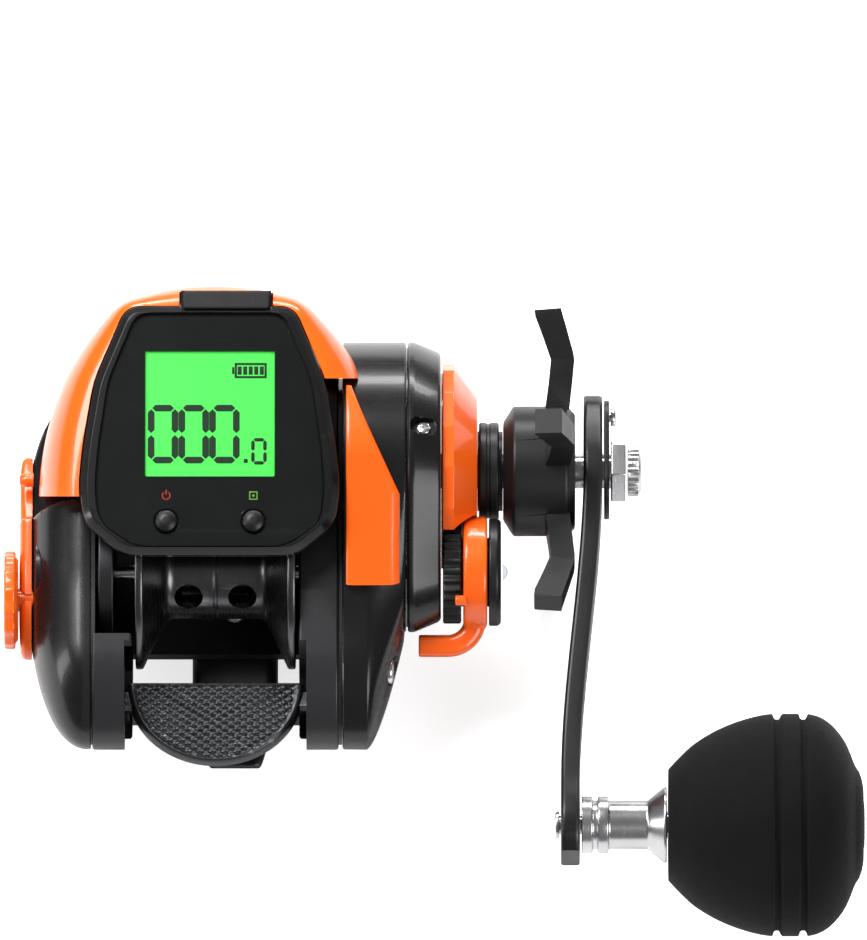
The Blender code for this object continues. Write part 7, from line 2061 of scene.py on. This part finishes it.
@dataclass
class Knob:
    """Power knob: turned ferrule, foam grip with two grooves, and its end cap, on the spindle."""

    start: float = 79
    length: float = 32.6
    radius: float = 19.4
    spindle: Profile = (
        (59.3, 0), (59.3, 2.4, 0.3), (60, 2.4, 0.1), (60, 1.6), (101, 1.6, 0.2), (101, 0),
    )
    ferrule: Profile = (
        (101, 2.3, 0.1), (78.7, 2.3, 0.1), (78.7, 6.6, 0.15), (78.3, 6.6, 0.15), (75.9, 4.7, 0.6),
        (75.4, 4.2, 0.3), (68.6, 4.2, 0.3), (68.5, 5, 0.15), (66.8, 5, 0.15), (66.6, 4.3, 0.1),
        (65.9, 4.3, 0.1), (65.7, 5, 0.15), (63.9, 5, 0.15), (63.9, 1.95, 0.1), (101, 1.95, 0.1),
    )
    shares: Pairs = (    # share of the length, share of the radius
        (0, 0.5), (0.05, 0.59), (0.14, 0.73), (0.27, 0.86), (0.42, 0.955), (0.56, 1), (0.74, 1),
        (0.85, 0.93), (0.94, 0.76), (1, 0.53),
    )
    grooves: Pairs = ((0.56, 0.6), (0.7, 0.74))
    groove_depth: float = 1
    end: Profile = (
        (111.7, 6.1), (112.7, 6.1), (113, 6.5), (112.75, 7.9), (112.3, 9.2),
    )
    inside: Profile = ((79, 2.6), (107.3, 2.6), (107.3, 4.8), (111.7, 4.8))
    cap: Profile = (
        (113.2, 0), (113.2, 3.8, 0.8), (112.7, 5.4, 0.5), (112.1, 5.8, 0.2), (111.9, 5.8, 0.1),
        (111.9, 4.5), (107.6, 4.5, 0.2), (107.6, 0),
    )

    def build(self) -> None:
        """Make the knob."""
        piece("knob_axle", Skin.turned(self.spindle, 48).at(KNOB), Kit.STEEL, "handle", ["knob_spindle"])
        sleeve = Skin.turned(self.ferrule, 96, 5, True).at(KNOB)
        piece("knob_sleeve", sleeve, Kit.STEEL, "knob", ["knob_ferrule"])
        curve = spline(self.shares, 180)
        station, radius = curve[:, 0] * self.length, np.minimum(curve[:, 1], 1) * self.radius
        for low, high in self.grooves:
            middle, half = (low + high) / 2 * self.length, (high - low) / 2 * self.length
            radius = radius - self.groove_depth * np.exp(-((station - middle) / half) ** 6)
        outside = [(self.start + s, r, 0) for s, r in zip(station[::-1], radius[::-1])]
        foam = Skin.turned([*self.end, *outside, *self.inside], 160, 1, True)
        piece("knob_foam", foam.at(KNOB), Kit.FOAM, "knob", ["knob_grip"])
        piece("knob_end", Skin.turned(self.cap).at(KNOB), Kit.FOAM, "knob", ["knob_cap"])


@dataclass
class LevelWind:
    """Worm with crossing grooves in its guard, guide rod, and the line guide with its eye."""

    thread: float = 13.4
    thread_radius: float = 2.3
    thread_pitch: float = 5.3
    thread_depth: float = 0.75
    threaded: float = 12
    thread_wall: float = 0.37
    right: Profile = ((20.5, 0), (20.5, 1.4), (13.4, 1.4))
    left: Profile = ((-13.4, 1.4), (-17.6, 1.4), (-17.6, 0))
    guard: Profile = ((14.3, 4, 0.3), (-14.3, 4, 0.3), (-14.3, 3, 0.2), (14.3, 3, 0.2))
    guard_slot: Box = ((-12.4, 25.3, -12), (12.4, 29.7, -2.5))
    bar: Rod = (-17.6, 17.6, 1.4, 0.2)
    body: Rod = (-4.3, 4.3, 5.8, 0.5)
    blocks: Boxes = (((-3.8, -2.6, -10.8), (3.8, 2.6, -4)), ((-3, -1.5, 4), (3, 1.5, 9.6)))
    eye_seat: Bore = (-2, 2, 4.5)
    bores: Drills = (
        ((-8.2, -2.3, 1.55), leaning(WORM.origin, 0), 32), ((-8, 8, 1.75), ROD, 48),
        ((-8, 8, 4.35), WORM, 96), ((-4, 4, 3.3), EYE, 64),
    )
    eye: Profile = (
        (2.5, 2.5, 0.4), (2, 3, 0.3), (-2, 3, 0.3), (-2.5, 2.5, 0.4), (-1.6, 1.9, 1.2),
        (1.6, 1.9, 1.2),
    )

    def groove(self, station: np.ndarray, radius: np.ndarray, turn: np.ndarray) -> np.ndarray:
        """Two crossing helical grooves, which end before the thread does.

        Args:
            station: Where along the worm.
            radius: Distance from its axis.
            turn: Angle about it.

        Returns:
            Change of the radius.
        """
        inside = (np.abs(station) < self.threaded) & (radius > self.thread_radius - 0.1)
        left = np.abs((station / self.thread_pitch - turn / tau) % 1 - 0.5)
        right = np.abs((station / self.thread_pitch + turn / tau) % 1 - 0.5)
        return -self.thread_depth * np.maximum(left > self.thread_wall, right > self.thread_wall) * inside

    def build(self) -> None:
        """Make the level wind."""
        thread = [(s, self.thread_radius, 0) for s in np.linspace(self.thread, -self.thread, 190)]
        worm = Skin.turned([*self.right, *thread, *self.left], 48, wobble=self.groove)
        piece("worm_screw", worm.at(WORM), Kit.STEEL, "worm", ["worm_shaft"])
        guard = Skin.turned(self.guard, closed=True).at(WORM)
        piece("worm_sleeve", guard, Kit.GRAPHITE, "reel", ["worm_guard"],
              cut=[Skin.block(*self.guard_slot).at(FLAT)], edge=0.15)
        piece("guide_bar", rod(self.bar, 48).at(ROD), Kit.STEEL, "reel", ["guide_rod"])
        local = leaning(WORM.origin, 0)
        joins = [Skin.block(*block).at(local) for block in self.blocks] + [drilled(self.eye_seat, EYE, 64)]
        cuts = [drilled(bore, place, sides) for bore, place, sides in self.bores]
        piece("guide_carriage", rod(self.body, 96).at(WORM), Kit.SATIN, "guide", ["line_guide"],
              joins, cuts, 0.15)
        piece("eye_ring", Skin.turned(self.eye, 72, 6, True).at(EYE), Kit.CERAMIC, "guide", ["guide_eye"])
        dress(Kit.BRASS, "guide_pawl", "main_gear", "pinion_gear")
        dress(Kit.SATIN, "worm_gear", "idler_gear")
        dress(Kit.STEEL, "ratchet_wheel", "pressure_plate")
        dress(Kit.CARBON, "drag_washer")
        dress(Kit.YOKE, "clutch_yoke")


@dataclass
class Studio:
    """Pale floor, soft lights and the camera of the photograph."""

    elevation: float = radians(65)
    lens: float = 1000
    target: tuple[float, float, float] = (38.1, 16.2, 31.1)
    height: float = 164.5

    def build(self) -> None:
        """Set the studio up."""
        self.camera()
        self.floor()
        self.world()
        self.light("key", (-150, 120, 420), (0, 5, 20), (260, 180), 2.3)
        self.light("fill", (260, -260, 260), (20, 0, 20), (220, 220), 0.9)
        self.light("rim", (-300, -60, 140), (0, 0, 20), (60, 260), 0.35)
        self.light("top", (60, 330, 200), (20, 10, 25), (360, 60), 1.3)

    def camera(self) -> None:
        """Long lens from behind and above, on the reel's middle."""
        data = bpy.data.cameras.new("camera")
        data.lens = self.lens
        data.sensor_width = 36.0
        data.sensor_fit = "AUTO"
        data.clip_start = 0.01
        data.clip_end = 20.0
        eye = bpy.data.objects.new("camera", data)
        back = Vector((0.0, -cos(self.elevation), sin(self.elevation)))
        distance = self.lens / data.sensor_width * self.height
        eye.location = (Vector(self.target) + back * distance) * METRES
        eye.rotation_euler = back.to_track_quat("Z", "Y").to_euler()
        bpy.context.scene.collection.objects.link(eye)
        bpy.context.scene.camera = eye

    def floor(self) -> None:
        """Pale sweep of paper just under the lowest point of the reel."""
        level = CAD_BOX[0][2] - 0.0003
        mesh = bpy.data.meshes.new("floor")
        mesh.from_pydata([(x, y, level) for x, y in ((-3, -3), (3, -3), (3, 3), (-3, 3))], [], [(0, 1, 2, 3)])
        ground = bpy.data.objects.new("floor", mesh)
        graph = Graph("paper")
        fibre = graph.noise(1.2, 3.0)
        seen = graph.node("ShaderNodeLightPath", output="Is Camera Ray")
        paper = graph.node("ShaderNodeBsdfPrincipled", None, {
            "Base Color": graph.mix(fibre, grey(0.9), grey(0.94)), "Roughness": 0.9,
            "Emission Color": graph.mix(seen, grey(0.0), grey(0.72)), "Emission Strength": 1.0,
            "Normal": graph.bump(fibre, 0.01, 0.2),
        })
        mesh.materials.append(graph.close(paper))
        bpy.context.scene.collection.objects.link(ground)

    def world(self) -> None:
        """White to the camera, a soft grey light from all round."""
        graph = Graph("studio", "worlds")
        path = graph.node("ShaderNodeLightPath", output="Is Camera Ray")
        back, seen = (graph.node("ShaderNodeBackground", None, {"Color": grey(level), "Strength": strength})
                      for level, strength in ((0.9, 0.2), (1.0, 1.0)))
        mix = graph.node("ShaderNodeMixShader", None, {0: path, 1: back, 2: seen})
        graph.node("ShaderNodeOutputWorld", None, {"Surface": mix})
        bpy.context.scene.world = graph.owner
        bpy.context.scene.view_settings.view_transform = "Standard"

    def light(self, name: str, spot: Sequence[float], toward: Sequence[float], size: Pair,
              power: float) -> None:
        """One softbox.

        Args:
            name: Name of the light.
            spot: Where it hangs.
            toward: What it points at.
            size: Its width and height.
            power: Its power in watts.
        """
        data = bpy.data.lights.new(name, "AREA")
        data.shape = "RECTANGLE"
        data.size, data.size_y = (side * METRES for side in size)
        data.energy = power
        lamp = bpy.data.objects.new(name, data)
        lamp.location = Vector(spot) * METRES
        lamp.rotation_euler = (Vector(spot) - Vector(toward)).to_track_quat("Z", "Y").to_euler()
        bpy.context.scene.collection.objects.link(lamp)


def main() -> None:
    """Build every assembly, then the studio."""
    for assembly in (Frame, PalmSide, HandleSide, Display, Hood, Spool, ThumbBar, Drag, Tension, Crank, Knob,
                     LevelWind, Studio):
        LOG.info("building %s", assembly.__name__)
        assembly().build()


if __name__ == "__main__":
    main()
